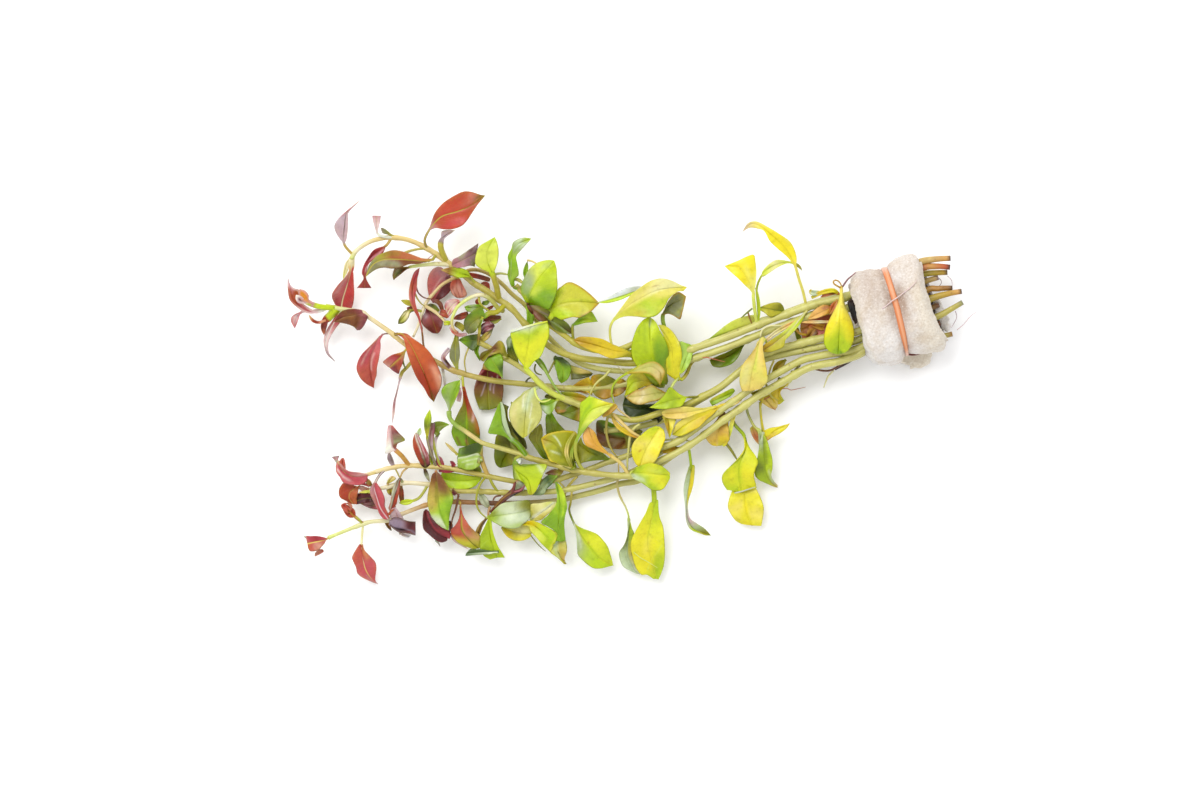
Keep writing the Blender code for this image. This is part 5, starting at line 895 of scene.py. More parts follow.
        rightTone="greenOlive yellowOliveDeep greenDeepLime limeDark lime lime", ribTone="lime", veins=0.25,
        marks=[(0.88, 0, 1, -0.1, 0.9, "paleGreyGreen", 0.7),
        (0.3, -0.2, 0.55, -0.3, 2, "greenDeepLime", 0.7), (0.6, 0.3, 0.8, 0.3, 0.7, "limeDark", 0.5)]),
    darkGreenLeaf=dict(start=0.1, rib=[(748, 341, 0), (738, 350, 8), (726, 357, 7.4), (709.6, 360, 6)],
        left=[(739, 356), (733, 363), (726, 366.4), (719, 367.6), (712.6, 366)], right=[(730, 350.6),
        (720, 355), (713, 358)], tone="olive greenOlive olive greenOlive",
        leftTone="greenOlive greenDeepLime greenOlive greenOlive", ribTone="rustPale", ribbing=0.3,
        marks=[(0.15, 0.5, 0.35, 0.7, 0.25, "whiteGreen", 0.8),
        (0.1, 0.2, 0.3, 0.4, 0.25, "paleOlive", 0.7)]),
    orangeDriedLeaf=dict(start=0.1, rib=[(838, 311, 0), (830, 309, 17), (820, 313, 17.8),
        (807, 319.6, 17.4)], left=[(828, 314), (821, 317), (813, 319.4)], right=[(826, 305), (819, 306.4),
        (812, 312)], tone="rust orangePeach peachBright orangePeach", spots=0.4,
        marks=[(0.4, -0.5, 0.5, -0.4, 0.7, "rustPink", 0.8), (0.1, 0, 0.3, 0.4, 0.8, "rust", 0.6)]),
    tipBudLeaf=dict(kind="free", start=0.3, rib=[(313, 306, 12.2), (306, 303, 12.8), (300, 299.5, 13.4),
        (296.5, 295, 13.4)], wide=3.6, tone="palePink palePink white", ribbing=0, lift=(0.5, 0.5),
        marks=[(0.55, 0, 0.62, 0, 0.65, "maroon", 1)]),
    rustScrapLeaf=dict(start=0.35, rib=[(337, 309, 0), (330, 316, 8.5), (325, 321, 8), (322.5, 328, 7.2),
        (324, 335, 6.5)], left=[(328, 322), (326.5, 328), (325.5, 332)], right=[(322.5, 321), (320.7, 326),
        (321.5, 331)], tone="rust redBrown rustPale", stalk=3.2, stalkTone="lime", ribbing=0),
    rustArcLeaf=dict(kind="free", start=0.3, rib=[(326, 320, 8), (319, 322.5, 8.4), (313, 320.5, 8.8),
        (309, 315, 9.2)], wide=1.6, base=0.8, tone="rust rust peach", stalkTone="salmon", ribbing=0),
    greyStripLeaf=dict(kind="free", rib=[(442, 366, 4.6), (443.6, 375, 5), (445, 386, 5)], wide=(1.4, 1.5),
        base=0.9, end=0.8, tone="paleMauve white paleMauve", ribbing=0.1),
    greyTriangleLeaf=dict(kind="free", rib=[(455, 370.5, 7.2), (459, 376, 7.6), (463.5, 381.5, 7.4)],
        wide=(2.3, 1.6), tone="paleOlive white paleOlive", ribbing=0.1),
    oliveBandLeaf=dict(kind="free wideBase", start=0.03, rib=[(571, 372, 6), (580, 374, 6.2),
        (593, 373.4, 6)], left=[(570, 364.6), (580, 368), (590, 371.4)], right=[(571, 379.6), (581, 378.6),
        (590, 376.4)], tone="paleOlive paleOlive olive greyOlive", leftTone="paleOlive tanPale olive",
        rightTone="greyOlive darkOlive darkOlive"),
    goldBrownLeaf=dict(kind="free wideBase", start=0.03, rib=[(592, 384, 7), (585, 385, 7.4),
        (571, 386.6, 7.2)], left=[(592, 395), (585, 392), (577, 389.6)], right=[(589, 377), (581, 380),
        (575, 384)], tone="golden goldenDeep ochre golden", leftTone="golden ochre goldenDeep"),
    darkBrownStripLeaf=dict(kind="free", rib=[(571, 388.4, 7.8), (579, 390.4, 8), (589, 394.6, 7.8)],
        wide=(1.5, 1.4), base=0.8, tone="darkBrown brown goldenDeep", ribbing=0),
    ochreSpeckLeaf=dict(kind="free wideBase", start=0.03, rib=[(612.5, 389, 7.6), (619, 387, 8),
        (628.4, 385.4, 7.6)], left=[(616, 380.4), (622, 378.6), (626, 381.4)], right=[(614, 397.4),
        (620, 395), (625.4, 390.6)], tone="ochre goldenDeep brown ochre", ribbing=0.1, spots=0.5,
        marks=[(0.5, 0.3, 0.7, 0.5, 0.3, "paleTan", 0.8), (0.8, 0.3, 0.85, 0.2, 0.25, "white", 0.7)]),
    curledTipLeaf=dict(kind="free", rib=[(626, 373.8, 17.6), (634, 371, 19.6), (643, 368.6, 21),
        (652, 367, 21.6), (660, 373, 21), (659.8, 385.6, 18)], left=[(634, 369), (643, 364), (651, 361.6),
        (658, 363), (664.6, 370.4), (663.6, 377)], right=[(634, 373.6), (642, 373.2), (648, 374),
        (653, 377), (657.6, 382)], tone="limeDeep tanOlive tanOlive paleTan golden", edge="goldenDeep",
        ribTone="paleOlive"),
    foldLimeLeaf=dict(kind="free wideBase", rib=[(653, 383, 11), (642, 381, 12), (632, 384, 12),
        (624, 396.6, 11)], left=[(645, 386.4), (638, 389.6), (630, 394)], right=[(650, 376.6), (643, 372.6),
        (634, 373), (627.6, 378), (626.6, 387)], tone="golden yellowOlive lime yellowOlive", ribbing=0.1),
    driedStripLeaf=dict(kind="free", rib=[(829, 322, 16.6), (815, 322, 17), (799, 322.6, 16.6)],
        wide=(1.6, 1.7), base=0.6, tone="peachBright cream peachBright peachBright", ribbing=0.1),
    rustBackLeaf=dict(kind="free wideBase", rib=[(839, 316, 13.4), (829, 321, 12.8), (815, 325, 12),
        (800, 329, 11.4)], left=[(832, 331), (823, 339), (812, 345), (803, 341)], right=[(834, 305),
        (824, 305), (812, 311), (802, 318)], tone="ochreBrown orangeRust orangeRust orangeTan", ribbing=0.1,
        marks=[(0.1, 0.3, 0.8, 0.5, 1.2, "rust", 0.5)]),
    rustTriangleLeaf=dict(kind="free wideBase", rib=[(816, 326, 12), (812, 331, 12.4), (806, 340, 12)],
        left=[(820, 331), (815, 336), (809.6, 339.6)], right=[(808.6, 325), (807, 331), (805.6, 337)],
        tone="orangeRust orangeTan ochreBrown orangeRust", ribbing=0.1,
        marks=[(0.1, 0.6, 0.3, 0.8, 0.6, "darkMaroon", 0.8)]),
    rustSideLeaf=dict(kind="free", rib=[(837, 300, 17), (833, 307, 17.4), (829, 315, 17.4)], wide=3.4,
        tone="orangeTan orangeRust orangeTan", ribbing=0.1, spots=0.5),
    tanFlapLeaf=dict(kind="free wideBase", rib=[(829, 327, 12.4), (822, 327, 12.8), (810, 324.6, 12.6)],
        left=[(826, 331), (819, 330), (812, 326.6)], right=[(828, 323.6), (820, 323.6), (813, 323.6)],
        tone="orangePeach orangePeach rustPale", ribbing=0.1),
    greyOliveBitLeaf=dict(kind="free", rib=[(814, 311.6, 14.4), (811, 314, 14.6), (807, 317, 14.2)],
        wide=(1.8, 2), tone="greyOlive olive greyOlive", ribbing=0.1),
    orangeArcLeaf=dict(kind="free", rib=[(795, 329, 12.6), (800, 333.6, 12.8), (807, 335, 12.4)], wide=1.2,
        base=0.8, end=0.7, tone="orangeTan orangePeach golden", ribbing=0.1),
    # darkGapLeaf: a dark sheet of painted shade in the gap by the foam's left end.
    darkGapLeaf=dict(kind="free wideBase wideTip", rib=[(850, 299.6, 17), (851.6, 310, 17.2),
        (855, 324.6, 16.8)], left=[(856, 304), (857.6, 312), (859, 320)], right=[(846.6, 303), (849, 311),
        (852, 320)], tone="darkBrown black black darkBrown", ribbing=0, veins=0, lift=(-0.4, -0.4), wave=0),
),
"middleLime": dict(
    limeCupLeaf=dict(kind="own wideTip", start=0.5, rib=[(566, 400, 0), (551, 393, 13), (540, 384, 14.2),
        (532, 375, 14.6), (525, 366, 15), (527, 355, 16), (529.4, 341, 17), (530.4, 327, 17.6)],
        left=[(519, 360), (514.4, 350), (512, 341), (510.7, 333), (516, 330.6)], right=[(534, 362),
        (541, 356.4), (545.6, 346), (549.4, 336), (549, 326), (546, 321.4), (540, 323.6)],
        tone="limeDeep yellowLime yellowLime yellowLime limeDeep whiteGreen", edge="limeDeep", stalk=1.9,
        stalkTone="paleYellowLime", ribbing=0, veins=0.15,
        marks=[(0.25, -0.4, 0.35, -0.6, 1.4, "limeDeep", 0.5),
        (0.9, -0.9, 0.98, -0.5, 0.8, "yellow", 0.4)]),
    maroonCurlLeaf=dict(kind="free wideBase", rib=[(481, 334, 10), (486, 328.5, 10.6), (495, 326, 10.4)],
        left=[(480.5, 330), (482, 324), (488, 321.2), (493, 323)], right=[(483, 335), (488, 331.5),
        (493, 328.5)], tone="darkMaroon plum rosewood maroon darkMaroon", ribTone="paleMauve", ribbing=0.3,
        marks=[(0.1, 0.5, 0.8, 0.6, 0.25, "paleMauve", 0.7),
        (0.3, -0.5, 0.9, -0.5, 0.25, "greyPink", 0.6)]),
    smallGreenLeaf=dict(kind="wideBase", rib=[(505, 357, 0), (492, 356.5, 13), (494, 363, 13.6),
        (499, 371, 13.4), (502.8, 378.6, 12.4)], left=[(500.5, 353.5), (503.4, 359), (503.2, 367)],
        right=[(488, 358), (484.2, 362.5), (486, 367.5), (491.5, 371.2), (498, 374)],
        tone="greenOlive green vividGreen green vividGreen", leftTone="vividGreen green darkGreen green",
        marks=[(0, -0.5, 0.15, 0.5, 0.5, "darkOlive", 0.6),
        (0.2, -0.6, 0.5, -0.8, 0.6, "greenOlive", 0.6)]),
    oliveCurlLeaf=dict(kind="wideBase", start=0.03, rib=[(505, 357, 0), (503, 352, 12.6),
        (497, 348.5, 13.6), (489, 352.5, 13.4), (480.5, 360, 12)], left=[(501, 354.6), (495, 354.2),
        (488.5, 357), (484, 361.5)], right=[(505.3, 348), (503.5, 343), (499.5, 340.5), (495.5, 343.5),
        (490, 349), (482, 352.5), (480, 356.5)], tone="olive oliveTan brown olive brown",
        marks=[(0.1, -0.3, 0.15, -0.8, 0.3, "paleOlive", 0.8), (0.15, -0.8, 0.3, -0.5, 0.25, "tan", 0.8),
        (0.25, 0.6, 0.85, 0.7, 0.3, "paleOlive", 0.8), (0.4, -0.6, 0.8, -0.6, 1, "darkBrown", 0.5)]),
    darkTealLeaf=dict(start=0.02, rib=[(485, 345, 0), (478, 343, 8), (476.5, 350, 8), (480, 361, 7.6)],
        left=[(480, 346), (478.5, 352), (480, 357)], right=[(474.5, 346), (474, 351), (477, 357)],
        tone="olive green green darkGreen"),
    # bigBrownLeaf: its pale mauve, grey-pink and white streaks are painted sheen.
    bigBrownLeaf=dict(kind="own wideBase wideTip", rib=[(505, 359, 0), (497, 363, 6), (488.5, 368, 5),
        (487.5, 380, 4), (488.5, 395, 3), (489, 410, 2.6)], left=[(495, 369), (500.5, 376), (503.4, 386),
        (503, 395), (501.5, 402), (497, 407.5)], right=[(482.5, 367.5), (478, 376), (474.5, 386),
        (474, 393), (476, 401), (479.5, 409.5)],
        tone="crimson crimson redBrown brown ochreDark olive greenOlive", ribTone="paleOlive", ribbing=0.45,
        veins=0.3, marks=[(0.35, 0.3, 0.62, 0.12, 0.3, "paleMauve", 0.8),
        (0.4, 0.45, 0.65, 0.3, 0.25, "greyPink", 0.8), (0.5, -0.15, 0.7, -0.4, 0.3, "paleMauve", 0.7),
        (0.1, 0.45, 0.14, 0.5, 0.4, "palePink", 0.7), (0.24, 0.6, 0.3, 0.62, 0.3, "white", 0.6),
        (0.1, -0.5, 0.4, -0.9, 0.6, "mauvePink", 0.6), (0.4, -0.95, 0.7, -0.9, 0.3, "palePink", 0.6),
        (0, 0.3, 0.25, 0.5, 1.2, "crimson", 0.6), (0.55, 0.9, 0.85, 0.85, 0.7, "rosewood", 0.6),
        (0.82, -0.8, 0.95, 0.8, 1.2, "olive", 0.6)]),
    smallLimeLeaf=dict(rib=[(560, 398, 0), (554, 402, 13), (547, 405, 13.4), (539.4, 404, 13)],
        left=[(554.8, 408), (552, 412.8), (547.6, 414.8), (543, 411), (540, 408)], right=[(552, 399.4),
        (546, 398.6), (541, 400.4)], tone="yellowGreen green green vividGreen",
        leftTone="whiteGreen green paleGreyGreen green",
        marks=[(0, 0.9, 0.2, 0.8, 0.4, "yellowLime", 0.8)]),
    # glossyOliveLeaf: its pale grey-green, white and white-green marks are painted sheen.
    glossyOliveLeaf=dict(kind="own", start=0.18, rib=[(548, 391, 0), (537, 387, 14), (530, 391, 15),
        (526, 410, 16.4), (524, 438, 15)], left=[(535, 393), (539, 402), (542, 410), (541.6, 418),
        (538, 425), (532, 431.6), (527.6, 435.6)], right=[(526, 390.4), (520, 396), (513, 402),
        (509.6, 409), (509.2, 416), (511.6, 424), (516, 431), (521, 436.4)],
        tone="paleGreyGreen glossOlive glossOlive glossOlive yellowOlivePale", ribTone="glossOlive",
        veins=0.3, marks=[(0.1, 0.1, 0.45, 0, 1.6, "paleGreyGreen", 0.8),
        (0.15, -0.3, 0.4, -0.2, 0.5, "white", 0.5), (0.5, 0.5, 0.85, 0.35, 0.4, "whiteGreen", 0.6),
        (0.45, 0.7, 0.8, 0.6, 0.3, "olive", 0.4), (0.3, 0.3, 0.5, 0.35, 0.4, "white", 0.5),
        (0.3, -0.7, 0.6, -0.7, 1.4, "paleTan", 0.4)]),
    hangingGreenLeaf=dict(kind="wideTip", start=0.3, rib=[(560, 399, 0), (551, 407, 8), (549, 413, 9),
        (552, 424, 9.6), (556, 436, 9)], left=[(553, 414), (557, 421), (562, 427), (568, 433)],
        right=[(545.8, 416), (545.6, 424), (546.4, 436)], tone="green green greenOlive greenOlive"),
    # tanFoldLeaf: the grey-mauve mark near its right edge is a painted highlight.
    tanFoldLeaf=dict(kind="free", rib=[(668, 393.6, 13), (656, 393.6, 14), (642, 396, 14.6),
        (625.6, 397.4, 13.6)], left=[(660, 399.8), (650, 402.2), (641, 404.8), (633, 403.4)],
        right=[(660, 389.4), (651, 385), (642, 388.4), (634, 391)],
        tone="tanOlive tanOlive paleTan oliveTan", edge="ochre", ribbing=0.3,
        marks=[(0.55, -0.4, 0.62, 0.7, 0.6, "cream", 0.6), (0.72, -0.4, 0.78, 0.5, 0.5, "paleTan", 0.7),
        (0.55, -0.8, 0.62, -0.7, 0.5, "greyMauve", 0.4)]),
    limeCornerLeaf=dict(kind="own", start=0.38, rib=[(703, 398.4, 0), (692, 396.8, 14), (682, 398, 15.6),
        (670, 401, 17), (649.4, 407.6, 16)], left=[(681.4, 406), (672, 408.4), (660, 409)],
        right=[(679.6, 394), (673, 388.6), (668.6, 387.4), (664, 395), (657, 402)],
        tone="limeDeep lime limeDark yellowGreen lime", stalk=0.6, stalkTone="olive", veins=0.2,
        marks=[(0.12, 0, 0.13, 0, 0.4, "darkOlive", 0.7)]),
    sideYellowLeaf=dict(kind="own wideTip", start=0.28, rib=[(773, 358, 0), (767.4, 347, 16.8),
        (764, 338, 18.6), (759.4, 340, 19), (756, 356, 19.4), (752, 372, 19), (749, 391, 17)],
        left=[(762.6, 345), (762.8, 352), (764.8, 362), (766.6, 372), (767, 382), (760, 389)],
        right=[(757, 342), (754.6, 349), (748, 357), (742, 365), (739.4, 374), (739.2, 383), (741.6, 391)],
        tone="paleLime peachGold peachGold paleGold peachGold", stalk=0.75, stalkTone="greenOlive",
        ribTone="paleGold", veins=0.2, marks=[(0, -0.1, 0.6, 0.1, 0.6, "limePale", 0.8),
        (0.3, 0.6, 0.6, 0.8, 0.9, "golden", 0.4), (0.5, -0.5, 0.8, -0.4, 1.6, "paleCream", 0.5),
        (0.75, 0, 0.78, 0.1, 0.3, "ochre", 0.5)]),
    paleStripLeaf=dict(kind="free", start=0.03, rib=[(806.6, 311, 15.4), (800.4, 318, 17), (794, 326, 18.4),
        (784, 335, 19), (773, 344, 18.4), (761, 351, 17)], left=[(802, 320.6), (796, 329), (789, 336.4),
        (784.4, 341), (783, 347), (775, 351), (767, 352.6)], right=[(799.6, 316), (793, 322), (786, 329),
        (777, 335.6), (769, 341), (762.6, 346)],
        tone="stemPale stemPale limePale limePale yellowOlive goldenDeep ochre",
        leftTone="yellowOlive limeDeep limePale yellowOlive yellowOlive ochre", ribTone="cream",
        ribbing=0.5, marks=[(0.05, 0, 0.5, 0, 0.4, "white", 0.6)]),
    darkWedgeLeaf=dict(kind="free wideBase", rib=[(478.6, 340, 8.6), (470, 340.5, 8.8), (458.5, 340, 9)],
        left=[(478, 346), (473, 351), (465.5, 345.5), (461, 342)], right=[(478, 334), (470, 335),
        (463, 337)], tone="greenOlive darkGreen green deepGreen", ribbing=0.1),
    tanCurlLeaf=dict(kind="free wideBase", rib=[(479.5, 342, 9.6), (486, 336.5, 10), (493.5, 328, 10.2)],
        left=[(479, 338), (485, 333.2), (490, 330)], right=[(480, 344.8), (485, 341.5), (489.5, 337.5),
        (492, 332.5)], tone="brown oliveTan tan greyOlive brown"),
    toothLeaf=dict(kind="free", rib=[(516.5, 409, 10), (513.6, 406, 10.4), (511, 401.5, 10.4)], wide=2,
        tone="olive darkOlive", ribbing=0.45),
    cupRimLeaf=dict(kind="free", rib=[(511, 331.6, 17.4), (522, 328.2, 18), (536, 324, 18.2),
        (547.6, 321.6, 17.8)], wide=(0.9, 1.1), base=0.9, end=0.7,
        tone="whiteGreen white paleLime yellowLime", ribbing=0),
    greenCornerLeaf=dict(kind="free", rib=[(536, 358, 10.6), (541, 363, 10.8), (549, 375, 10.6)],
        wide=(2.6, 3.4), base=0.8, tone="vividGreen green vividGreen", ribbing=0.1),
    oliveYellowLeaf=dict(kind="free wideBase", start=0.03, rib=[(562, 395, 9), (574, 397, 9.2),
        (589, 398.6, 9)], left=[(561, 391.6), (572, 391.8), (583, 395)], right=[(565, 399), (573, 402.6),
        (582, 402)], tone="greenOlive yellowOliveDeep ochre yellowOliveDeep"),
    oliveSliverLeaf=dict(kind="free", start=0.03, rib=[(545, 396.4, 9), (552, 398, 9.4), (566, 405.6, 9)],
        wide=(3, 2.4), base=0.6, tone="darkOlive olive darkOlive", ribbing=0.1),
    rustCupLeaf=dict(kind="free wideBase", rib=[(570, 405, 9.6), (563, 406, 10), (553.8, 405, 10.2)],
        left=[(568, 410), (562, 413.4), (556, 412.4)], right=[(566, 400.6), (560, 399.6), (555, 401)],
        tone="greyOlive olive yellowOliveDeep olive", ribbing=0.1,
        marks=[(0.2, 0.7, 0.85, 0.7, 0.35, "rustPale", 0.9), (0.6, 0.3, 0.7, 0.3, 0.35, "mauvePink", 0.7),
        (0.9, 0.5, 0.98, 0, 0.35, "ochre", 0.7)]),
    oliveWingLeaf=dict(kind="free wideBase", rib=[(581, 406, 9.4), (575, 411, 9.8), (566, 413.6, 10),
        (556.6, 413.6, 9.8)], left=[(579.8, 422), (572, 419.6), (563, 416)], right=[(579, 402.6),
        (571, 405.6), (564, 410.6)], tone="ochre greenOlive greenOlive olive"),
    oliveUprightBitLeaf=dict(kind="free", rib=[(796, 328, 11), (798, 336, 11), (800.6, 344, 10.6)],
        wide=2.6, base=0.9, end=0.7, tone="olive greenOlive olive"),
    peachBandLeaf=dict(kind="free", start=0.03, rib=[(797, 320.6, 16), (786, 326.6, 16.6), (775, 333, 16.6),
        (765, 341.6, 16)], wide=(2.2, 2.4), base=0.5, end=0.7,
        tone="peachBright peachBright peachPale cream peachBright", ribbing=0.1),
),
"middleShort": dict(
    veryDarkLeaf=dict(kind="wideBase wideTip", start=0.04, rib=[(664, 416, 0), (652, 410, 6.5),
        (638, 408, 5.5), (622.6, 405, 5)], left=[(650, 417), (637, 419), (628, 416.6), (623.4, 410)],
        right=[(652, 404), (641, 404), (632, 400), (625, 396)],
        tone="deepGreen veryDark veryDark veryDark"),
    darkBrownLeaf=dict(kind="own wideBase", start=0.03, rib=[(634, 430, 0), (629, 438, 5),
        (612, 436.6, 4.4), (596, 431, 4)], left=[(629, 448), (620, 449.4), (611, 448.6), (603, 446.4),
        (598, 441)], right=[(626, 431.6), (615, 425), (606, 420.6), (597, 421)],
        tone="olive brown brownOchre brown brown", rightTone="greyGreen green green darkOlive brown",
        marks=[(0.25, -0.5, 0.6, -0.6, 0.4, "whiteGreen", 0.7),
        (0.5, 0.7, 0.7, 0.8, 0.5, "goldenDeep", 0.5), (0.75, 0.7, 0.9, 0.6, 0.4, "rust", 0.6)]),
),
"lowerFront": dict(
    limeTwistLeaf=dict(kind="own", start=0.47, rib=[(585, 472, 0), (579, 464, 12), (575.4, 452, 13.5),
        (576.6, 440, 15), (582, 424, 16.4), (592, 410, 17.4), (613.6, 403.6, 18)], left=[(578, 431),
        (579.6, 420), (580, 410), (580.4, 403), (585, 399.6), (590, 396), (597, 398.4), (605, 401.4)],
        right=[(586, 429), (592, 422), (600, 416.4), (606, 411.6), (611, 407.4)],
        tone="greenPale greenPale limeDeep limeVivid limeVivid yellowLime golden",
        rightTone="greenPale greenPale limePale limePale limePale yellowLime", stalk=1.3,
        stalkTone="paleOlive", ribbing=0.1, veins=0.2,
        marks=[(0.55, 0.8, 0.95, 0.35, 0.35, "whiteGreen", 0.9),
        (0.15, 0.2, 0.5, 0.3, 0.8, "greenDeepLime", 0.5), (0.3, -0.4, 0.9, -0.35, 0.7, "paleLime", 0.5)]),
    peachCurlLeaf=dict(start=0.42, rib=[(628, 471, 0), (622, 464.6, 12), (613, 457, 13), (604, 451, 14),
        (594, 442, 15), (588, 426.6, 15)], left=[(600, 451.6), (592, 448.6), (586, 445.6), (583.2, 440),
        (583, 433.6)], right=[(602, 446), (598, 440), (596, 434), (592.6, 429.6)],
        tone="yellowPeach orangePeach orangePeach peachBright", stalk=1.3, stalkTone="tanPale", ribbing=0.1,
        marks=[(0.5, 0.5, 0.8, 0.6, 0.7, "peachBright", 0.7), (0.2, -0.3, 0.6, -0.5, 0.5, "golden", 0.4)]),
    # greenWedgeLeaf: the grey-green tones on its right half are painted sheen.
    greenWedgeLeaf=dict(start=0.33, rib=[(527, 457, 0), (518.5, 445, 12), (509.5, 437, 12.6),
        (503, 425, 12.8), (501.5, 413, 12.6), (500.3, 402, 12)], left=[(501, 435.4), (494, 434.2),
        (488.3, 432.6), (491.3, 423), (495.4, 412), (498.4, 404.8)], right=[(509.6, 430), (506.2, 418),
        (504.6, 409), (502.4, 402.8)], tone="greyGreen greyGreen green green green",
        leftTone="vividGreen vividGreen green green", rightTone="greyGreen paleGreyGreen greyGreen",
        stalk=2, stalkTone="vividGreen", ribTone="greyGreen", ribbing=0.4),
    oliveStripLeaf=dict(kind="wideTip", rib=[(530, 458, 0), (519.5, 443, 9.5), (511.5, 432, 9.8),
        (507.5, 420, 9.8), (506, 405, 9.5)], left=[(512, 436), (507, 427), (504, 415), (503, 403.5)],
        right=[(519, 440), (513, 431), (509, 421), (507.6, 412), (509, 406.5)],
        tone="darkOlive olive darkOlive olive darkOlive"),
    roundOliveLeaf=dict(kind="own wideBase", start=0.14, rib=[(520, 454, 0), (514, 450, 8), (509, 451, 7),
        (503.5, 459, 5), (500.8, 468, 4)], left=[(519, 456), (517.4, 461.6), (512, 465), (506, 466.8)],
        right=[(512, 441), (504, 436), (497, 434.8), (495, 441), (494.3, 450), (494, 457), (495.4, 463.5),
        (498, 467)], tone="darkOlive olive olive greenOlive greenOlive",
        rightTone="darkOlive olive greenOlive greenOlive greenOlive", ribbing=0.15, veins=0.2,
        marks=[(0, -0.3, 0.25, -0.5, 1.6, "darkOlive", 0.7)]),
    # broadOliveLeaf: its white-green marks are painted sheen.
    broadOliveLeaf=dict(kind="own wideBase", start=0.05, rib=[(573, 469, 0), (569, 463, 11.4),
        (562, 452, 12.2), (554, 443, 12.4), (541, 438.6, 12)], left=[(562, 466), (556, 463), (549.6, 460.6),
        (546, 453), (543, 446.6)], right=[(572, 452), (576, 441), (576.6, 432.6), (569, 430.4),
        (560, 430.8), (551, 432.6), (544.6, 435.4)],
        tone="greenOlive yellowOliveDeep yellowOliveDeep yellowOliveDeep ochre", edge="golden", veins=0.3,
        marks=[(0.5, -0.15, 0.62, -0.3, 0.45, "whiteGreen", 0.8),
        (0.4, 0.1, 0.55, 0.3, 0.4, "whiteGreen", 0.7), (0.45, 0.35, 0.6, 0.3, 0.35, "paleOlive", 0.7),
        (0.3, 0.1, 0.5, 0.05, 0.8, "greenOlive", 0.6)]),
    greenEndLeaf=dict(start=0.02, rib=[(449, 413, 0), (451, 404, 13), (453.5, 394, 15), (460.5, 380, 16)],
        left=[(446, 402.5), (442.4, 396), (441.6, 390.5), (445.5, 385), (452.5, 381.8)],
        right=[(453, 405.5), (456.6, 398), (459.4, 391), (460.4, 384.5)],
        tone="paleOlive greenPale green green yellowGreen",
        leftTone="paleGreyGreen greyGreen green green green", ribTone="greenPale", ribbing=0.3, veins=0.4,
        marks=[(0.05, -0.3, 0.25, -0.5, 1, "paleGreyGreen", 0.8),
        (0.4, 0.4, 0.75, 0.5, 1.6, "greyGreen", 0.5), (0.35, -0.4, 0.5, -0.5, 0.5, "yellowGreen", 0.7)]),
    hangingOliveLeaf=dict(kind="own free wideTip", rib=[(763, 432, 8), (763.6, 446, 8), (764.6, 460, 7.6),
        (766, 473, 6.8), (771, 482, 5.4), (777.6, 487.6, 4)], left=[(767, 440), (770, 450), (772.4, 459),
        (772.6, 468), (771.4, 475), (774, 481), (777.6, 485)], right=[(760, 441), (758.6, 450), (757, 459),
        (755, 467), (755, 475), (759, 480), (765, 483), (771, 485.6)],
        tone="whiteGreen limeDark limeDark limeDark limeDark oliveTan tan",
        leftTone="limeDeep limeDeep limeDark limeDeep limeDark greyGreen tan",
        rightTone="whiteGreen greyGreen limeDark greenOlive limeDark limeDark tan", ribTone="greenOlive",
        ribbing=0.4, marks=[(0.1, 0.1, 0.5, 0.2, 0.6, "greenOlive", 0.6),
        (0.4, 0.6, 0.7, 0.4, 0.7, "limeDeep", 0.6), (0.65, 0.3, 0.85, 0.3, 0.5, "silver", 0.6)]),
    twistedTailLeaf=dict(kind="own", start=0.12, rib=[(693, 452, 0), (691, 466, 9), (690, 480, 8.4),
        (688, 492, 7.4), (686.4, 505, 6.2), (687, 517, 5.2), (692, 527, 4.6), (700, 532, 4),
        (711, 535.6, 3.4)], left=[(694.6, 466), (694, 480), (692, 490), (689, 499), (688, 508), (690, 518),
        (697, 523.6), (704, 528), (709, 533)], right=[(689, 466), (685, 480), (683.6, 490), (684.4, 500),
        (685.4, 510), (686, 520), (688.4, 527), (693, 531), (700, 533.6), (706, 535.6)],
        tone="limeDark limeDark yellowOlive golden yellowOlive silver silver greyGreen limeDeep",
        leftTone="limeDark yellowOlive yellow yellowOlive silver greyPink greyGreen olive olive",
        rightTone="limeDark greyGreen paleGreyGreen paleGreyGreen silver silver limeDeep oliveTan limeDeep",
        stalk=1, stalkTone="limeDark", ribTone="limeDark", marks=[(0.15, 0.2, 0.4, 0.3, 0.8, "golden", 0.7),
        (0.5, 0.6, 0.75, 0.6, 0.25, "greyPink", 0.6), (0.75, -0.5, 0.9, -0.5, 0.5, "limeDeep", 0.7),
        (0.1, -0.7, 0.3, -0.6, 0.4, "olive", 0.5)]),
    frontYellowLeaf=dict(kind="own free wideBase wideTip", rib=[(630, 473, 12.6), (640, 473, 13),
        (655, 474, 13), (669.6, 475.6, 11.6)], left=[(636, 467), (642, 465), (650, 463), (660, 465),
        (666, 469), (670, 473)], right=[(633, 478.6), (640, 482), (646, 486), (652, 490), (658, 490.6),
        (663, 489), (667, 484), (670, 478)], tone="limePale limeDeep yellowLime yellowLime limeDeep",
        leftTone="limeDeep limeDeep yellowLime limeDeep yellowLime",
        rightTone="whiteGreen limeDark limeDeep yellowLime limeDeep", ribTone="limePale",
        marks=[(0, -0.2, 0.2, -0.4, 1.2, "paleGreyGreen", 0.7), (0.4, 0.3, 0.7, 0.1, 1.2, "limePale", 0.6),
        (0.5, -0.4, 0.8, -0.3, 1.6, "yellow", 0.5), (0.3, -0.8, 0.5, -0.9, 0.7, "greenPale", 0.5)]),
    hiddenPaleLeaf=dict(start=0.46, rib=[(619.6, 466, 0), (617, 484, 8.4), (619.6, 496, 7.6), (626, 508, 7),
        (629, 520, 6.4), (627.6, 540, 5.8), (628, 556, 5.2), (634, 569, 4.4), (640, 574.6, 3.6)],
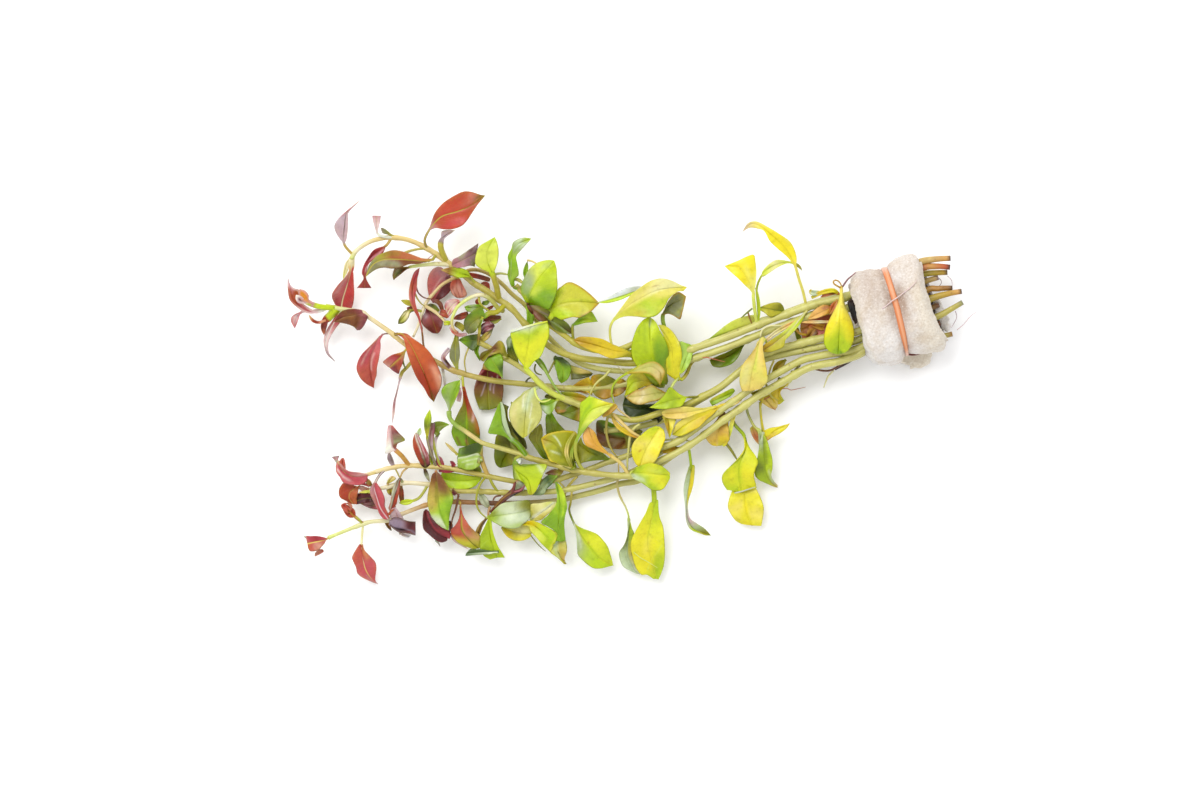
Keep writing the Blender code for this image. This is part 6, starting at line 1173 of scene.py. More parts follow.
        left=[(632, 528), (634, 534), (632, 545), (632, 555), (634.6, 564), (639, 572)], right=[(628, 530),
        (627, 538), (624, 545), (620, 550.6), (619, 555), (620.6, 562), (624, 567.4), (629, 570.4),
        (635, 573.4)], tone="limeDark greyGreen paleGreyGreen paleGreyGreen whiteGreen",
        leftTone="yellowOlive limeDark oliveTan silver whiteGreen",
        rightTone="greyGreen greyGreen paleGreyGreen paleGreyGreen", stalk=0.6,
        stalkTone="ochreBrown tan paleTan limePale", ribTone="greyGreen", ribbing=0.5, veins=0.6,
        marks=[(0.2, -0.3, 0.9, -0.3, 0.4, "greyGreen", 0.6), (0.2, 0, 0.8, 0.1, 0.3, "greyGreen", 0.7),
        (0, 0.3, 0.35, 0.6, 0.8, "limeDark", 0.7)]),
    brownBackLeaf=dict(start=0.06, rib=[(563, 468, 0), (559, 472.4, 9), (553, 472.6, 8.8),
        (545, 473.6, 8.8)], wide=(3.6, 3.8), base=0.6, tone="brown olive brown brown", ribbing=0.1),
    thinYellowLeaf=dict(start=0.55, rib=[(765, 390, 0), (761, 405, 9), (761.6, 418, 8.6), (763.6, 429, 8),
        (766, 437, 7.6), (774, 431, 8), (790, 423.6, 8)], left=[(765, 430), (771, 427.6), (778, 426.6),
        (786, 424.4)], right=[(766, 441), (772, 437.6), (779, 434), (786, 429)],
        tone="golden golden yellow yellowBright yellow golden",
        leftTone="golden yellow yellowBright yellow", rightTone="golden ochre golden yellow golden",
        stalk=0.45, stalkTone="yellowOlive", ribTone="golden", ribbing=0.4),
    brightCornerLeaf=dict(kind="own", rib=[(522, 455, 0), (515, 459, 12.4), (513, 465, 12.8),
        (517, 471, 12.8), (528, 480, 12.6), (531.6, 495, 12)], left=[(522, 466), (532, 464.2), (541, 463.8),
        (547.4, 465), (544, 473), (540.6, 481), (536, 491)], right=[(513.6, 478), (519, 479.6), (524, 483),
        (527, 489.6), (528.6, 494)], tone="green greenOlive limeDeep limeDeep lime yellowOlive",
        ribbing=0.1, marks=[(0.25, 0.75, 0.55, 0.65, 0.7, "whiteGreen", 0.7),
        (0, 0.3, 0.2, 0.6, 0.8, "greenDeepLime", 0.6), (0.8, -0.3, 1, -0.2, 0.8, "yellowOliveDeep", 0.6),
        (0.3, 0.95, 0.7, 0.9, 0.3, "limePale", 0.7)]),
    paleWedgeLeaf=dict(kind="free wideBase", rib=[(530.4, 520.4, 9.4), (538, 515, 9.8), (547, 509, 10),
        (556, 501.6, 9.6)], left=[(530.6, 510), (531, 504), (540, 503), (548, 501.6)], right=[(534, 521),
        (541, 520), (546, 516), (552, 511), (556, 506)],
        tone="limePale paleCream yellowOlivePale oliveTan yellowOlive",
        leftTone="yellowOlive paleCream limePale", rightTone="yellowOlive oliveTan paleCream glossOlive",
        ribTone="white", ribbing=0.4, marks=[(0.05, 0.1, 0.9, 0.08, 0.5, "white", 0.7),
        (0.3, -0.5, 0.8, -0.3, 0.6, "oliveTan", 0.5)]),
    yellowLimeLeaf=dict(kind="free wideTip", rib=[(522, 523.6, 10.4), (533, 525, 11), (541, 531, 11.2),
        (549, 539, 10.8), (554, 545, 9.8)], left=[(526, 521.6), (532, 520.4), (540, 523), (547, 526.6),
        (553, 530), (558.6, 533.4), (556.4, 540)], right=[(523, 525), (529, 526), (530.4, 531), (536, 537),
        (541, 543), (546, 548), (550, 552)], tone="golden yellow lime limeVivid limeVivid lime",
        leftTone="golden golden lime limeVivid limeVivid",
        rightTone="yellow golden limePale limeDeep limeDeep", ribTone="limeDeep",
        marks=[(0.25, 0.8, 0.95, 0.9, 0.5, "yellowSoft", 0.7), (0.3, -0.4, 0.7, -0.5, 1, "limePale", 0.6),
        (0.9, 0.8, 1, -0.6, 0.5, "yellowSoft", 0.6)]),
    paleTipLeaf=dict(kind="free wideBase", rib=[(558, 540, 9), (558, 550, 9.2), (561, 558, 8.8),
        (566.6, 564, 7.6)], left=[(565.8, 540), (567.2, 547), (566.6, 553), (564.6, 559)],
        right=[(551, 547), (550, 552), (556, 556.6), (561, 561), (564, 564)],
        tone="greyGreen glossOlive paleTan oliveTan greyOlive", leftTone="glossOlive oliveTan tan oliveTan",
        rightTone="greyGreen yellowOlivePale yellowOlive oliveTan", ribTone="paleCream", ribbing=0.4,
        marks=[(0.1, -0.9, 0.9, -0.9, 0.6, "yellowOlive", 0.7), (0.1, 0.3, 0.6, 0.2, 0.5, "oliveTan", 0.6),
        (0.05, -0.3, 0.5, -0.3, 0.8, "paleGreyGreen", 0.6)]),
    longHangingLeaf=dict(kind="own wideTip", start=0.3, rib=[(652, 470, 0), (653.6, 490, 9.4),
        (654, 504, 9), (651, 522, 8), (648, 542, 7), (652, 562, 5.6), (657, 579, 4.4)], left=[(658, 500),
        (658.6, 510), (660, 518), (663, 526), (664.2, 535), (664.8, 545), (665, 555), (664, 565),
        (661.6, 573), (658.6, 579.6)], right=[(649.6, 503), (646, 512), (641, 521), (635, 532),
        (631.4, 540), (630.6, 547), (632, 555), (634, 563), (637, 570), (641.6, 575), (647, 575),
        (653, 579)], tone="limeDeep yellowLime yellowLime yellowLime yellow yellow limeDeep",
        leftTone="limeDeep limeDeep yellowLime yellowLime limeDeep limeDeep",
        rightTone="limeDeep yellowLime yellow yellow yellow limeDeep", under="limeDeep", stalk=1.9,
        stalkTone="limeDeep limeDeep", ribTone="limePale",
        marks=[(0.6, 0.72, 0.83, -0.35, 0.28, "limePale", 0.9), (0.55, 0.3, 0.75, -0.1, 2.2, "yellow", 0.7),
        (0.8, 0.72, 0.92, 0.5, 0.5, "ochreBrown", 0.8), (0.72, 0.4, 0.9, 0, 1.4, "limeDark", 0.5),
        (0.5, 0, 0.62, -0.2, 1.4, "yellowSoft", 0.5), (0.35, 0.85, 0.42, 0.8, 0.5, "yellowSoft", 0.5),
        (0, -0.9, 0.2, -0.9, 0.3, "greenOlive", 0.7)]),
    darkUnderLeaf=dict(kind="free", rib=[(525, 450, 8), (521, 442, 8.6), (514, 432, 9), (508, 420, 9)],
        wide=5, base=0.5, tone="darkOlive darkOlive deepGreen olive", ribbing=0.1),
    oliveDropLeaf=dict(kind="free", rib=[(548.4, 461, 9.6), (542, 450, 10.4), (536.4, 440, 11),
        (539.6, 424, 12.6)], left=[(541.6, 457), (534, 446), (528.6, 437), (533, 430.6)], right=[(546, 452),
        (542.6, 442), (543, 432), (541.6, 425)], tone="darkGreen greenOlive olive olive", ribbing=0.3),
    goldTipLeaf=dict(kind="free", rib=[(603, 416.6, 16.6), (609, 411, 17.2), (616.6, 405, 17.6)], wide=3.4,
        end=0.6, tone="goldenDeep ochre goldenDeep", ribbing=0.1),
    tanCurlOneLeaf=dict(kind="free", rib=[(572, 468, 11), (568.4, 460, 13), (566.4, 452, 14),
        (568.6, 442, 14.6), (575, 432, 15)], wide=2, base=0.9, end=0.5,
        tone="oliveTan paleOlive tanPale paleOlive oliveTan", ribTone="olive", ribbing=0.3),
    paleCurlTwoLeaf=dict(kind="free", rib=[(574, 468, 11), (571.6, 459, 12.6), (572, 451, 13.4),
        (575.6, 443, 14)], wide=1.8, base=0.9, end=0.5, tone="paleOlive paleOlive greenPale greenPale",
        ribbing=0.3),
    paleCornerCurlLeaf=dict(kind="free", rib=[(520, 459, 12), (517.6, 463, 12.4), (514, 468, 12.2)],
        wide=(2.6, 3), base=0.6, tone="paleGreyGreen white paleGreyGreen green", ribbing=0.1),
    oliveGapLeaf=dict(kind="free", start=0.03, rib=[(786, 359.6, 9), (779, 366, 9), (772, 375, 9)],
        wide=(4, 4.4), tone="yellowOliveDeep goldenDeep yellowOliveDeep"),
    oliveCrumpleLeaf=dict(kind="free wideBase", rib=[(710, 402, 12), (722, 397, 12.4), (735, 391, 12)],
        left=[(712, 398), (722, 393), (732, 388.4)], right=[(712, 406), (720, 402), (730, 396.6)],
        tone="limeDark green limeDark greyGreen", leftTone="oliveTan limeDeep greenPale",
        rightTone="green limeDark green", ribTone="limeDeep"),
),
"lowerTan": dict(
    crimsonUnderLeaf=dict(kind="free", rib=[(439, 470.6, 9.8), (446, 471.6, 9.9), (454.6, 471.6, 9.4)],
        wide=1.5, base=0.7, tone="maroon crimson maroon", ribbing=0),
    # greenFlagLeaf: its white-green lines are painted sheen.
    greenFlagLeaf=dict(kind="own wideBase wideTip", start=0.42, rib=[(489, 476, 0), (483.4, 465, 9.4),
        (480.4, 455, 9.8), (477, 453, 9.8), (467, 456, 9.4), (457.2, 458, 9)], left=[(480, 466), (472, 470),
        (464, 469.6), (458, 467.4)], right=[(483, 445), (477, 442.6), (467, 445.6), (459, 448.6)],
        tone="green greenOlive darkGreen greenPale greenPale", leftTone="greenPale greenPale greenPale",
        rightTone="greenOlive darkGreen darkGreen green", stalk=1.7, stalkTone="tan", ribbing=0.1,
        marks=[(0.05, 0.1, 1, 0, 0.3, "whiteGreen", 0.9), (0.1, 0.35, 0.8, 0.3, 0.25, "whiteGreen", 0.6),
        (0.3, 0.6, 0.6, 0.55, 0.3, "whiteGreen", 0.5), (0.2, -0.3, 0.9, -0.3, 1.4, "darkGreen", 0.5)]),
    oliveSideLeaf=dict(kind="wideTip", start=0.06, rib=[(612, 460.6, 0), (603, 456.6, 9), (592, 453, 9.2),
        (577, 444, 9)], left=[(602, 460.2), (592, 461), (584, 462.4), (579, 463.6), (576.4, 455)],
        right=[(600, 450.6), (591, 448), (584, 444), (581, 436.6)],
        tone="green greenOlive greenOlive yellowOliveDeep yellowOliveDeep"),
    peachStripLeaf=dict(kind="free", rib=[(645, 440, 12.4), (638, 437, 13), (629, 433.6, 13.4),
        (620, 428, 13.4), (614, 421, 13.2), (611, 413.6, 12.6)], wide=(2.4, 2.6), peak=0.6, base=0.5,
        tone="tanPale orangePeach golden yellowPeach golden", ribbing=0.1),
    brightOvalLeaf=dict(kind="own free wideBase wideTip", rib=[(660, 427, 13), (653, 438, 13.8),
        (646, 450, 13.8), (640, 467, 12.4)], left=[(664, 430), (665.4, 438), (663, 445), (660, 452),
        (657, 459), (653, 464), (647, 466)], right=[(655, 426), (648, 429), (642, 434), (636, 439),
        (632, 445), (631.4, 452), (633, 459), (636, 464.6)],
        tone="yellowLime yellow yellow yellowBright yellowSoft",
        leftTone="yellow yellowBright yellowBright yellowSoft yellowBright",
        rightTone="limeDeep yellowLime yellowSoft yellow yellowBright", ribTone="yellowSoft", veins=0.2,
        marks=[(0.6, -0.35, 0.62, -0.38, 0.4, "ochre", 0.9), (0.4, 0, 0.75, 0.1, 1.2, "paleYellow", 0.5)]),
    yellowFoldLeaf=dict(kind="own", start=0.16, rib=[(728, 398, 0), (719, 406, 13.6), (708, 413, 14.6),
        (697, 418, 15), (685, 425, 14.6), (672, 434.6, 13)], left=[(712, 415), (706, 420), (699, 427),
        (692, 431), (685, 434.6), (678, 436.4)], right=[(716, 407), (708, 409.6), (699, 412), (690, 415),
        (682, 419), (676, 424), (673, 430)],
        tone="golden yellowBright yellowBright yellowBright yellow yellowOlive",
        leftTone="golden golden golden yellow yellowOlive",
        rightTone="yellowSoft yellowBright yellowBright yellowSoft yellowSoft yellowSoft", stalk=0.9,
        stalkTone="tan peachGold golden", ribTone="yellowSoft", ribbing=0.25, veins=0.2,
        marks=[(0.35, 0.25, 0.36, 0.27, 0.4, "ochre", 0.8), (0.2, 0.5, 0.6, 0.5, 1, "golden", 0.5),
        (0.7, 0.5, 0.9, 0.3, 1, "yellowOlive", 0.6), (0.5, -0.6, 0.9, -0.5, 0.8, "yellowSoft", 0.7)]),
    orangeBackLeaf=dict(kind="free wideBase wideTip", rib=[(681, 449, 9.8), (672, 449, 10),
        (662.4, 449.4, 9.6)], left=[(678, 452), (670, 453.4), (663, 453.4)], right=[(674, 446.4),
        (668, 445.4), (664, 442.6)], tone="golden orangePeach golden orangePeach", ribTone="golden"),
    greyGreenLeaf=dict(kind="wideTip", start=0.02, rib=[(432, 467, 0), (431, 452, 10.8), (430, 438, 11.6),
        (432, 422.6, 12)], left=[(430, 461), (428.6, 450), (427.2, 440), (427.6, 430), (430, 423)],
        right=[(434, 460), (433.4, 450), (433.4, 440), (435, 430), (435.4, 423)],
        tone="yellowGreen greenOlive paleMauve rosewood greyMauve", ribbing=0.1,
        marks=[(0.3, 0.4, 0.9, 0.4, 0.25, "white", 0.8), (0.3, -0.4, 0.8, -0.3, 0.25, "palePink", 0.7),
        (0, 0.4, 0.5, 0.5, 0.4, "paleOlive", 0.7), (0.6, 0, 1, 0, 0.5, "brown", 0.5)]),
    darkTopLeaf=dict(start=0.6, rib=[(440, 467, 0), (435, 450, 10.4), (433, 436, 10.8), (436.5, 427, 11.2),
        (449.6, 424.6, 11.4)], left=[(431.4, 428), (433, 423), (438, 421.2), (444, 422)], right=[(437, 437),
        (440, 431.6), (444.4, 427.6)], tone="olive greenOlive greenOlive green"),
    limeUprightLeaf=dict(start=0.5, rib=[(436, 467, 0), (431, 452, 12.6), (427.5, 438, 14),
        (427.4, 427, 15), (430.2, 409.4, 15.5)], left=[(426.6, 437), (424.5, 428), (424.5, 420),
        (427, 414)], right=[(428.6, 436), (430.4, 427), (432, 420), (431.2, 413)],
        tone="lime yellowOlive greenOlive yellowGreen lime", stalkTone="greyMauve", ribbing=0.45),
    rustUprightLeaf=dict(kind="wideBase", start=0.02, rib=[(425, 466, 0), (423.4, 456, 12),
        (420, 446, 12.5), (417, 438, 12.8), (416, 432.4, 13)], left=[(420, 463.4), (416, 455), (413.4, 447),
        (413, 440), (414.6, 434.4)], right=[(430.4, 463.4), (429.2, 455), (425.6, 448), (421.4, 440),
        (418.4, 434.4)], tone="darkBrown brown rosewood palePink white", leftTone="rust rust brick rust",
        rightTone="rosewood crimson rosewood greyPink", marks=[(0.3, 0.05, 0.95, 0.2, 0.3, "white", 0.9),
        (0.3, -0.3, 0.9, -0.2, 0.22, "palePink", 0.8), (0.1, -0.6, 0.5, -0.6, 0.2, "palePink", 0.7),
        (0.05, 0, 0.4, 0.1, 0.8, "darkBrown", 0.6)]),
    darkDropLeaf=dict(start=0.02, rib=[(424, 466, 0), (426, 474, 5.6), (429.4, 482, 5)], wide=(2.4, 2),
        tone="redBrown darkBrown silver brown"),
    pinkBrownLeaf=dict(kind="wideTip", start=0.42, rib=[(410, 465.5, 0), (402, 456, 11), (394, 448, 12),
        (391.6, 440, 12), (390.5, 425, 11.5)], left=[(385.4, 453.6), (386.4, 443), (387, 434),
        (388, 425.6)], right=[(398, 443.6), (405.4, 440), (399, 432.6), (393, 425.6)],
        tone="rosewood mauvePink mauvePink palePink", leftTone="palePink white palePink pink",
        rightTone="rosewood brown greyOlive redBrown rose", stalk=1.7, stalkTone="orangeTan", ribbing=0.1,
        marks=[(0.35, -0.8, 0.5, -0.95, 0.6, "olive", 0.8), (0.5, 0.4, 0.95, 0.3, 0.5, "rose", 0.4)]),
    faintMauveLeaf=dict(start=0.02, rib=[(395, 467.5, 0), (392, 461, 9.6), (389.5, 451.6, 10)],
        left=[(390.4, 464.6), (387.4, 459), (387.8, 454)], right=[(394.4, 463), (392, 456)],
        tone="paleMauve greyMauve paleMauve"),
    crimsonBudLeaf=dict(kind="wideBase", start=0.02, rib=[(442, 467, 0), (440.6, 460, 9), (437, 455, 9.4)],
        left=[(436.4, 463.6), (435.6, 459)], right=[(444.4, 464), (441.6, 457.6)],
        tone="crimson rosewood rustPink", ribbing=0.1),
    redCradleLeaf=dict(kind="wideTip", rib=[(378, 470.6, 0), (370, 474.4, 10.4), (360, 476.4, 10.8),
        (351, 475.8, 11.2), (343, 470.4, 11.6), (338.6, 464, 11.6), (338, 460.4, 11.4)], left=[(367, 481),
        (362, 484.6), (352, 485), (344, 483), (340, 477), (336.4, 472), (335.8, 466)], right=[(368, 474),
        (360, 472.4), (351, 471.4), (346, 469), (342, 464.4), (340.4, 460.8)],
        tone="redPink redPink redPink redPink", leftTone="crimson redPink redPink redPink rustPink",
        rightTone="rustPink pinkish redPink rustPink mauvePink", stalk=0.9, stalkTone="paleTan",
        ribTone="paleTan", ribbing=1, marks=[(0.55, 0.5, 0.9, 0.5, 0.5, "pinkWhite", 0.7),
        (0.5, 0.2, 0.9, 0.25, 0.3, "crimson", 0.7), (0.35, 0.3, 0.6, 0.6, 1, "crimson", 0.4),
        (0.5, -0.5, 0.9, -0.3, 0.4, "mauvePink", 0.7)]),
    orangeFlagLeaf=dict(kind="free wideBase", rib=[(344.6, 470.6, 11), (342.6, 464, 11.4),
        (343.6, 457.6, 11.2)], left=[(340.4, 468), (339.8, 462), (341.4, 458.4)], right=[(346, 467),
        (345.6, 463), (344.6, 459)], tone="rustPink coral coral rustPink"),
    redBladeLeaf=dict(kind="own wideTip", start=0.34, rib=[(386, 468, 0), (380.6, 474, 9.6),
        (376, 481.4, 10.6), (374.6, 489, 11.2), (377.4, 499, 11), (381, 509, 10.6), (388.6, 519.8, 9.6)],
        left=[(377, 483), (380.6, 488), (384, 495), (385.2, 500), (385, 506), (387.6, 512), (389.4, 517)],
        right=[(373, 483.4), (370.6, 488.6), (370.4, 494), (373.4, 501), (377, 508), (379.6, 514),
        (383, 518.6)], tone="redPink redPink redPink redPink redPink",
        leftTone="crimson redPink redPink redPink coral",
        rightTone="rustPink mauvePink rustPink redPink redPink", stalk=0.9,
        stalkTone="olive darkBrown greyOlive", ribTone="pinkWhite", ribbing=0.8,
        marks=[(0.1, -0.6, 0.6, -0.5, 0.7, "mauvePink", 0.6), (0.1, 0.2, 0.9, 0.2, 0.3, "crimson", 0.6),
        (0.3, -0.2, 0.75, -0.25, 0.3, "crimson", 0.7), (0.7, 0.6, 1, 0.3, 1, "coral", 0.6)]),
    limeUnderLeaf=dict(kind="free wideBase wideTip", rib=[(440, 478, 5.6), (452, 481, 6), (466, 481, 6),
        (481.6, 478.6, 5.6)], left=[(441.6, 472.6), (452, 472.6), (464, 474.6), (474, 476), (481.6, 477)],
        right=[(446, 486), (450, 490), (458, 490.4), (467, 489.6), (475, 486.4), (479, 482)],
        tone="limeDeep limeVivid limeVivid limeVivid", leftTone="limeDark green limeDeep limeDeep",
        rightTone="limeVivid limeVivid limeVivid", ribbing=0.1,
        marks=[(0.2, 0.5, 0.9, 0.5, 1.2, "lime", 0.5), (0.5, 0.85, 0.5, 0.9, 0.4, "olive", 0.5)]),
    # bigPaintedLeaf: the white-green mark near its tip on the right is painted sheen.
    bigPaintedLeaf=dict(kind="own free wideTip", rib=[(436, 470.4, 10.4), (437.6, 484, 11.8),
        (438.4, 500, 12), (441, 514, 11.6), (448.6, 530.6, 10)], left=[(441, 475), (445, 481), (449.4, 488),
        (453, 495), (453.4, 500), (451, 509), (449.6, 517), (449, 524)], right=[(432, 475), (430.4, 482),
        (428.4, 491), (427.4, 500), (428.4, 507), (431, 515), (435, 521.6), (440, 526)],
        tone="brick brown oliveTan lightGreen green lightGreen",
        leftTone="brown brown brownOchre limeDeep green green green",
        rightTone="redBrown brown ochreBrown oliveTan oliveTan lightGreen whiteGreen green",
        ribTone="tan olive olive green green", ribbing=0.5,
        marks=[(0.12, 0.05, 0.4, 0.6, 2.2, "brown", 0.8), (0.3, -0.3, 0.62, -0.5, 1.3, "tan", 0.5),
        (0.1, 0.6, 0.4, 0.9, 1, "oliveTan", 0.6), (0.15, -0.9, 0.35, -0.9, 0.7, "crimson", 0.8),
        (0, 0.4, 0.2, 0.7, 1.2, "redBrown", 0.8), (0.78, -0.5, 0.9, -0.3, 1.6, "whiteGreen", 0.7),
        (0.5, 0.6, 0.9, 0.5, 1.6, "green", 0.6), (0.6, 0.3, 0.9, 0.2, 1, "lightGreen", 0.6),
        (0.2, -0.1, 0.5, -0.15, 0.4, "olive", 0.7), (0.45, -0.9, 0.7, -0.8, 0.5, "oliveTan", 0.6)]),
    vividLongLeaf=dict(kind="own free wideTip", rib=[(556, 482, 10.4), (558.6, 492, 11.4), (560, 505, 12),
        (559, 520, 12), (558.6, 530, 11.6), (562, 541.6, 10.4)], left=[(560, 485), (564, 492), (566, 499),
        (567.4, 507), (565.4, 515), (564.4, 524), (565, 533), (565.8, 540)], right=[(555.6, 487),
        (557, 495), (556.4, 503), (553, 509), (548, 515), (541, 522), (548, 526.6), (557, 533), (556, 541)],
        tone="greenDeepLime green vividGreen green vividGreen",
        leftTone="limeDeep limeDeep green greenDeepLime vividGreen",
        rightTone="green lightGreen green vividGreen green", ribTone="lightGreen limeDeep green",
        ribbing=0.3, marks=[(0.25, 0.3, 0.6, 0.3, 0.5, "limeVivid", 0.7),
        (0.35, -0.2, 0.5, -0.3, 0.8, "lightGreen", 0.7), (0, 0, 0.15, 0, 0.6, "darkGreen", 0.7),
        (0.2, -0.5, 0.6, 0, 0.4, "limeDeep", 0.4), (0.7, 0.3, 0.9, 0, 0.8, "greenDeepLime", 0.5)]),
    blueGreenLeaf=dict(kind="free", rib=[(557, 476, 9), (549, 481, 9.6), (543, 487, 9.4),
        (532.6, 495.4, 9)], left=[(553, 483), (547, 489), (543, 494.8)], right=[(549, 474.6),
        (542.6, 479.6), (538, 488)], tone="green blueGreen greyGreen blueGreen",
        marks=[(0.4, 0.3, 0.7, 0.4, 0.4, "paleGreyGreen", 0.6)]),
    rustTipLeaf=dict(kind="free", rib=[(418, 436.5, 12.6), (419.4, 433, 12.8), (420.6, 427.6, 12.8)],
        wide=(2.6, 2.2), tone="paleOlive paleGreyGreen lightGreen", ribbing=0.1),
    silverCurveLeaf=dict(kind="free", rib=[(441, 466, 7), (438, 458, 9.6), (435.6, 449, 10.4),
        (435.6, 440, 10.8), (439.4, 432.4, 11)], wide=1.9, base=0.8, end=0.7,
        tone="greyMauve paleMauve white paleMauve greenOlive", ribbing=0.1),
    tanLanceLeaf=dict(kind="free", rib=[(457.4, 454.6, 8), (452, 449, 9), (445, 442.4, 9.4)], wide=1.8,
        tone="yellowOlive paleTan tan"),
    crimsonDotLeaf=dict(kind="free", rib=[(455, 468.4, 8.4), (453.4, 465.4, 8.8), (455, 462.6, 8.8)],
        wide=(2.3, 1.6), tone="crimson maroon", ribbing=0.45),
    mauveFlagLeaf=dict(kind="free wideTip", rib=[(337.6, 464, 10.6), (336.4, 460, 11), (335, 456.2, 10.8)],
        left=[(336, 462.4), (333.6, 459), (331.6, 457)], right=[(338.6, 463), (338.4, 459.6),
        (339.6, 455.6)], tone="pinkWhite silver mauvePink greyMauve"),
    crimsonOverLeaf=dict(kind="free", rib=[(455, 465.4, 9.6), (452.6, 463, 10), (450, 461, 10)], wide=1.8,
        base=0.7, tone="crimson maroon", ribbing=0),
    oliveTopLeaf=dict(kind="free wideBase", rib=[(458, 466, 6.6), (468, 466.6, 6.8), (481, 473.4, 6.4)],
        left=[(457, 463), (467, 462), (477, 464), (481.6, 470)], right=[(462, 469.6), (472, 472)],
        tone="oliveTan greyOlive limeDeep", ribbing=0.1),
    peachFoldLeaf=dict(kind="free", rib=[(716, 406.6, 14.2), (702, 409.6, 15.8), (688, 412, 16),
        (674, 413, 15.6), (661.6, 413.4, 14.6)], left=[(706, 411), (696, 414), (686, 418), (676, 419.4),
        (667, 418), (663, 416)], right=[(708, 407.6), (697, 407.6), (686, 406.6), (674, 407), (666, 409),
        (662, 411.6)], tone="golden peachGold paleGold peachGold peachGold tanPale",
        leftTone="yellowSoft yellowSoft peachGold peachGold peachGold",
        rightTone="paleGold paleGold peachGold paleGold", ribTone="paleGold", ribbing=0.15, veins=0.1),
    yellowTipFoldLeaf=dict(kind="free wideBase", rib=[(668, 416.6, 14.6), (669, 424, 14.6),
        (669.4, 438, 13)], left=[(676, 419.4), (674, 426), (671.6, 433)], right=[(662, 416.4), (664.6, 424),
        (667.4, 432)], tone="yellowOlive yellow golden golden yellowOlive",
        leftTone="yellow yellowSoft yellow yellowOlive", rightTone="yellowOlive goldenDeep yellowOlive",
        ribTone="yellow", ribbing=0.1, marks=[(0.1, -0.4, 0.12, -0.4, 0.4, "olive", 0.8)]),
),
"lowerBrown": dict(
    brownTwistLeaf=dict(kind="free", rib=[(523, 489, 10.4), (515, 492.6, 10.8), (508, 496, 11),
        (502, 501, 10.8), (496, 508, 10.2), (491, 513, 9.4)], wide=(2.7, 2.9), base=0.6, end=0.8,
        tone="redBrown darkBrown redBrown brown redBrown", ribTone="brown", ribbing=1,
        marks=[(0.1, 0.5, 0.9, 0.5, 0.25, "black", 0.8), (0.2, -0.5, 0.8, -0.4, 0.25, "tan", 0.6)]),
    orangeRoundLeaf=dict(kind="wideTip", start=0.16, rib=[(364, 489.6, 0), (359, 487.4, 8.4),
        (352, 490, 8.8), (349, 497, 8.4), (353, 504, 7.2)], left=[(360, 485), (358.6, 488.6), (357.8, 494),
        (357, 499), (357, 504)], right=[(352, 484.6), (345, 482), (340, 487), (338.8, 493), (340.6, 498),
        (346, 501), (349.4, 504)], tone="rust coral terracotta rust rust",
        leftTone="rust terracotta terracotta terracotta", rightTone="terracotta rust rust brick",
        ribTone="peachGold", ribbing=0.35, marks=[(0, 0.2, 0.35, 0.1, 0.4, "peachGold", 0.5)]),
    plumSquareLeaf=dict(kind="free wideBase wideTip", rib=[(372, 498.6, 7.4), (364, 498.4, 7.8),
        (354.6, 502, 7)], left=[(371, 502.4), (363, 503.4), (356, 504.6)], right=[(371.4, 493.6),
        (363, 492.6), (357.6, 493.4)], tone="plum darkMaroon plum darkMaroon darkMaroon", edge="plum",
        marks=[(0.3, 0.7, 0.7, 0.7, 0.5, "darkMaroon", 0.6), (0.2, -0.4, 0.7, -0.4, 1, "maroon", 0.5)]),
    pinkEdgeLeaf=dict(kind="free wideBase", rib=[(378, 505.6, 6), (370, 505.4, 6.4), (360.4, 503.8, 6.2)],
        left=[(377, 509.8), (370, 508.4), (364, 505.8)], right=[(376, 500.4), (372.6, 498.6), (366, 502.4)],
        tone="redPink darkMauve mauvePink darkMauve"),
    tanBitLeaf=dict(start=0.1, rib=[(372, 486, 0), (370, 483, 9.6), (366.6, 479.4, 10)], left=[(371.6, 487),
        (367.4, 484.6), (365.2, 481)], right=[(372.6, 485), (370.4, 480.4), (367.6, 478.4)],
        tone="olive oliveBrown tanBrown brown", stalk=0.6, stalkTone="olive"),
    brownBitLeaf=dict(kind="free", rib=[(387.4, 484.6, 8.6), (390, 480.4, 9), (393.4, 476.4, 9)],
        left=[(386.6, 483), (388.4, 479), (391.4, 476)], right=[(392, 482), (396, 479), (395, 477)],
        tone="tanBrown oliveTan paleTan tanBrown", ribTone="paleTan", ribbing=0.3),
    brownDropLeaf=dict(kind="wideTip", start=0.08, rib=[(402, 484, 0), (401.6, 490, 7), (401.6, 496, 7.2),
        (402.6, 502.6, 6.8)], left=[(403.4, 490), (404, 496), (404, 501)], right=[(399.4, 490),
        (398.8, 496), (400, 502)], tone="tanBrown brown rust brown terracotta", ribTone="tanBrown",
        ribbing=0.3),
    darkRolledLeaf=dict(kind="wideTip", start=0.14, rib=[(401, 472, 0), (399.6, 479, 10),
        (396.6, 488, 11.4), (393.4, 498, 11.2), (389.6, 511, 9.6)], left=[(400.4, 482), (400, 490),
        (398, 498), (396.6, 504), (392.6, 509)], right=[(397, 480), (393.6, 486), (391.6, 494),
        (390.6, 501), (388.4, 508)], tone="brown darkBrown darkBrown brown rust",
        leftTone="rust brown rust rust", rightTone="darkBrown brown silver rust", ribTone="silver",
        ribbing=0.6, marks=[(0, -0.5, 0.5, -0.5, 0.35, "silver", 0.8),
        (0.1, 0.6, 0.8, 0.6, 0.8, "rust", 0.7), (0.4, 0.2, 0.9, 0.2, 0.3, "black", 0.8),
        (0, 0, 0.3, 0.1, 0.3, "black", 0.8), (0.6, -0.5, 0.9, -0.6, 0.4, "rust", 0.8)]),
    limeCrossLeaf=dict(kind="own free wideTip", rib=[(489, 517, 8.6), (489.6, 528, 9), (491, 540, 9),
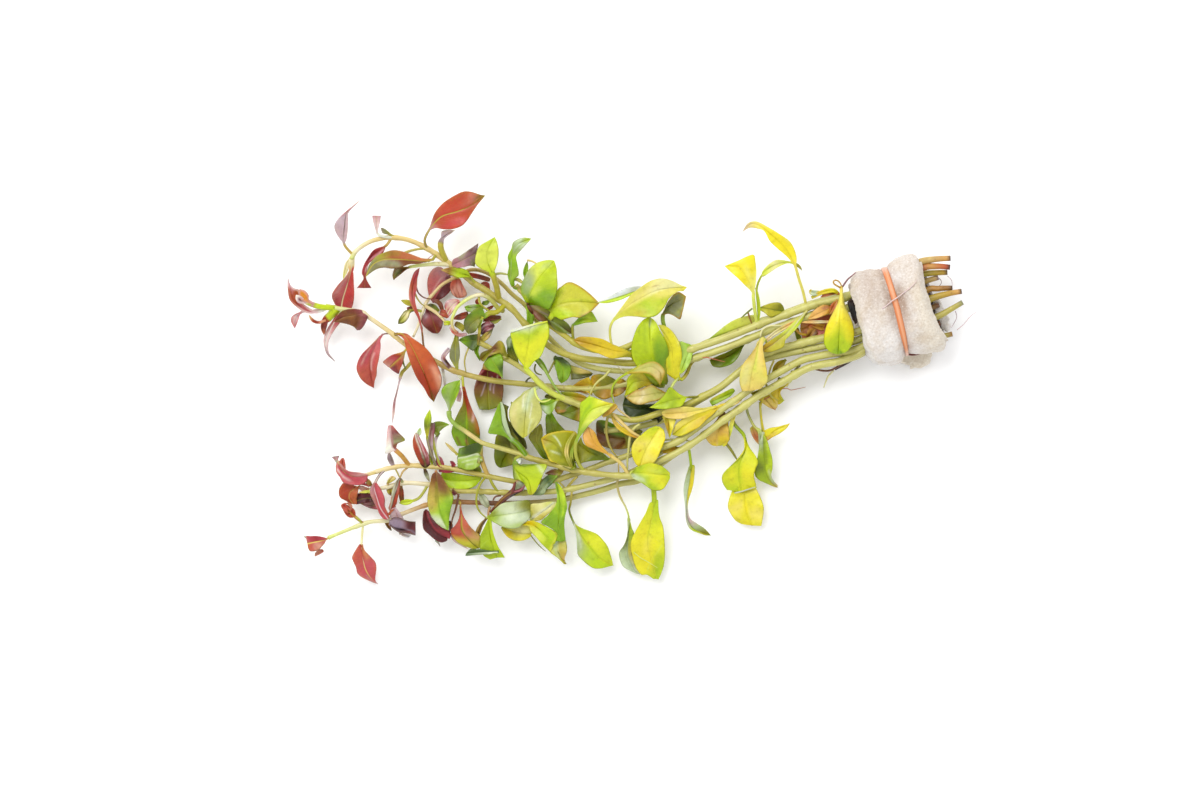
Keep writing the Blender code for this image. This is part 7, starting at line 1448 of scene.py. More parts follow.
        (494, 550, 8.6), (497, 557, 7.6)], left=[(491.6, 521), (492.4, 529), (494.6, 537), (498, 546),
        (501.6, 552), (505, 557.6)], right=[(487, 521), (484, 528), (480, 536), (480, 543), (480, 550),
        (484, 556), (490, 559.6)], tone="limePale limeDeep limeDeep limeDark limeDeep",
        leftTone="limeDeep limeDeep limeDeep limeDeep limeDeep",
        rightTone="limeDeep limeDark limeDark limeDark limeDeep", ribTone="limeDark", ribbing=0.4,
        marks=[(0.1, -0.2, 0.6, -0.3, 1.4, "limeDeep", 0.4),
        (0.55, -0.4, 0.8, -0.5, 1.6, "limeDark", 0.5)]),
    faintLimeLeaf=dict(start=0.6, rib=[(429, 484.5, 0), (420, 497, 8.6), (412, 501, 8.8), (399, 503, 8.6)],
        wide=3, tone="lime", ribbing=0.45),
    # bigSageLeaf: its two white-green marks and the pale grey-green one are painted sheen.
    bigSageLeaf=dict(kind="own free wideTip", rib=[(487.6, 517, 8.6), (498, 515.6, 10.6), (510, 514, 11.6),
        (520, 512.6, 11.6), (530.4, 510, 10)], left=[(492, 512), (497, 507), (503, 503), (512, 501.4),
        (521, 500.4), (528.6, 500), (531, 504)], right=[(491, 520.6), (497, 524), (503, 527), (511, 528.6),
        (519, 527.6), (523, 524), (528.6, 520), (531, 514)],
        tone="limeDark greenPale limeDark greenPale greyGreen olive",
        leftTone="limeDark greenPale greenPale greyGreen greenOlive olive",
        rightTone="limeDark greenPale paleGreyGreen greyGreen olive", ribTone="greenPale",
        marks=[(0.42, 0.5, 0.6, -0.1, 3, "whiteGreen", 0.8), (0.6, 0.1, 0.75, -0.3, 2.6, "whiteGreen", 0.8),
        (0.75, -0.2, 0.9, -0.6, 1.8, "paleGreyGreen", 0.8), (0.4, -0.9, 0.7, -0.8, 1, "greenPale", 0.6),
        (0.78, 0.5, 0.95, 0.4, 2, "olive", 0.7), (0.05, 0, 0.25, 0.3, 0.6, "olive", 0.5),
        (0.3, -0.5, 0.5, -0.6, 1.2, "greyGreen", 0.5)]),
    # lowYellowLeaf: its pale cream mark is a painted highlight.
    lowYellowLeaf=dict(kind="own free wideBase wideTip", rib=[(502, 527, 7.8), (512, 531, 8.4),
        (522, 533, 8.6), (531, 534, 7.6)], left=[(510, 525), (517, 523), (523, 520), (530, 521.6),
        (533, 526), (532, 531)], right=[(501, 528), (504, 533), (508, 537.4), (514, 540.4), (520, 541),
        (526, 539.6), (531, 536.6)], tone="yellowOlive yellowOlive paleTan yellowOlive golden",
        leftTone="golden yellow yellowOlive paleCream yellowOlive",
        rightTone="yellowOliveDeep golden yellowOlive yellow yellow", ribTone="yellowOlive",
        marks=[(0.5, 0.3, 0.75, 0.1, 1.8, "paleCream", 0.8), (0.1, 0.5, 0.5, 0.7, 1, "golden", 0.5),
        (0.6, -0.5, 0.9, -0.5, 1, "yellow", 0.5), (0.75, 0.6, 0.95, 0.4, 1, "yellow", 0.6)]),
    greenSpoonLeaf=dict(kind="own", start=0.42, rib=[(574, 497, 0), (570.6, 503, 7.6), (569.2, 510, 7.4),
        (571.6, 518, 7.4), (575, 525, 7.6), (583, 538, 8), (595, 553, 7.6), (604, 561, 6.6),
        (613.4, 565.6, 5)], left=[(576, 524.6), (582, 528), (590, 531), (597, 534), (603, 540),
        (607.4, 546), (610, 553), (612, 560)], right=[(575.4, 530), (576.6, 540), (577, 548), (578, 555),
        (583, 560.6), (588, 565), (594, 568.4), (601, 568.6), (608, 567)],
        tone="greyGreen oliveTan limeDeep limeDeep yellowLime yellowLime",
        leftTone="oliveTan limeDeep yellowLime limeDeep yellowLime",
        rightTone="whiteGreen greyGreen limeDeep limeDeep", stalk=0.72, stalkTone="tan olive greenOlive",
        ribTone="limeDark", ribbing=0.25, veins=0.3, marks=[(0.36, 0.12, 0.365, 0.13, 0.36, "brown", 1),
        (0.1, -0.2, 0.25, -0.5, 0.9, "whiteGreen", 0.5), (0.3, 0.2, 0.7, 0.4, 2.2, "yellowLime", 0.5),
        (0.5, -0.4, 0.8, -0.4, 2.2, "limeVivid", 0.5)]),
    orangeCupLeaf=dict(kind="free", rib=[(371, 492, 8.2), (364, 489, 8.8), (357.6, 486, 9)],
        wide=(2.8, 2.6), base=0.7, tone="peachGold rustPink pinkish rustPink", ribTone="cream",
        ribbing=0.3),
    limeSeamLeaf=dict(kind="free", rib=[(370.6, 491.6, 9.4), (366, 491.6, 9.6), (358.6, 492.4, 9.4)],
        wide=(1.6, 1.4), base=0.8, tone="limePale limePale peachGold", ribbing=0),
    crimsonRimLeaf=dict(kind="free", rib=[(369.6, 486, 9.6), (364, 484, 9.8), (357.6, 483.6, 9.6)],
        wide=1.4, tone="crimson redPink crimson", ribbing=0.1),
    brownUnderBitLeaf=dict(kind="free wideBase", rib=[(389.6, 487.4, 6.4), (390, 491, 6.6),
        (392, 496, 6.2)], left=[(393.6, 488), (393.6, 492), (393, 495)], right=[(386, 488.6), (387.4, 493),
        (390, 495.4)], tone="tanBrown oliveTan brown tanBrown"),
    crimsonBitLeaf=dict(kind="free wideBase", rib=[(451.6, 490, 7), (454, 493, 8.8), (454.4, 495.6, 8)],
        left=[(457.4, 492), (456.6, 494)], right=[(451.6, 492), (453, 495)], tone="crimson maroon crimson",
        ribbing=0),
    tealBitLeaf=dict(kind="free wideTip", rib=[(499, 551.6, 10), (484, 552, 10.2), (466, 553.4, 9.8)],
        left=[(490, 554), (478, 554.8), (465.6, 556)], right=[(490, 550.4), (478, 548.6), (470, 549)],
        tone="blueGreen blueGreen darkGreen", leftTone="whiteGreen whiteGreen blueGreen", ribbing=0,
        marks=[(0.4, 0.4, 0.9, 0.4, 0.6, "darkGreen", 0.5), (0, -0.7, 0.7, -0.8, 0.3, "white", 0.8)]),
    brownUpperTwistLeaf=dict(kind="free", rib=[(515, 483, 10.2), (513, 489, 10.8), (508, 494, 10.8),
        (502, 500, 10)], wide=1.5, base=0.8, end=0.5, tone="rust redBrown brown", ribTone="tan",
        ribbing=0.4),
    membraneLeaf=dict(kind="free wideTip", rib=[(524, 490, 8.8), (519, 486, 9), (515, 480.6, 8.8)],
        left=[(521, 491), (515, 490.6), (513.6, 485)], right=[(524.4, 485), (521, 481.4), (517.6, 480.4)],
        tone="paleGreyGreen silver paleGreyGreen rustPale",
        marks=[(0.2, -0.4, 0.3, 0.1, 0.4, "rust", 0.6)]),
    brownBudLeaf=dict(kind="free", rib=[(486.4, 518.4, 8.4), (481, 526, 9), (477.6, 535.6, 8)],
        left=[(486, 521), (482.6, 527), (480, 534)], right=[(482, 521), (477.6, 526.6), (475.6, 532)],
        tone="brown darkBrown brownOchre darkBrown", ribTone="brownOchre", ribbing=0.8,
        marks=[(0.1, -0.6, 0.9, -0.6, 0.4, "tan", 0.6)]),
    greyPodLeaf=dict(kind="free", rib=[(480, 494, 6.6), (484, 501, 7), (489, 508, 7)], wide=(4.4, 4),
        base=0.5, tone="greyGreen silver greyOlive", ribTone="greenOlive", ribbing=0.3),
),
"lowerOrange": dict(
    droopingOrangeLeaf=dict(kind="free wideBase wideTip", rib=[(724, 412, 10), (720, 424, 10.6),
        (717, 435, 10), (717, 446, 8.4)], left=[(728, 418), (728.6, 427), (729, 434), (729.6, 440),
        (724.6, 445)], right=[(718, 418), (712, 425), (707, 431), (705.6, 437), (708, 442), (712, 445.4)],
        tone="tanBrown orangeTan yellowPeach yellowPeach peachGold",
        leftTone="tanBrown yellowPeach yellowPeach golden yellowOlive",
        rightTone="tanBrown peachBright peachGold yellowPeach golden", ribTone="peachGold", ribbing=0.25,
        veins=0.3, marks=[(0.2, 0.1, 0.6, 0.3, 0.7, "orangeTan", 0.5)]),
    limeRibbonLeaf=dict(kind="free", rib=[(735.6, 409, 11), (733, 418, 11.6), (730, 430, 11),
        (726, 442, 9.4), (723, 446, 8.6)], wide=2.2, base=0.8, end=0.5,
        tone="limePale yellowSoft limePale golden limePale", ribTone="limePale"),
    upperPairLeaf=dict(kind="own wideTip", start=0.3, rib=[(728, 411, 0), (735, 425, 10.4), (743, 434, 10),
        (746.4, 443, 9.4), (745, 450, 9.2), (740, 462, 9.4), (739, 476, 8.4), (742, 492, 6.8)],
        left=[(750, 449), (755, 455), (758, 462), (756, 468), (754, 475), (755.4, 482), (757, 488)],
        right=[(744, 450), (740, 457), (733, 464), (726, 470), (722, 476), (722.6, 483), (727, 490)],
        tone="limeDark yellowLime yellowLime yellowLime yellowLime",
        leftTone="limeDeep yellowLime yellowLime yellow yellowLime",
        rightTone="yellowLime yellow limeDeep yellowLime limeDeep", stalk=1.25,
        stalkTone="redBrown greenOlive limeDark", ribTone="limeDeep", ribbing=0.3, veins=0.3,
        marks=[(0.3, 0, 0.8, 0.05, 1, "limeDeep", 0.5), (0.5, -0.5, 0.8, -0.4, 1.4, "yellow", 0.4)]),
    lowerPairLeaf=dict(kind="own free wideBase wideTip", rib=[(743, 484, 5.4), (745, 496, 5.8),
        (746, 510, 5.4), (752, 525.6, 4)], left=[(756, 488), (760, 496), (763, 504), (764, 510),
        (763.4, 516), (761.6, 526)], right=[(732, 491), (729.4, 498), (727.8, 505), (728.6, 510),
        (732, 516), (736, 521), (741, 524)], tone="yellowLime yellow yellow yellowBright yellow yellow",
        leftTone="yellowSoft yellow yellow yellowSoft yellow",
        rightTone="yellowLime yellow yellowSoft yellow yellow", ribTone="yellow", veins=0.2,
        marks=[(0.5, 0.6, 0.8, 0.6, 1.4, "yellowSoft", 0.7),
        (0.45, -0.5, 0.7, -0.5, 1.4, "yellowSoft", 0.6), (0.9, -0.3, 1, 0, 0.6, "golden", 0.5)]),
    coralBellLeaf=dict(kind="own wideTip", rib=[(459, 495, 0), (460, 503, 8.6), (461, 515, 9.4),
        (462, 530, 9.6), (470, 541, 9), (478.6, 548.4, 8)], left=[(463, 515), (466, 520), (470, 526),
        (475, 531), (480, 535), (480.6, 541), (480.6, 547)], right=[(459.6, 518), (457, 523), (453.6, 527),
        (450.8, 530), (451.6, 535), (456, 541), (463, 545.6), (472, 549)],
        tone="tan brick coral rust oliveTan yellowOlive",
        leftTone="brick coral terracotta tanBrown oliveTan yellowOlive",
        rightTone="brick coral coral rust yellowOlive limeDark", stalk=0.95,
        stalkTone="oliveTan brownOchre tan", ribTone="oliveTan olive olive", ribbing=1,
        marks=[(0.3, -0.3, 0.55, -0.4, 1.6, "coral", 0.6), (0.3, 0.3, 0.6, 0.35, 1.2, "coral", 0.6),
        (0.6, 0.1, 0.8, 0.6, 1, "rustPink", 0.5), (0.2, 0.05, 0.6, 0.05, 0.35, "oliveTan", 0.8),
        (0.8, -0.7, 1, -0.2, 1.6, "yellowOlive", 0.7), (0.1, -0.9, 0.4, -0.9, 0.5, "brick", 0.6)]),
    tipRedLeaf=dict(kind="wideTip", start=0.16, rib=[(331, 537.8, 0), (323, 540.4, 8.6), (315, 542, 9),
        (307.4, 543.6, 8.4)], left=[(325, 543), (321.6, 547), (319, 550), (314, 551.4), (310, 551.2),
        (308, 548)], right=[(325, 537.4), (317, 535.8), (311, 536), (306, 536), (306.6, 540)],
        tone="tanBrown coral coral coral", leftTone="rustPink coral rustPink coral terracotta",
        rightTone="rustPink redPink crimson redPink rustPink", stalk=0.8, stalkTone="limePale",
        ribTone="peachGold", ribbing=1, marks=[(0.3, 0.4, 0.5, 0.5, 0.9, "rustPink", 0.7),
        (0.35, -0.5, 0.6, -0.5, 0.8, "crimson", 0.6), (0.9, 0.1, 1, 0.6, 0.5, "terracotta", 0.6)]),
    lowRedLeaf=dict(kind="own", start=0.3, rib=[(364.6, 526, 0), (361.8, 538, 6), (361.4, 548, 6.8),
        (363.2, 560, 7), (366, 571, 6.6), (372.6, 580.6, 5.6), (377.6, 584, 5)], left=[(362.8, 544),
        (364.6, 550), (370, 556), (375, 561.6), (376.4, 567), (375.8, 574), (375, 580)],
        right=[(359.6, 544), (355.6, 550), (352, 557), (353.6, 562.4), (356, 568), (357, 573), (361, 577),
        (369, 581)], tone="peachGold coral coral coral redPink rustPink pinkWhite",
        leftTone="coral coral redPink coral redPink",
        rightTone="coral coral coral redPink rustPink mauvePink", stalk=0.7, stalkTone="limePale cream",
        ribTone="cream cream peachGold rustPink mauvePink", ribbing=0.9,
        marks=[(0.5, 0.2, 0.9, 0.3, 1.6, "redPink", 0.6), (0.6, -0.3, 0.8, -0.4, 1.4, "redPink", 0.6),
        (0.15, 0.4, 0.4, 0.5, 1, "peachGold", 0.25), (0.75, -0.2, 0.95, -0.2, 0.5, "mauvePink", 0.6)]),
    sideOrangeLeaf=dict(start=0.4, rib=[(364, 524, 0), (357, 518, 8.5), (351, 513, 8.5), (342, 504, 8.5)],
        wide=5, tone="rust", ribbing=0.45),
    greyPlumLeaf=dict(kind="free wideBase wideTip", rib=[(389.6, 523.4, 9.4), (395, 527.4, 10),
        (402, 529.4, 10), (409, 530.4, 9.8), (415.6, 532, 9)], left=[(391, 519.4), (394, 517.2),
        (399, 517.4), (404, 519.4), (409, 521), (415.6, 521.6)], right=[(389, 525), (395, 530),
        (400, 532.6), (406, 533), (410, 534), (415.4, 535.6)],
        tone="greyViolet greyViolet darkMaroon greyViolet darkMauve",
        leftTone="greyViolet greyViolet greyViolet maroon maroon",
        rightTone="darkMaroon darkMaroon darkMaroon maroon greyViolet", edge="darkMauve", ribbing=0,
        veins=0.1, spots=0.3, marks=[(0.75, 0.3, 0.9, 0.7, 0.8, "darkMaroon", 0.6)]),
    mauveGreyLeaf=dict(kind="free wideTip", rib=[(394.6, 506, 9.6), (395.4, 511, 9.8), (398, 517.6, 9.4)],
        left=[(396.4, 508), (400, 512.6), (404, 518.8)], right=[(391.6, 509), (390.4, 513), (389.6, 518)],
        tone="rustPink greyPink greyPink greyPink", ribTone="brick", ribbing=0.3,
        marks=[(0.1, 0, 0.5, 0, 0.3, "pinkWhite", 0.6)]),
    lowPlumLeaf=dict(kind="free wideTip", rib=[(426, 509.6, 8.2), (427, 518, 8.8), (432, 528, 9),
        (440, 535, 8.8), (447, 537, 8)], left=[(429, 511), (431.6, 517), (436.4, 523), (443, 528),
        (449.6, 530.4), (450.6, 536), (449.6, 539)], right=[(423.6, 511), (422.6, 518), (422.6, 524),
        (424, 530), (429, 534.6), (434.6, 539.4), (441, 542.6), (447, 541)],
        tone="maroon plum plum plum maroon", leftTone="maroon plum maroon crimson",
        rightTone="maroon plum plum plum", ribTone="plum", ribbing=0.3,
        marks=[(0.55, -0.9, 0.75, -0.9, 0.5, "olive", 0.5), (0.1, 0.2, 0.7, 0.2, 0.3, "crimson", 0.6),
        (0.3, -0.4, 0.8, -0.4, 0.4, "darkMaroon", 0.5), (0.6, 0.5, 0.95, 0.5, 0.9, "crimson", 0.4)]),
    brownTagLeaf=dict(kind="free", rib=[(436, 540.6, 5), (438, 543, 4.8), (440, 546.6, 4)], wide=(1, 0.8),
        base=0.7, tone="silver greyMauve", ribbing=0),
    peachLowLeaf=dict(kind="free wideBase", start=0.03, rib=[(762, 389, 8), (764, 396, 7.6),
        (768, 402, 6.6), (775.4, 410, 4)], left=[(770, 390), (773, 396.6), (777.6, 402), (777.4, 407)],
        right=[(750, 393), (757, 399), (763, 403.6), (769, 407.6)],
        tone="yellow golden peachGold peachGold rustPale"),
    paleFlapLeaf=dict(kind="free wideBase", rib=[(400, 533, 6), (404, 534.6, 5.6), (410, 536, 5)],
        left=[(404, 531), (408, 533.4), (411, 535)], right=[(402, 536), (406, 537.4), (409, 537.4)],
        tone="pinkWhite palest", ribbing=0),
    goldenLowLeaf=dict(kind="free wideBase", start=0.03, rib=[(781, 380, 8), (779, 388, 7.6), (778, 396, 7),
        (784.4, 400.6, 5.6)], left=[(791, 378), (787.6, 385), (782, 389.4), (780.6, 394)],
        right=[(770, 389), (771, 396), (773.6, 402), (779, 404.6)], tone="yellow golden golden limeDeep",
        marks=[(0.1, -0.4, 0.4, -0.4, 0.8, "golden", 0.6)]),
    limeSideLeaf=dict(kind="free", start=0.03, rib=[(792, 371, 8.4), (792.6, 377, 8), (787, 386, 7)],
        wide=(1.6, 1.8), base=0.6, tone="limeDeep lime limePale", ribbing=0.1),
    crumpledBudLeaf=dict(start=0.56, rib=[(365, 523.4, 0), (357.6, 519.6, 8.4), (352, 514.4, 8.8),
        (347, 508, 9.2), (343.6, 504.6, 9.4), (347.6, 503.6, 9.6)], left=[(349, 514.2), (344.4, 511),
        (341.6, 507.6), (341.4, 504.4), (345, 502.8)], right=[(352, 512), (350, 508.4), (347, 505.6),
        (345.4, 503.4), (347.4, 504)], tone="tanBrown coral rust coral rustPink", stalk=0.55,
        stalkTone="goldenDeep", ribTone="crimson", ribbing=0.6),
    pinkHookLeaf=dict(kind="free", rib=[(351.2, 509.4, 9), (350.4, 505.6, 9.2), (346.8, 502.8, 9.2)],
        wide=(1.4, 1.8), base=0.6, tone="coral rustPink rust", ribbing=0.1),
    tipFlapLeaf=dict(kind="free wideBase wideTip", rib=[(323, 550.6, 7.6), (319, 552.4, 7.8),
        (314.6, 555.2, 7.4)], left=[(323.6, 552), (319, 554.8), (315, 556.6)], right=[(321.6, 549),
        (318, 549.8), (315, 553)], tone="coral rustPink rustPink", ribbing=0.1),
    tipCornerLeaf=dict(kind="free", rib=[(308, 539, 8), (306, 537.4, 8), (303.6, 536.2, 7.8)], wide=1.2,
        tone="greyMauve silver", ribbing=0),
    rustCurlLeaf=dict(kind="free", rib=[(388.6, 514.6, 10.6), (391, 511.6, 10.8), (394.6, 509, 10.6)],
        wide=(1.3, 1.1), tone="rust brick rust", ribbing=0.1),
    peachHookLeaf=dict(start=0.1, rib=[(386, 519.4, 0), (386.6, 523, 6.6), (391.4, 530.6, 5.8)],
        left=[(390.6, 522.4), (390.4, 526), (391.8, 530)], right=[(384.4, 522), (386.2, 526.4),
        (390, 530.4)], tone="tanBrown ochreBrown brown silver", ribbing=0.3,
        marks=[(0.1, -0.6, 0.9, -0.3, 0.25, "darkBrown", 0.8)]),
    mauveNeckLeaf=dict(kind="free wideTip", rib=[(449.4, 521, 7.4), (450.6, 526, 7.8), (451, 532, 7.4)],
        left=[(452.6, 524), (452.6, 530)], right=[(449, 524), (449, 531)], tone="darkMaroon plum greyMauve",
        ribbing=0),
    coralRimLeaf=dict(kind="free", rib=[(450.6, 533, 7), (454, 540, 7), (463, 546, 6.6), (469, 549.6, 6)],
        wide=1.1, base=0.7, tone="mauvePink pinkWhite pinkWhite", ribbing=0),
    crumpledStripLeaf=dict(kind="free", rib=[(741, 398, 13), (733, 402, 13.6), (725, 406, 13)],
        wide=(3.6, 4.2), base=0.6, end=0.6, tone="tanBrown tanPale glossOlive tanBrown", ribTone="tanPale"),
    peachUnderLeaf=dict(kind="free", rib=[(752, 427, 7), (755, 434, 7), (759.6, 445, 6)], wide=(3.2, 3.4),
        base=0.7, tone="yellowOlive tanBrown rustPale peachGold", ribTone="rustPale", ribbing=0.3),
    paleBladeLeaf=dict(start=0.5, rib=[(744, 402, 0), (748, 414, 8), (754, 426, 8), (760, 432, 7.8),
        (761.4, 444, 7), (760, 456, 6.6)], wide=(2.6, 2.8), base=0.6,
        tone="limePale greyGreen whiteGreen limePale", stalk=0.9, stalkTone="greenOlive yellowOlive",
        ribTone="whiteGreen", ribbing=0.3),
),
}
leaves = {name: dict(row, stem=stem) for stem, rows in leafRows.items() for name, row in rows.items()}


# The CAD name of a piece: each capital becomes an underscore and a small letter.
def snake(name):
    return re.sub("([A-Z])", lambda m: "_" + m.group(1).lower(), name)


# Lengths in metres. A stem's cut end is thinner by the share cutThin, over cutLength.
stemBuild = dict(pointGap=0.0007, sides=18, swelling=0.22, swellingLength=0.0011, cutThin=0.34,
                 cutLength=0.010, thinning=1.5, flatAround=1.2)
stemPaths = {name: evenPath(place(s["route"]), stemBuild["pointGap"]) for name, s in stems.items()}


# The radius falls along the stem, and the cut end is a little thinner.
def stemRadius(s, share, length):
    thin = s.get("cutThin", stemBuild["cutThin"]) * np.exp(-(share * length / stemBuild["cutLength"]) ** 2)
    return (s["first"] + (s["last"] - s["first"]) * share ** stemBuild["thinning"]) * (1 - thin) * mm


# The path's point nearest to a spot seen from above, and its share of the way along.
def nearestOn(path, spot):
    k = int(np.argmin(np.hypot(path[:, 0] - spot[0], path[:, 1] - spot[1])))
    return path[k], k / (len(path) - 1)


# Level unit vectors across a direction.
def levelAcross(ahead):
    return unit(np.stack([-ahead[:, 1], ahead[:, 0], np.zeros(len(ahead))], axis=1))


# Unit vectors along a path, level across it, and up from both.
def pathFrame(path):
    ahead = unit(np.gradient(path, axis=0))
    across = levelAcross(ahead)
    return ahead, across, np.cross(ahead, across)


# A round skin along a path: circles across it, with a radius for each point.
def tubePart(path, radius, stops):
    across, up = pathFrame(path)[1:]
    angle = np.linspace(0, 2 * math.pi, stemBuild["sides"], endpoint=False)
    c, s = np.cos(angle)[None, :, None], np.sin(angle)[None, :, None]
    r = radius[:, None, None]
    rings = path[:, None, :] + across[:, None, :] * c * r + up[:, None, :] * s * r
    flat = (angle[None, :] * stemBuild["flatAround"], lengthAlong(path)[:, None] / mm)
    tone = rampTone(stops, np.linspace(0, 1, len(path)))[:, None, :]
    return ringsPart(rings, np.stack(np.broadcast_arrays(*flat), axis=-1), tone)


# Lengths in metres, fullLiftWidth in photo steps, shares and powers without a unit. Points lie closer
# by tipGather towards the tip and by ribGather towards the midrib.
leafBuild = dict(pointGap=0.00045, stalkGap=1.5, tipGather=0.4, ribGather=1.15, turnReach=0.02,
                 thickness=0.00034, rimShare=0.25, stalkHalfWidth=0.00042, tipHalfWidth=0.00006,
                 ribDepth=0.00022, ribWidth=0.0005, ribSwelling=0.8, ribSwellingWidth=0.0004,
                 widenBefore=0.10, widenPast=0.03, flattening=0.08, fullLiftWidth=8, liftStart=0.15,
                 liftPower=1.5, rippleStart=0.2)
# Where tones fade into each other: shares of the leaf and of its half width, and the edge in millimetres.
leafTones = dict(stalkPast=0.06, stalkBefore=0.05, baseFade=0.08, halfFade=0.25, edgeFar=0.9, edgeNear=0.25,
                 edgeStrength=0.8, underShare=0.25)
sideSigns = np.array([1, -1])[None, :, None]


# The blade's sides from its midrib where its edges were traced: smooth curves through the left and
# the right edge, from the blade's first point to its last unless an end is wide.
def tracedSides(leaf, line, blade, stalkRows, kind):
    sides = []
    for key in ("left", "right"):
        edge = np.vstack([line[stalkRows:stalkRows + 1], place(leaf[key]), line[-1:]])
        edge[1:-1, 2] = 0
        edge = edge["wideBase" in kind:-1 if "wideTip" in kind else None]
        sides.append(smoothPath(edge, blade) - line)
    return np.stack(sides, axis=1) * np.array([1, 1, 0])


# The two half widths of a plain blade: a sine rising to its widest place, and a cosine from there.
def plainWidths(leaf, blade):
    peak, base, end = leaf.get("peak", 0.5), leaf.get("base", 0), leaf.get("end", 0)
    rise = base + (1 - base) * np.sin(np.clip(blade / peak, 0, 1) * math.pi / 2)
    fall = end + (1 - end) * np.cos(np.clip((blade - peak) / (1 - peak), 0, 1) * math.pi / 2)
    return np.where(blade < peak, rise, fall)[:, None] * np.broadcast_to(leaf["wide"], 2)[None, :] * step


# A leaf on its stalk. Along the midrib t runs from 0 to 1, and blade from 0 to 1 on its blade alone.
# Across it u runs from 1 at the left edge to -1 at the right one.
def leafPart(name, leaf):
    b, kind = leafBuild, leaf.get("kind", "").split()
    rib = place(leaf["rib"])
    if "free" not in kind:
        rib[0] = nearestOn(stemPaths[leaf["stem"]], rib[0])[0]
    start = leaf.get("start", 0.02 if "free" in kind else 0.2)
    reach, gap = lengthAlong(rib)[-1], b["pointGap"]
    stalkRows = max(3, int(reach * start / gap / b["stalkGap"]))
    ease = np.linspace(0, 1, max(10, int(reach * (1 - start) / gap)) + 1)
    ease = (1 - b["tipGather"]) * ease + b["tipGather"] * np.sin(ease * math.pi / 2)
    t = np.concatenate([np.linspace(0, start, stalkRows, endpoint=False), start + (1 - start) * ease])
    blade = np.clip((t - start) / (1 - start), 0, 1)
    line = smoothPath(rib, t)
    after = smoothPath(rib, np.minimum(t + b["turnReach"], 1))
    across = levelAcross(unit(after - smoothPath(rib, np.maximum(t - b["turnReach"], 0))))
    least = b["stalkHalfWidth"] * leaf.get("stalk", 1.0) * (1 - blade) + b["tipHalfWidth"]
    if "left" in leaf:
        sides = tracedSides(leaf, line, blade, stalkRows, kind)
        widths = np.linalg.norm(sides, axis=2)
        onStalk = (widths < least[:, None]) | (t < start)[:, None]
        thin = across[:, None, :] * sideSigns * least[:, None, None]
        sides = np.where(onStalk[..., None], thin, sides)
        widths = np.where(onStalk, least[:, None], widths)
    else:
        widen = smoothStep(start - b["widenBefore"], start + b["widenPast"], t)
        widths = np.maximum(plainWidths(leaf, blade) * widen[:, None], least[:, None])
        sides = across[:, None, :] * widths[..., None] * sideSigns
    half = max(4, int(widths.max() / gap))
    u = squared(np.linspace(-1, 1, 2 * half + 1), b["ribGather"])
    w = np.where(u[None, :] > 0, widths[:, :1], widths[:, 1:])

    # Heights: the halves lift as a sine of the way along, the edge ripples, and the blade may bow.
    lift = leaf.get("lift", (1.0, 1.0))
    size = np.minimum(w / (b["fullLiftWidth"] * step), 1)
    rise = np.where(u > 0, lift[0], lift[1])[None, :] * size
    rise = rise * np.sin(np.minimum(blade + b["liftStart"], 1) * math.pi)[:, None]
    seed = sum(ord(ch) * (k + 3) for k, ch in enumerate(name))
    ripple = np.sin(blade[:, None] * math.pi * leaf.get("waves", 5) + np.where(u > 0, seed % 7, seed % 5))
    ripple = ripple * leaf.get("wave", 0.35) * size * smoothStep(0, b["rippleStart"], blade)[:, None]
    bow = leaf.get("bow", 0.0) * np.sin(blade * math.pi)[:, None] * (1 - u ** 2)[None, :]
    toSide = np.where((u > 0)[None, :, None], sides[:, :1], sides[:, 1:])
    middle = line[:, None, :] + toSide * np.abs(u)[None, :, None]
    middle[..., 2] += (rise * np.abs(u) ** b["liftPower"] + ripple * u ** 2 + bow) * mm
    middle[..., 2] -= b["ribDepth"] * hill(u * w, 0, b["ribWidth"]) * smoothStep(0, 0.1, blade)[:, None]

    # Thickness: round on the stalk, a sheet with thin edges and a fuller midrib on the blade.
    normal = unit(np.cross(np.gradient(middle, axis=0), np.gradient(middle, axis=1)))
    normal *= np.where(normal[..., 2:] < 0, -1, 1)
    flatness = smoothStep(start - b["flattening"], start + b["flattening"], t)[:, None]
    rounded = w * np.sqrt(np.clip(1 - u ** 2, 0, 1))[None, :]
    fullness = (b["rimShare"] + (1 - b["rimShare"]) * (1 - np.abs(u) ** 3)) * (u ** 2 < 1)
    swelling = b["ribDepth"] * b["ribSwelling"] * hill(u * w, 0, b["ribSwellingWidth"])
    sheet = b["thickness"] * fullness[None, :] / 2 + swelling * (1 - blade[:, None])
    thick = (rounded * (1 - flatness) + sheet * flatness)[..., None]
    rings = np.concatenate([middle + normal * thick, (middle - normal * thick)[:, -2:0:-1]], axis=1)
    length = lengthAlong(line)
    acrossMm, alongMm = np.broadcast_arrays(u * w / mm, length[:, None] / mm)
    flat = np.stack([acrossMm, alongMm], axis=-1)

    # Tones: along the blade, the stalk, each half, the edges, and then the marks, one over the other.
    f = leafTones
    tone = np.broadcast_to(rampTone(leaf["tone"], blade)[:, None, :], middle.shape).copy()
    stalk = rampTone(leaf.get("stalkTone", "paleOlive"), np.clip(t / max(start, 0.01), 0, 1))[:, None, :]
    hasStalk = start > f["stalkPast"]
    share = smoothStep(start + f["stalkPast"], start - f["stalkBefore"], t)[:, None, None] if hasStalk else 0
    tone = tone * (1 - share) + stalk * share
    onBlade = smoothStep(0, f["baseFade"], blade)[:, None]

    def blend(words, weight):
        nonlocal tone
        tone = tone + (rampTone(words, blade)[:, None, :] - tone) * weight[..., None]

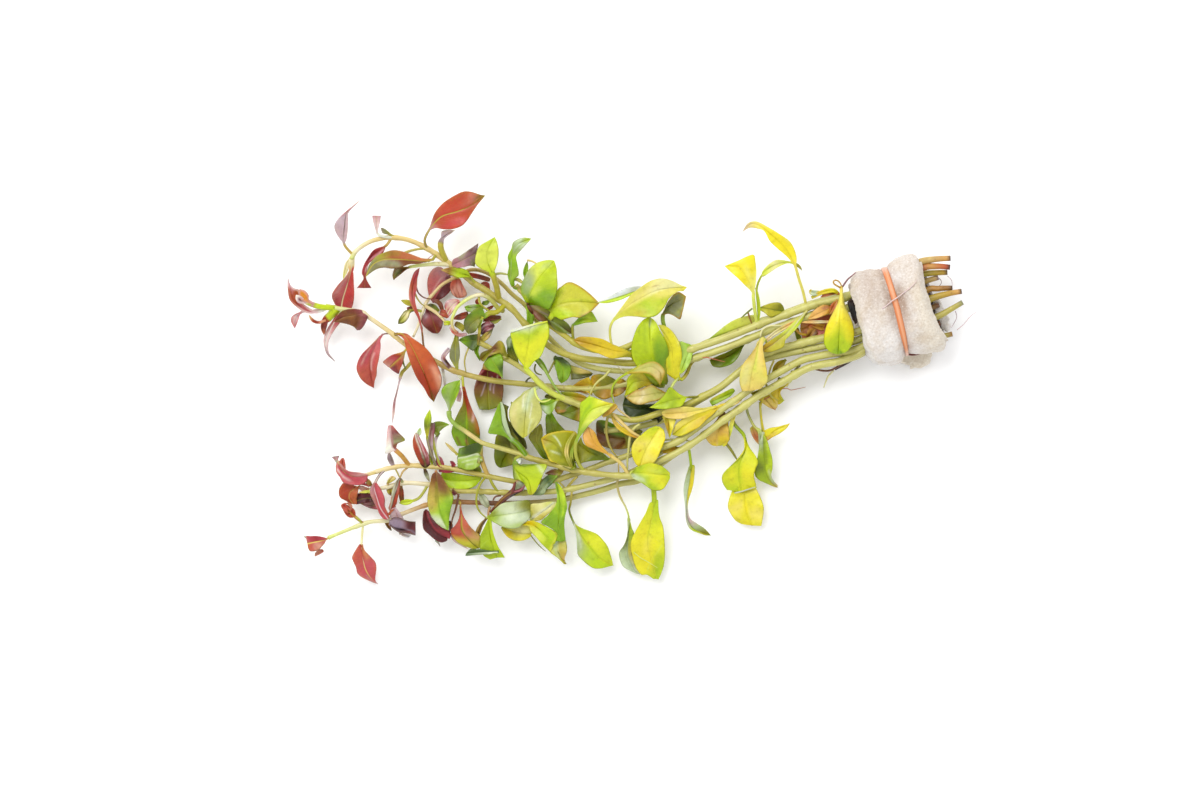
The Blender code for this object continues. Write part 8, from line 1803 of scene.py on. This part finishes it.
    for key, sign in (("leftTone", 1), ("rightTone", -1)):
        if key in leaf:
            blend(leaf[key], smoothStep(0.0, f["halfFade"], sign * u)[None, :] * onBlade)
    if "edge" in leaf:
        inward = w * (1 - np.abs(u)) / mm
        blend(leaf["edge"], smoothStep(-f["edgeFar"], -f["edgeNear"], -inward) * f["edgeStrength"] * onBlade)
    spot = flat[..., ::-1]
    # Marks blend their tones over the blade; the pale ones noted at some leaves are painted highlights.
    for b0, u0, b1, u1, width, words, strength in leaf.get("marks", ()):
        first, last = (np.array([(at * (1 - start) + start) * length[-1] / mm, side * widths.max() / mm])
                       for at, side in ((b0, u0), (b1, u1)))
        way = last - first
        s = np.clip(((spot - first) @ way) / max(way @ way, 1e-9), 0, 1)
        gone = np.linalg.norm(spot - (first + s[..., None] * way), axis=-1)
        blend(words, hill(gone, 0, width) * strength)
    under = mixTone(tone, leaf.get("under", "paleOlive"), f["underShare"])
    tone = np.concatenate([tone, under[:, -2:0:-1]], axis=1)
    flat = np.concatenate([flat, flat[:, -2:0:-1]], axis=1)
    ribTone = rampTone(leaf.get("ribTone", "paleOlive"), blade)[:, None, :]
    look = np.array([leaf.get("veins", 0.5), leaf.get("spots", 0.0), leaf.get("ribbing", 0.2)])
    return ringsPart(rings, flat, tone, ribTone, look[None, None, :])


joined = {name: [] for name in stems}
for name, leaf in leaves.items():
    part = leafPart(name, leaf)
    if "own" in leaf.get("kind", ""):
        makePiece(name, [part], leafMaterial, [snake(name)], slotOf[snake(name)])
    else:
        joined[leaf["stem"]].append(part)
for name, parts in joined.items():
    if parts:
        makePiece(name + "Leaves", parts, leafMaterial, [snake(name) + "_stem"], "stem")
print("leaves", len(leaves))

# The stems swell a little where each leaf grows.
for name, s in stems.items():
    path = stemPaths[name]
    share = np.linspace(0, 1, len(path))
    length = (len(path) - 1) * stemBuild["pointGap"]
    plain = radius = stemRadius(s, share, length)
    for leaf in leafRows[name].values():
        at = nearestOn(path, place(leaf["rib"][:1])[0])[1]
        bump = hill(share * length, at * length, stemBuild["swellingLength"])
        radius = np.maximum(radius, plain * (1 + stemBuild["swelling"] * bump))
    parts = [tubePart(path, radius, s["tone"])]
    for shoot in shoots.values():
        if shoot["stem"] == name:
            line = evenPath(place(shoot["route"]), stemBuild["pointGap"])
            thin = (shoot["first"] + (shoot["last"] - shoot["first"]) * np.linspace(0, 1, len(line))) * mm
            parts.append(tubePart(line, thin, shoot["tone"]))
    makePiece(name + "Stem", parts, stemMaterial, [snake(name) + "_stem"], "stem")
print("stems", len(stems))


# Smooth bumps: a sum of sine waves in seeded directions, about one every size metres.
def lumps(points, size, seed, waves=28):
    draw = np.random.default_rng(seed)
    ways = unit(draw.normal(size=(waves, 3))) * (2 * math.pi / size) * draw.uniform(0.6, 1.5, (waves, 1))
    phases = draw.uniform(0, 2 * math.pi, waves)
    return np.sin(points @ ways.T + phases).sum(axis=-1) * math.sqrt(2 / waves)


# The line through the foam, from its end at the leaves to its end at the cut stems, and its height in mm.
bunch = dict(left=(854, 320), right=(944, 298), middle=13.0)
ends = place([(*bunch["left"], bunch["middle"]), (*bunch["right"], bunch["middle"])])
bunchMiddle = ends.mean(axis=0)
bunchForward = unit(ends[1] - ends[0])
bunchAside = np.array([-bunchForward[1], bunchForward[0], 0])


# Places by their distances along the bunch's line, across it and up, in metres.
def bunchPoint(along, sideways, up):
    along, sideways, up = np.broadcast_arrays(along, sideways, up)
    return (bunchMiddle + along[..., None] * bunchForward + sideways[..., None] * bunchAside
            + up[..., None] * np.array([0, 0, 1.0]))


# Ends, slants, the band's place and the (place, half width) pairs are in photo steps along the bunch's
# line; heights, the end radius and the opening (half height, half width left and right) in millimetres.
foamLook = dict(stations=90, around=300, squareness=0.8, endRadius=3.0, leftEnd=-41.0, rightEnd=34.0,
                rightSlant=-3.5, rightDip=5.4, halfHeight=12.6, pinchHeight=1.9, pinchLength=5.5,
                bandPlace=-3.0,
                upper=[(-41, 44), (-33, 46.5), (-20, 45), (-10, 42.5), (-5, 41), (0, 46), (8, 50), (18, 51),
                       (28, 50), (36, 47)],
                lower=[(-41, 46), (-33, 50), (-22, 53), (-12, 52), (-4, 44.5), (2, 46.5), (10, 48.5),
                       (22, 50), (34, 51), (38, 49)],
                hole=(4.2, 11.2, 14.0), holeSquareness=0.62, faceBulge=0.8, faceRows=12, holeRows=10,
                endTaper=0.8, bottomStretch=1.12, underGap=0.15, underPinch=0.5, underTuck=0.2,
                lumps=((0.0085, 0.7), (0.0034, 0.3)), lumpHeight=0.22, fuzzSize=0.0011, fuzzHeight=0.06)
stepMm, aboveTable = step / mm, 0.0001


# The wrap is a sleeve: ovals along the bunch, flat below, rounded over both ends into the opening.
def foamRings():
    f = foamLook
    angle = np.linspace(0, 2 * math.pi, f["around"], endpoint=False)[None, :]
    c, s = np.cos(angle), np.sin(angle)
    outer = np.linspace(0, 1, f["stations"])[:, None]
    rightEnd = f["rightEnd"] + f["rightSlant"] * c - f["rightDip"] * np.clip(s, 0, 1) ** 2
    along = f["leftEnd"] + (rightEnd - f["leftEnd"]) * outer
    fromEnd = np.minimum(outer, 1 - outer) * (f["rightEnd"] - f["leftEnd"]) * stepMm
    tuck = f["endRadius"] * (1 - np.sqrt(1 - np.clip(1 - fromEnd / f["endRadius"], 0, 1) ** 2))
    upper, lower = (np.interp(along, *np.array(f[key], float).T) for key in ("upper", "lower"))
    wide = np.where(c > 0, upper, lower) * stepMm - tuck * f["endTaper"]
    pinch = hill(along, f["bandPlace"], f["pinchLength"])
    tall = f["halfHeight"] - f["pinchHeight"] * pinch - tuck
    sideways, up = wide * squared(c, f["squareness"]), tall * squared(s, f["squareness"])
    underside = f["underGap"] - bunch["middle"] + f["underPinch"] * pinch + f["underTuck"] * tuck
    up = np.where(up < 0, np.maximum(up * f["bottomStretch"], underside), up)
    along = along * stepMm
    height, leftWide, rightWide = f["hole"]

    # A face over one end, from the rounded edge at share 0 to the opening at 1.
    def face(share, row, holeWide, bulge):
        holeSide, holeUp = (size * squared(wave, f["holeSquareness"])
                            for size, wave in ((holeWide, c), (height, s)))
        edge = [p[row:row + 1 or None] for p in (along, sideways, up)]
        return (edge[0] + bulge * np.sin(share * math.pi), edge[1] * (1 - share) + holeSide * share,
                edge[2] * (1 - share) + holeUp * share)

    share = np.linspace(0, 1, f["faceRows"] + 1)[1:, None]
    right = face(share, -1, rightWide, f["faceBulge"])
    left = face(share[::-1], 0, leftWide, -f["faceBulge"])
    inside = np.linspace(0, 1, f["holeRows"] + 2)[1:-1, None]
    through = [r[-1:] * (1 - inside) + l[:1] * inside for r, l in zip(right, left)]
    pieces = [np.vstack([np.broadcast_to(part, (part.shape[0], f["around"])) for part in column])
              for column in zip((along, sideways, up), right, through, left)]
    return bunchPoint(*(p * mm for p in pieces)), pieces


# The sleeve with its bumps and tones, among them painted shade by the band and in the opening and a painted
# highlight above the band. Places along and sideways are in millimetres here.
def foamSkin():
    f = foamLook
    rings, (along, sideways, up) = foamRings()
    outward = unit(np.cross(np.roll(rings, -1, axis=0) - np.roll(rings, 1, axis=0),
                            np.roll(rings, -1, axis=1) - np.roll(rings, 1, axis=1)))
    fromLine = rings - bunchPoint(along * mm, 0 * along, 0 * along)
    outer = f["stations"]
    outward *= np.sign(np.einsum("ijk,ijk->", outward[:outer], fromLine[:outer]))
    coarse = sum(lumps(rings, size, seed) * share for seed, (size, share) in enumerate(f["lumps"], 3))
    fuzz = lumps(rings, f["fuzzSize"], 5, 60)
    grow = (f["lumpHeight"] * np.clip(coarse, -1.6, 1.0) + f["fuzzHeight"] * fuzz) * mm
    grow *= 1 - 0.85 * hill(along / stepMm, f["bandPlace"], 5.0)
    grow = np.where(up < -bunch["middle"] + 1.2, np.minimum(grow, 0), grow)
    rings = rings + outward * grow[..., None]
    rings[..., 2] = np.maximum(rings[..., 2], aboveTable)
    pinch = hill(along / stepMm, f["bandPlace"], 6.0)
    above = up > 0
    row = np.arange(len(up))[:, None] - outer  # 0 and more on the end faces and in the opening
    # inHole and lip mark the inside of the opening and the lower lip of the right end; both are darkened
    # below as painted shade of the hollow.
    inHole = (row >= 10) * smoothStep(13.0, 10.5, np.abs(sideways)) * smoothStep(6.5, 4.0, np.abs(up))
    lip = (row >= 1) * (row < f["faceRows"]) * smoothStep(12.5, 9.5, np.abs(sideways))
    lip = lip * smoothStep(2.0, -1.0, up) * smoothStep(-11.0, -7.0, up)
    tone = np.broadcast_to(toneOf("foam"), rings.shape).copy()
    for name, weight in (
            ("foamPale", smoothStep(2, -12, sideways) * 0.8),
            ("foamWarm", smoothStep(-0.2, 1.3, coarse) * 0.35),
            # painted shade: brown in the crease where the band pinches the wrap, mottled by the lumps
            ("foamBrown", pinch * (0.3 + 0.4 * smoothStep(-0.6, 1.2, -coarse)) * above),
            ("foamCream", smoothStep(3.5, 7.5, along) * smoothStep(9, 2, sideways) * 0.75 * above),
            ("foamBrown", hill(along, -8.0, 3.6) * smoothStep(-2, 9, sideways) * 0.35 * above),
            # painted shade along the band's edge
            ("foamBrown", hill(along, -3.4, 1.6) * smoothStep(-9, 0, sideways) * 0.5 * above),
            # painted highlight above the band
            ("foamPale", hill(along, 1.0, 2.2) * hill(sideways, 10.5, 2.6) * 0.8 * above),
            # painted shade beside the band
            ("foamBrown", hill(along, 1.2, 1.8) * hill(sideways, 2.0, 7.0) * 0.75),
            ("foamWarm", hill(along, 4.5, 3.2) * hill(sideways, -11.5, 2.6) * 0.7),
            # painted shade inside the opening and on its lower lip
            ("darkBrown", inHole * 0.7), ("darkBrown", lip * 0.75)):
        tone = mixTone(tone, name, weight)
    return loopPart(rings, np.stack([along, sideways], axis=-1), tone)


# Beige fibre foam: pale and brown specks from fine noise, pores and lint in the bump.
def foamFinish():
    n = Nodes("foamFinish")
    tone, spot = n.attribute("tone"), n.spot()
    specks = n.noise(spot, 1500.0, 5.0, 0.65)
    patches = n.noise(spot, 420.0, 4.0, 0.6)
    pores = n.dots(spot, 1500.0)
    dark = n.mix(1.0, tone, (0.74, 0.65, 0.57, 1), "MULTIPLY")
    base, pale = tone, n.mix(0.5, tone, (1, 0.97, 0.94, 1))
    for source, low, high, share, other in (
            (specks, 0.50, 0.70, 0.60, dark), (specks, 0.48, 0.30, 0.60, pale),
            (patches, 0.50, 0.70, 0.35, dark), (pores, 0.22, 0.06, 0.30, dark)):
        base = n.mix(n.times(n.band(source, low, high), share), base, other)
    height = n.total((specks, 1.6), (pores, 0.8), (patches, 1.2))
    return n.finish({"Base Color": base, "Normal": n.bump(height, 0.5, 0.0003), "Roughness": 0.95,
                     "Sheen Weight": 0.25, "Sheen Roughness": 0.6})


# Torn slabs of foam, lengths in metres.
slabLook = dict(points=160, rows=34, squareness=0.35, raggedSize=0.0022, raggedDepth=0.00022, bumpSize=0.003,
                bumpHeight=0.00015)


# A soft torn slab: rings shrink from the outline to its middle above and back below. Heights at its lower
# and upper edge in the picture, and its thickness, are in millimetres.
def slabPart(outline, heights, thickness, toneName, seed):
    f = slabLook
    edge = place(outline)
    edge = smoothPath(np.vstack([edge, edge[:1]]), np.linspace(0, 1, f["points"] + 1)[:-1])
    middle = edge.mean(axis=0)
    angle = np.linspace(math.pi / 2 - 0.02, -math.pi / 2 + 0.02, f["rows"])
    rings = middle + (edge - middle)[None, :, :] * squared(np.cos(angle), f["squareness"])[:, None, None]
    ragged = lumps(rings, f["raggedSize"], seed)[..., None] * f["raggedDepth"]
    rings = rings + ragged * unit(edge - middle)[None, :, :]
    low, high = heights
    lean = (rings[..., 1] - edge[:, 1].min()) / max(np.ptp(edge[:, 1]), 1e-9)
    rings[..., 2] = (low + (high - low) * lean + np.sin(angle)[:, None] * thickness / 2) * mm
    rings[..., 2] += lumps(rings, f["bumpSize"], seed + 1) * f["bumpHeight"]
    rings[..., 2] = np.maximum(rings[..., 2], aboveTable)
    return ringsPart(rings, rings[..., :2] / mm, np.broadcast_to(toneOf(toneName), rings.shape))


foamParts = [foamSkin(),
             slabPart([(897, 350), (898, 361), (905, 364), (909, 366), (912, 369.5), (919, 367.5), (928, 366),
                       (931, 359), (931, 350), (915, 345)], (2.6, 4.0), 4.2, "foamCream", 11),
             slabPart([(932, 296), (940, 300), (944, 309), (949, 318), (951, 327), (947, 332), (940, 326),
                       (934, 312)], (9.5, 10.5), 2.6, "foamPale", 12)]
foamPiece = makePiece("foamWrap", foamParts, foamFinish(), ["foam_wrap"], "foam")
print("foam")

# Places, slants and half widths in photo steps, thickness and heights in millimetres. The upper side is
# the one towards the picture's upper edge.
bandLook = dict(points=260, sides=20, thickness=0.95, place=-2.9, upperSlant=-2.3, lowerSlant=-0.6,
                halfWidth=3.1, lowerNarrowing=1.5, upperAt=-4.6, lowerAt=-3.6, slack=0.5, rise=0.45,
                underside=0.75)


# A flat ring round the wrap: a rounded bar carried round the oval of the groove.
def bandPart():
    f, b = foamLook, bandLook
    angle = np.linspace(0, 2 * math.pi, b["points"], endpoint=False)
    c, s = np.cos(angle), np.sin(angle)
    along = (b["place"] + b["upperSlant"] * np.clip(c, 0, 1) + b["lowerSlant"] * np.clip(-c, 0, 1)) * step
    half = (b["halfWidth"] - b["lowerNarrowing"] * smoothStep(-0.35, -1.0, c)) * step
    upper, lower = (np.interp(b[key + "At"], *np.array(f[key]).T) for key in ("upper", "lower"))
    wide = np.where(c > 0, upper, lower) * step + b["slack"] * mm
    tall = (f["halfHeight"] - f["pinchHeight"] + b["rise"]) * mm
    up = tall * squared(s, f["squareness"])
    up = np.where(up < 0, np.maximum(up * f["bottomStretch"], (b["underside"] - bunch["middle"]) * mm), up)
    line = bunchPoint(along, wide * squared(c, f["squareness"]), up)
    ahead = unit(np.roll(line, -1, axis=0) - np.roll(line, 1, axis=0))
    outward = unit(np.cross(ahead, bunchForward))
    outward *= np.sign(np.einsum("ij,ij->", outward, line - bunchMiddle))
    aside = unit(np.cross(outward, ahead))
    turn = np.linspace(0, 2 * math.pi, b["sides"], endpoint=False)
    ct, st = squared(np.cos(turn), 0.6), squared(np.sin(turn), 0.8)
    rings = (line[:, None, :] + aside[:, None, :] * (ct[None, :] * half[:, None])[..., None]
             + outward[:, None, :] * (st * b["thickness"] / 2 * mm)[None, :, None])
    flat = np.stack(np.broadcast_arrays(ct[None, :], (angle * 17)[:, None]), axis=-1)
    tone = np.broadcast_to(toneOf("bandOrange"), rings.shape).copy()
    # painted highlight: a pale line along the middle of the band's width
    tone = mixTone(tone, "bandHighlight", hill(ct, 0.1, 0.5)[None, :] * 0.75)
    tone = mixTone(tone, "bandPink", smoothStep(0.80, 0.99, np.abs(c))[:, None] * 0.8)
    return loopPart(rings, flat, tone)


# Satin rubber with faint lengthwise lines.
def rubberFinish():
    n = Nodes("rubberFinish")
    tone, lines = n.attribute("tone"), n.noise(n.stretched(n.flat(), 5.0, 0.05, 1.0), 1.0, 3.0, 0.6)
    dark = n.mix(1.0, tone, (0.86, 0.66, 0.55, 1), "MULTIPLY")
    return n.finish({"Base Color": n.mix(n.times(n.band(lines, 0.48, 0.66), 0.7), tone, dark),
                     "Normal": n.bump(lines, 0.6, 0.0002), "Roughness": 0.42, "Subsurface Weight": 0.1,
                     "Subsurface Radius": (1.0, 0.5, 0.3), "Subsurface Scale": 0.001})


makePiece("rubberBand", [bandPart()], rubberFinish(), ["rubber_band"], "band")
print("band")

# Fine roots, hairs and loose threads: a half thickness in millimetres, a tone and a route.
threads = dict(
    pairRim=(0.24, "silver", [(734.6, 493, 7.6), (741, 491.6, 8.2), (748, 489.4, 8.2), (755.4, 487, 7.6)]),
    curvedBrownStem=(0.3, "greenOlive", [(402.6, 358, 8), (403.6, 364, 8), (405.6, 369, 7.6)]),
    foldCrease=(0.16, "limePale", [(633.6, 552, 7.6), (640, 557.4, 8), (648, 562, 8), (657.6, 568, 7.4)]),
    oliveLoop=(0.4, "yellowOliveDeep", [(486.6, 476, 8), (480.4, 484, 10.2), (477, 494, 10.2),
        (476.6, 504, 9.6), (480, 512, 9), (487.6, 519, 8.8)]),
    olivePetiole=(0.5, "yellowOliveDeep", [(489.6, 477.6, 8), (493.6, 486, 8), (501, 495, 7.4)]),
    brownLoop=(0.3, "brown", [(501, 495.6, 8.4), (496, 496.4, 8.8), (493.6, 499, 8.8), (493, 503.6, 8)]),
    rustPetiole=(0.36, "brown", [(458.6, 494, 8.4), (456, 508, 8.6), (452.4, 519, 8.2), (451, 528, 7.8)]),
    brownArm=(0.3, "brown", [(452.6, 489.6, 8.4), (456, 492.6, 9), (459.4, 497, 9)]),
    oliveTail=(0.2, "olive", [(531, 535.6, 8), (535, 541, 7), (540, 546.6, 6), (545.6, 551.4, 5)]),
    greyNeck=(0.44, "tanBrown", [(490, 506.6, 8), (488.6, 512, 8.4), (488, 519, 8.6)]),
    tanLine=(0.34, "tanOlive", [(664, 440, 10.6), (672, 439.4, 11), (681, 439.6, 11), (691, 441.4, 11.6)]),
    olivePairPetiole=(0.5, "olive", [(725.6, 443, 8), (731, 450, 8), (737, 459.6, 8)]),
    oliveReach=(0.32, "greenOlive", [(679, 396.6, 12), (688, 397.4, 12.4), (699, 397.6, 12.6)]),
    peachDiagonal=(0.6, "peachGold", [(613, 414, 13), (622, 423, 13.6), (632, 432, 13.6),
        (643, 438.4, 13.4)]),
    whiteTwig=(0.3, "paleCream", [(735, 411, 13), (739, 408, 13), (744, 402.6, 12.4)]),
    oliveUpright=(0.42, "yellowOlive", [(760, 402, 9), (760.6, 412, 8.6), (761.6, 424, 8), (763, 436, 7)]),
    dropLoop=(0.3, "ochre", [(841.6, 289, 17.6), (838, 287, 17.8), (834, 284.6, 18), (832.6, 282, 18),
        (835.4, 280.4, 18), (839, 282.6, 17.8), (841.6, 287.6, 17.4)]),
    greenTwig=(0.3, "greenOlive", [(752, 308.6, 15.6), (746, 313.6, 15), (741, 318, 14.4)]),
    brownPetiole=(0.3, "ochreBrown", [(747.6, 312, 15), (749.4, 318, 15), (752, 325, 14.4)]),
    oliveBend=(0.38, "yellowOlive", [(765.4, 383, 13), (768, 390, 11), (771.6, 396.6, 9), (778, 400.6, 7)]),
    tanBend=(0.34, "oliveTan", [(773.6, 360.6, 13), (770.4, 368, 12), (768, 377, 12)]),
    creamBend=(0.42, "paleCream", [(800, 365, 9.4), (794, 371.6, 9), (790.6, 379, 8), (787, 387, 6.6)]),
    creamRoot=(0.34, "paleCream", [(833.4, 370.6, 7), (828, 377, 5), (824, 387.6, 3)]),
    brownRoot=(0.36, "brown", [(815.6, 369, 8), (822, 370.6, 7.6), (830, 370.4, 7.4), (838, 366.4, 8),
        (847, 361, 9)]),
    pinkWhisker=(0.16, "rustPale", [(764, 399.6, 9), (773, 395, 8), (781, 389.4, 7), (787, 388.4, 6),
        (791, 390, 5), (799, 388.6, 4), (806, 387, 3)]),
    tanUpright=(0.45, "stemOlive", [(608.6, 414, 12), (606.4, 424, 11), (606.6, 434, 10), (609, 444, 9.4),
        (613, 452, 9), (617.4, 457, 8.6)]),
    paleUpright=(0.5, "stemPale", [(640, 424, 13), (633.4, 429, 13), (630, 437, 12.6), (628.6, 450, 12),
        (627.4, 460, 11.6), (627.4, 470, 11)]),
    tanSlant=(0.36, "tanPale", [(613, 403, 13), (617.6, 409, 12.8), (625, 414.6, 12.6),
        (633, 420.4, 12.4)]),
    thinTan=(0.26, "tanPale", [(618.4, 462, 8), (618.6, 474, 6), (618, 485, 4.4), (619.4, 493, 3.4),
        (623, 501, 2.4)]),
    forkOne=(0.45, "stemOlive", [(577, 476.6, 10), (571, 483, 8), (566.4, 489, 6.4), (565, 497, 5.2)]),
    forkTwo=(0.32, "oliveTan", [(557.6, 479.6, 8), (562, 485, 7), (567, 490, 6)]),
    darkTwistOne=(0.42, "redBrown", [(509.6, 496, 10.6), (513.6, 489.6, 11), (515.6, 481.6, 11.4)]),
    darkTwistTwo=(0.36, "rosewood", [(514, 491.6, 10.8), (519.6, 490.6, 11), (524, 487, 11.2),
        (525.4, 483, 11.2)]),
    tanHook=(0.36, "tanPale", [(527.6, 260.6, 15.6), (532, 261.4, 16.6), (538, 264.6, 18)]),
    paleBridge=(0.42, "paleOlive", [(493, 275.4, 14), (500, 273.6, 14), (509, 275, 14.6)]),
    oliveBridge=(0.6, "yellowOlive", [(514, 279, 14.6), (519, 280.4, 15), (525, 284.6, 15.6)]),
    greenBridge=(0.22, "olive", [(511.6, 286.6, 15.8), (516.6, 287.4, 15.8), (522.6, 285.8, 16.4)]),
    greenBranch=(0.5, "greenPale", [(536, 358, 11), (543, 367, 11.6), (549, 377, 11.8), (555, 387, 12),
        (562, 396, 11.8)]),
    darkBranch=(0.36, "olive", [(554.6, 361, 10), (551, 368, 11), (547.6, 375, 11.4)]),
    hookTwig=(0.3, "olive", [(535.6, 364, 9), (534.6, 369.6, 9), (537, 373.4, 9.4), (542, 375, 9.4)]),
    hookTwigTwo=(0.3, "darkOlive", [(525.6, 382, 8.6), (528.6, 378.6, 8.6), (534, 376.4, 9)]),
    limeArch=(0.4, "limeDeep", [(641, 365, 20), (634, 369.6, 18.6), (626, 374, 17), (618, 379.4, 15),
        (613, 386, 13.6), (611.8, 395, 13), (614.4, 404, 12.4)]),
    paleNeck=(0.5, "paleLime", [(670.6, 389.6, 15), (673.6, 383, 14.6), (678.6, 378, 13)]),
    tanArch=(0.4, "stemPale", [(611, 368.6, 12), (605, 376, 12.4), (598, 381.6, 12.6), (593, 388, 12.6),
        (588.6, 397.6, 12)]),
    whiteTail=(0.16, "cream", [(617.6, 366.6, 11.4), (621, 369, 11.6), (624.4, 372.6, 11)]),
    yellowHook=(0.4, "limePale", [(534.6, 388, 15.4), (536.6, 396, 16), (541, 401.4, 16.4),
        (547, 401, 16.4), (551, 399, 16)]),
    paleShootTwo=(0.6, "paleTan", [(425, 306, 7.4), (433, 310.5, 9), (440, 316, 10.4), (446, 323, 11.2)]),
    limeRing=(0.42, "yellowOlive", [(479, 297, 13), (480, 303, 12.6), (484, 307.5, 12.2),
        (490, 311, 11.8)]),
    oliveTwig=(0.3, "oliveTan", [(468.5, 348, 9), (465.5, 356, 9.2), (464.6, 363, 9), (466, 372, 8.4)]),
    darkTwigOne=(0.25, "redBrown", [(416.5, 287, 11), (418.5, 293, 10.4), (424, 297.6, 9),
        (431, 299, 7.6)]),
    darkTwigTwo=(0.3, "oliveTan", [(414.4, 290, 10.8), (416.6, 297, 10), (420.6, 303, 9), (424.6, 306, 8)]),
    tanTwigOne=(0.28, "oliveTan", [(394.4, 467, 8.6), (398, 474, 8), (400.6, 480, 7.6)]),
    tanTwigTwo=(0.34, "tan", [(409, 466.6, 8), (402.6, 472, 8), (399.6, 480, 7.6)]),
    mauveHair=(0.13, "mauvePink", [(427, 260, 14), (430, 257.5, 14.4), (434, 254.5, 13)]),
    oliveStalk=(0.45, "oliveTan", [(401, 255, 12.4), (408, 251.8, 12), (418, 249.3, 11.6),
        (428, 249, 10.8)]),
    whiteThread=(0.2, "pinkWhite", [(881, 309, 25.4), (886, 305.5, 25.6), (890, 302, 25.2),
        (896, 298, 25.3), (902, 293.5, 25.6), (908, 289, 25.9), (913, 284, 25.9), (916, 280, 25.6)]),
    leftRoot=(0.32, "mauve", [(842, 287, 17), (846, 281, 18.5), (850, 277, 20), (855, 273, 20.5)]),
    cutHairOne=(0.12, "greyMauve", [(937, 277, 12), (941, 281, 12), (940, 285, 12), (937, 287, 12)]),
    cutHairTwo=(0.1, "paleMauve", [(947, 276, 11), (951, 280, 11), (952, 286, 11), (951, 291, 12)]),
    cutHairThree=(0.14, "paleMauve", [(955, 311, 11), (956.5, 317, 11), (954, 323, 10), (951, 328, 10)]),
    cutHairFour=(0.09, "pink", [(957, 330, 9), (964, 324, 8), (970, 317, 7), (975, 313, 6.5),
        (977, 312, 6)]),
    # painted shade: a dark line in the shaded gap under the right roll
    rollGapShade=(0.34, "redBrown", [(905, 353, 8), (910, 354.6, 8.6), (916, 354.6, 8.6), (922, 353, 8)]),
    lowRoot=(0.5, "darkBrown", [(835, 369, 3.5), (845, 364, 4), (855, 358, 5), (863, 352, 6.5),
        (868, 346, 8)]),
    whiteArch=(0.3, "paleCream", [(760, 337, 15.8), (762, 330, 16), (768, 326.5, 16.2), (776, 325.5, 16.4),
        (785, 327, 16.2)]),
    pinkRoot=(0.17, "rustPale", [(697, 358, 13), (706, 357.5, 14.2), (715, 359.5, 14.6), (725, 362, 13.4)]),
)
threadBuild = dict(pointGap=0.0006, thinning=0.5)
threadParts = []
for half, tone, route in threads.values():
    line = evenPath(place(route), threadBuild["pointGap"])
    thin = half * mm * (1 - threadBuild["thinning"] * np.linspace(0, 1, len(line)) ** 3)
    threadParts.append(tubePart(line, thin, tone))
makePiece("rootsAndThreads", threadParts, stemMaterial, [], "stem")
print("threads", len(threads))


# Adds an object to the scene at a place, turned to look at a target.
def stand(name, data, location=(0, 0, 0), target=None):
    thing = bpy.data.objects.new(name, data)
    thing.location = location
    if target:
        thing.rotation_euler = (Vector(target) - Vector(location)).to_track_quat("-Z", "Y").to_euler()
    bpy.context.scene.collection.objects.link(thing)
    return thing


view = dict(distance=4.0, target=(-0.0085, -0.00417, 0.008), frameWidth=0.4, sensor=36.0)
x, y, z = view["target"]
cameraData = bpy.data.cameras.new("camera")
cameraData.lens = view["sensor"] * view["distance"] / view["frameWidth"]
cameraData.sensor_width = view["sensor"]
bpy.context.scene.camera = stand("camera", cameraData, (x, y, z + view["distance"]))

table = dict(halfSize=3.0, tone=(0.97, 0.97, 0.975, 1), roughness=0.9)
floorMesh = bpy.data.meshes.new("floor")
half = table["halfSize"]
corners = [(-half, -half, 0), (half, -half, 0), (half, half, 0), (-half, half, 0)]
floorMesh.from_pydata(corners, [], [(0, 1, 2, 3)])
floorMesh.materials.append(Nodes("floorFinish").finish({"Base Color": table["tone"],
                                                        "Roughness": table["roughness"]}))
stand("floor", floorMesh)

lighting = dict(world=1.0, key=17.2, keySize=1.0, keyPlace=(-0.5, 0.7, 1.3))
world = bpy.data.worlds.new("studio")
world.use_nodes = True
background = world.node_tree.nodes["Background"].inputs
background[0].default_value = (1, 1, 1, 1)
background[1].default_value = lighting["world"]
bpy.context.scene.world = world
keyData = bpy.data.lights.new("key", "AREA")
keyData.energy = lighting["key"]
keyData.size = lighting["keySize"]
stand("key", keyData, lighting["keyPlace"], view["target"])
bpy.context.scene.view_settings.view_transform = "Standard"

bpy.context.view_layer.update()
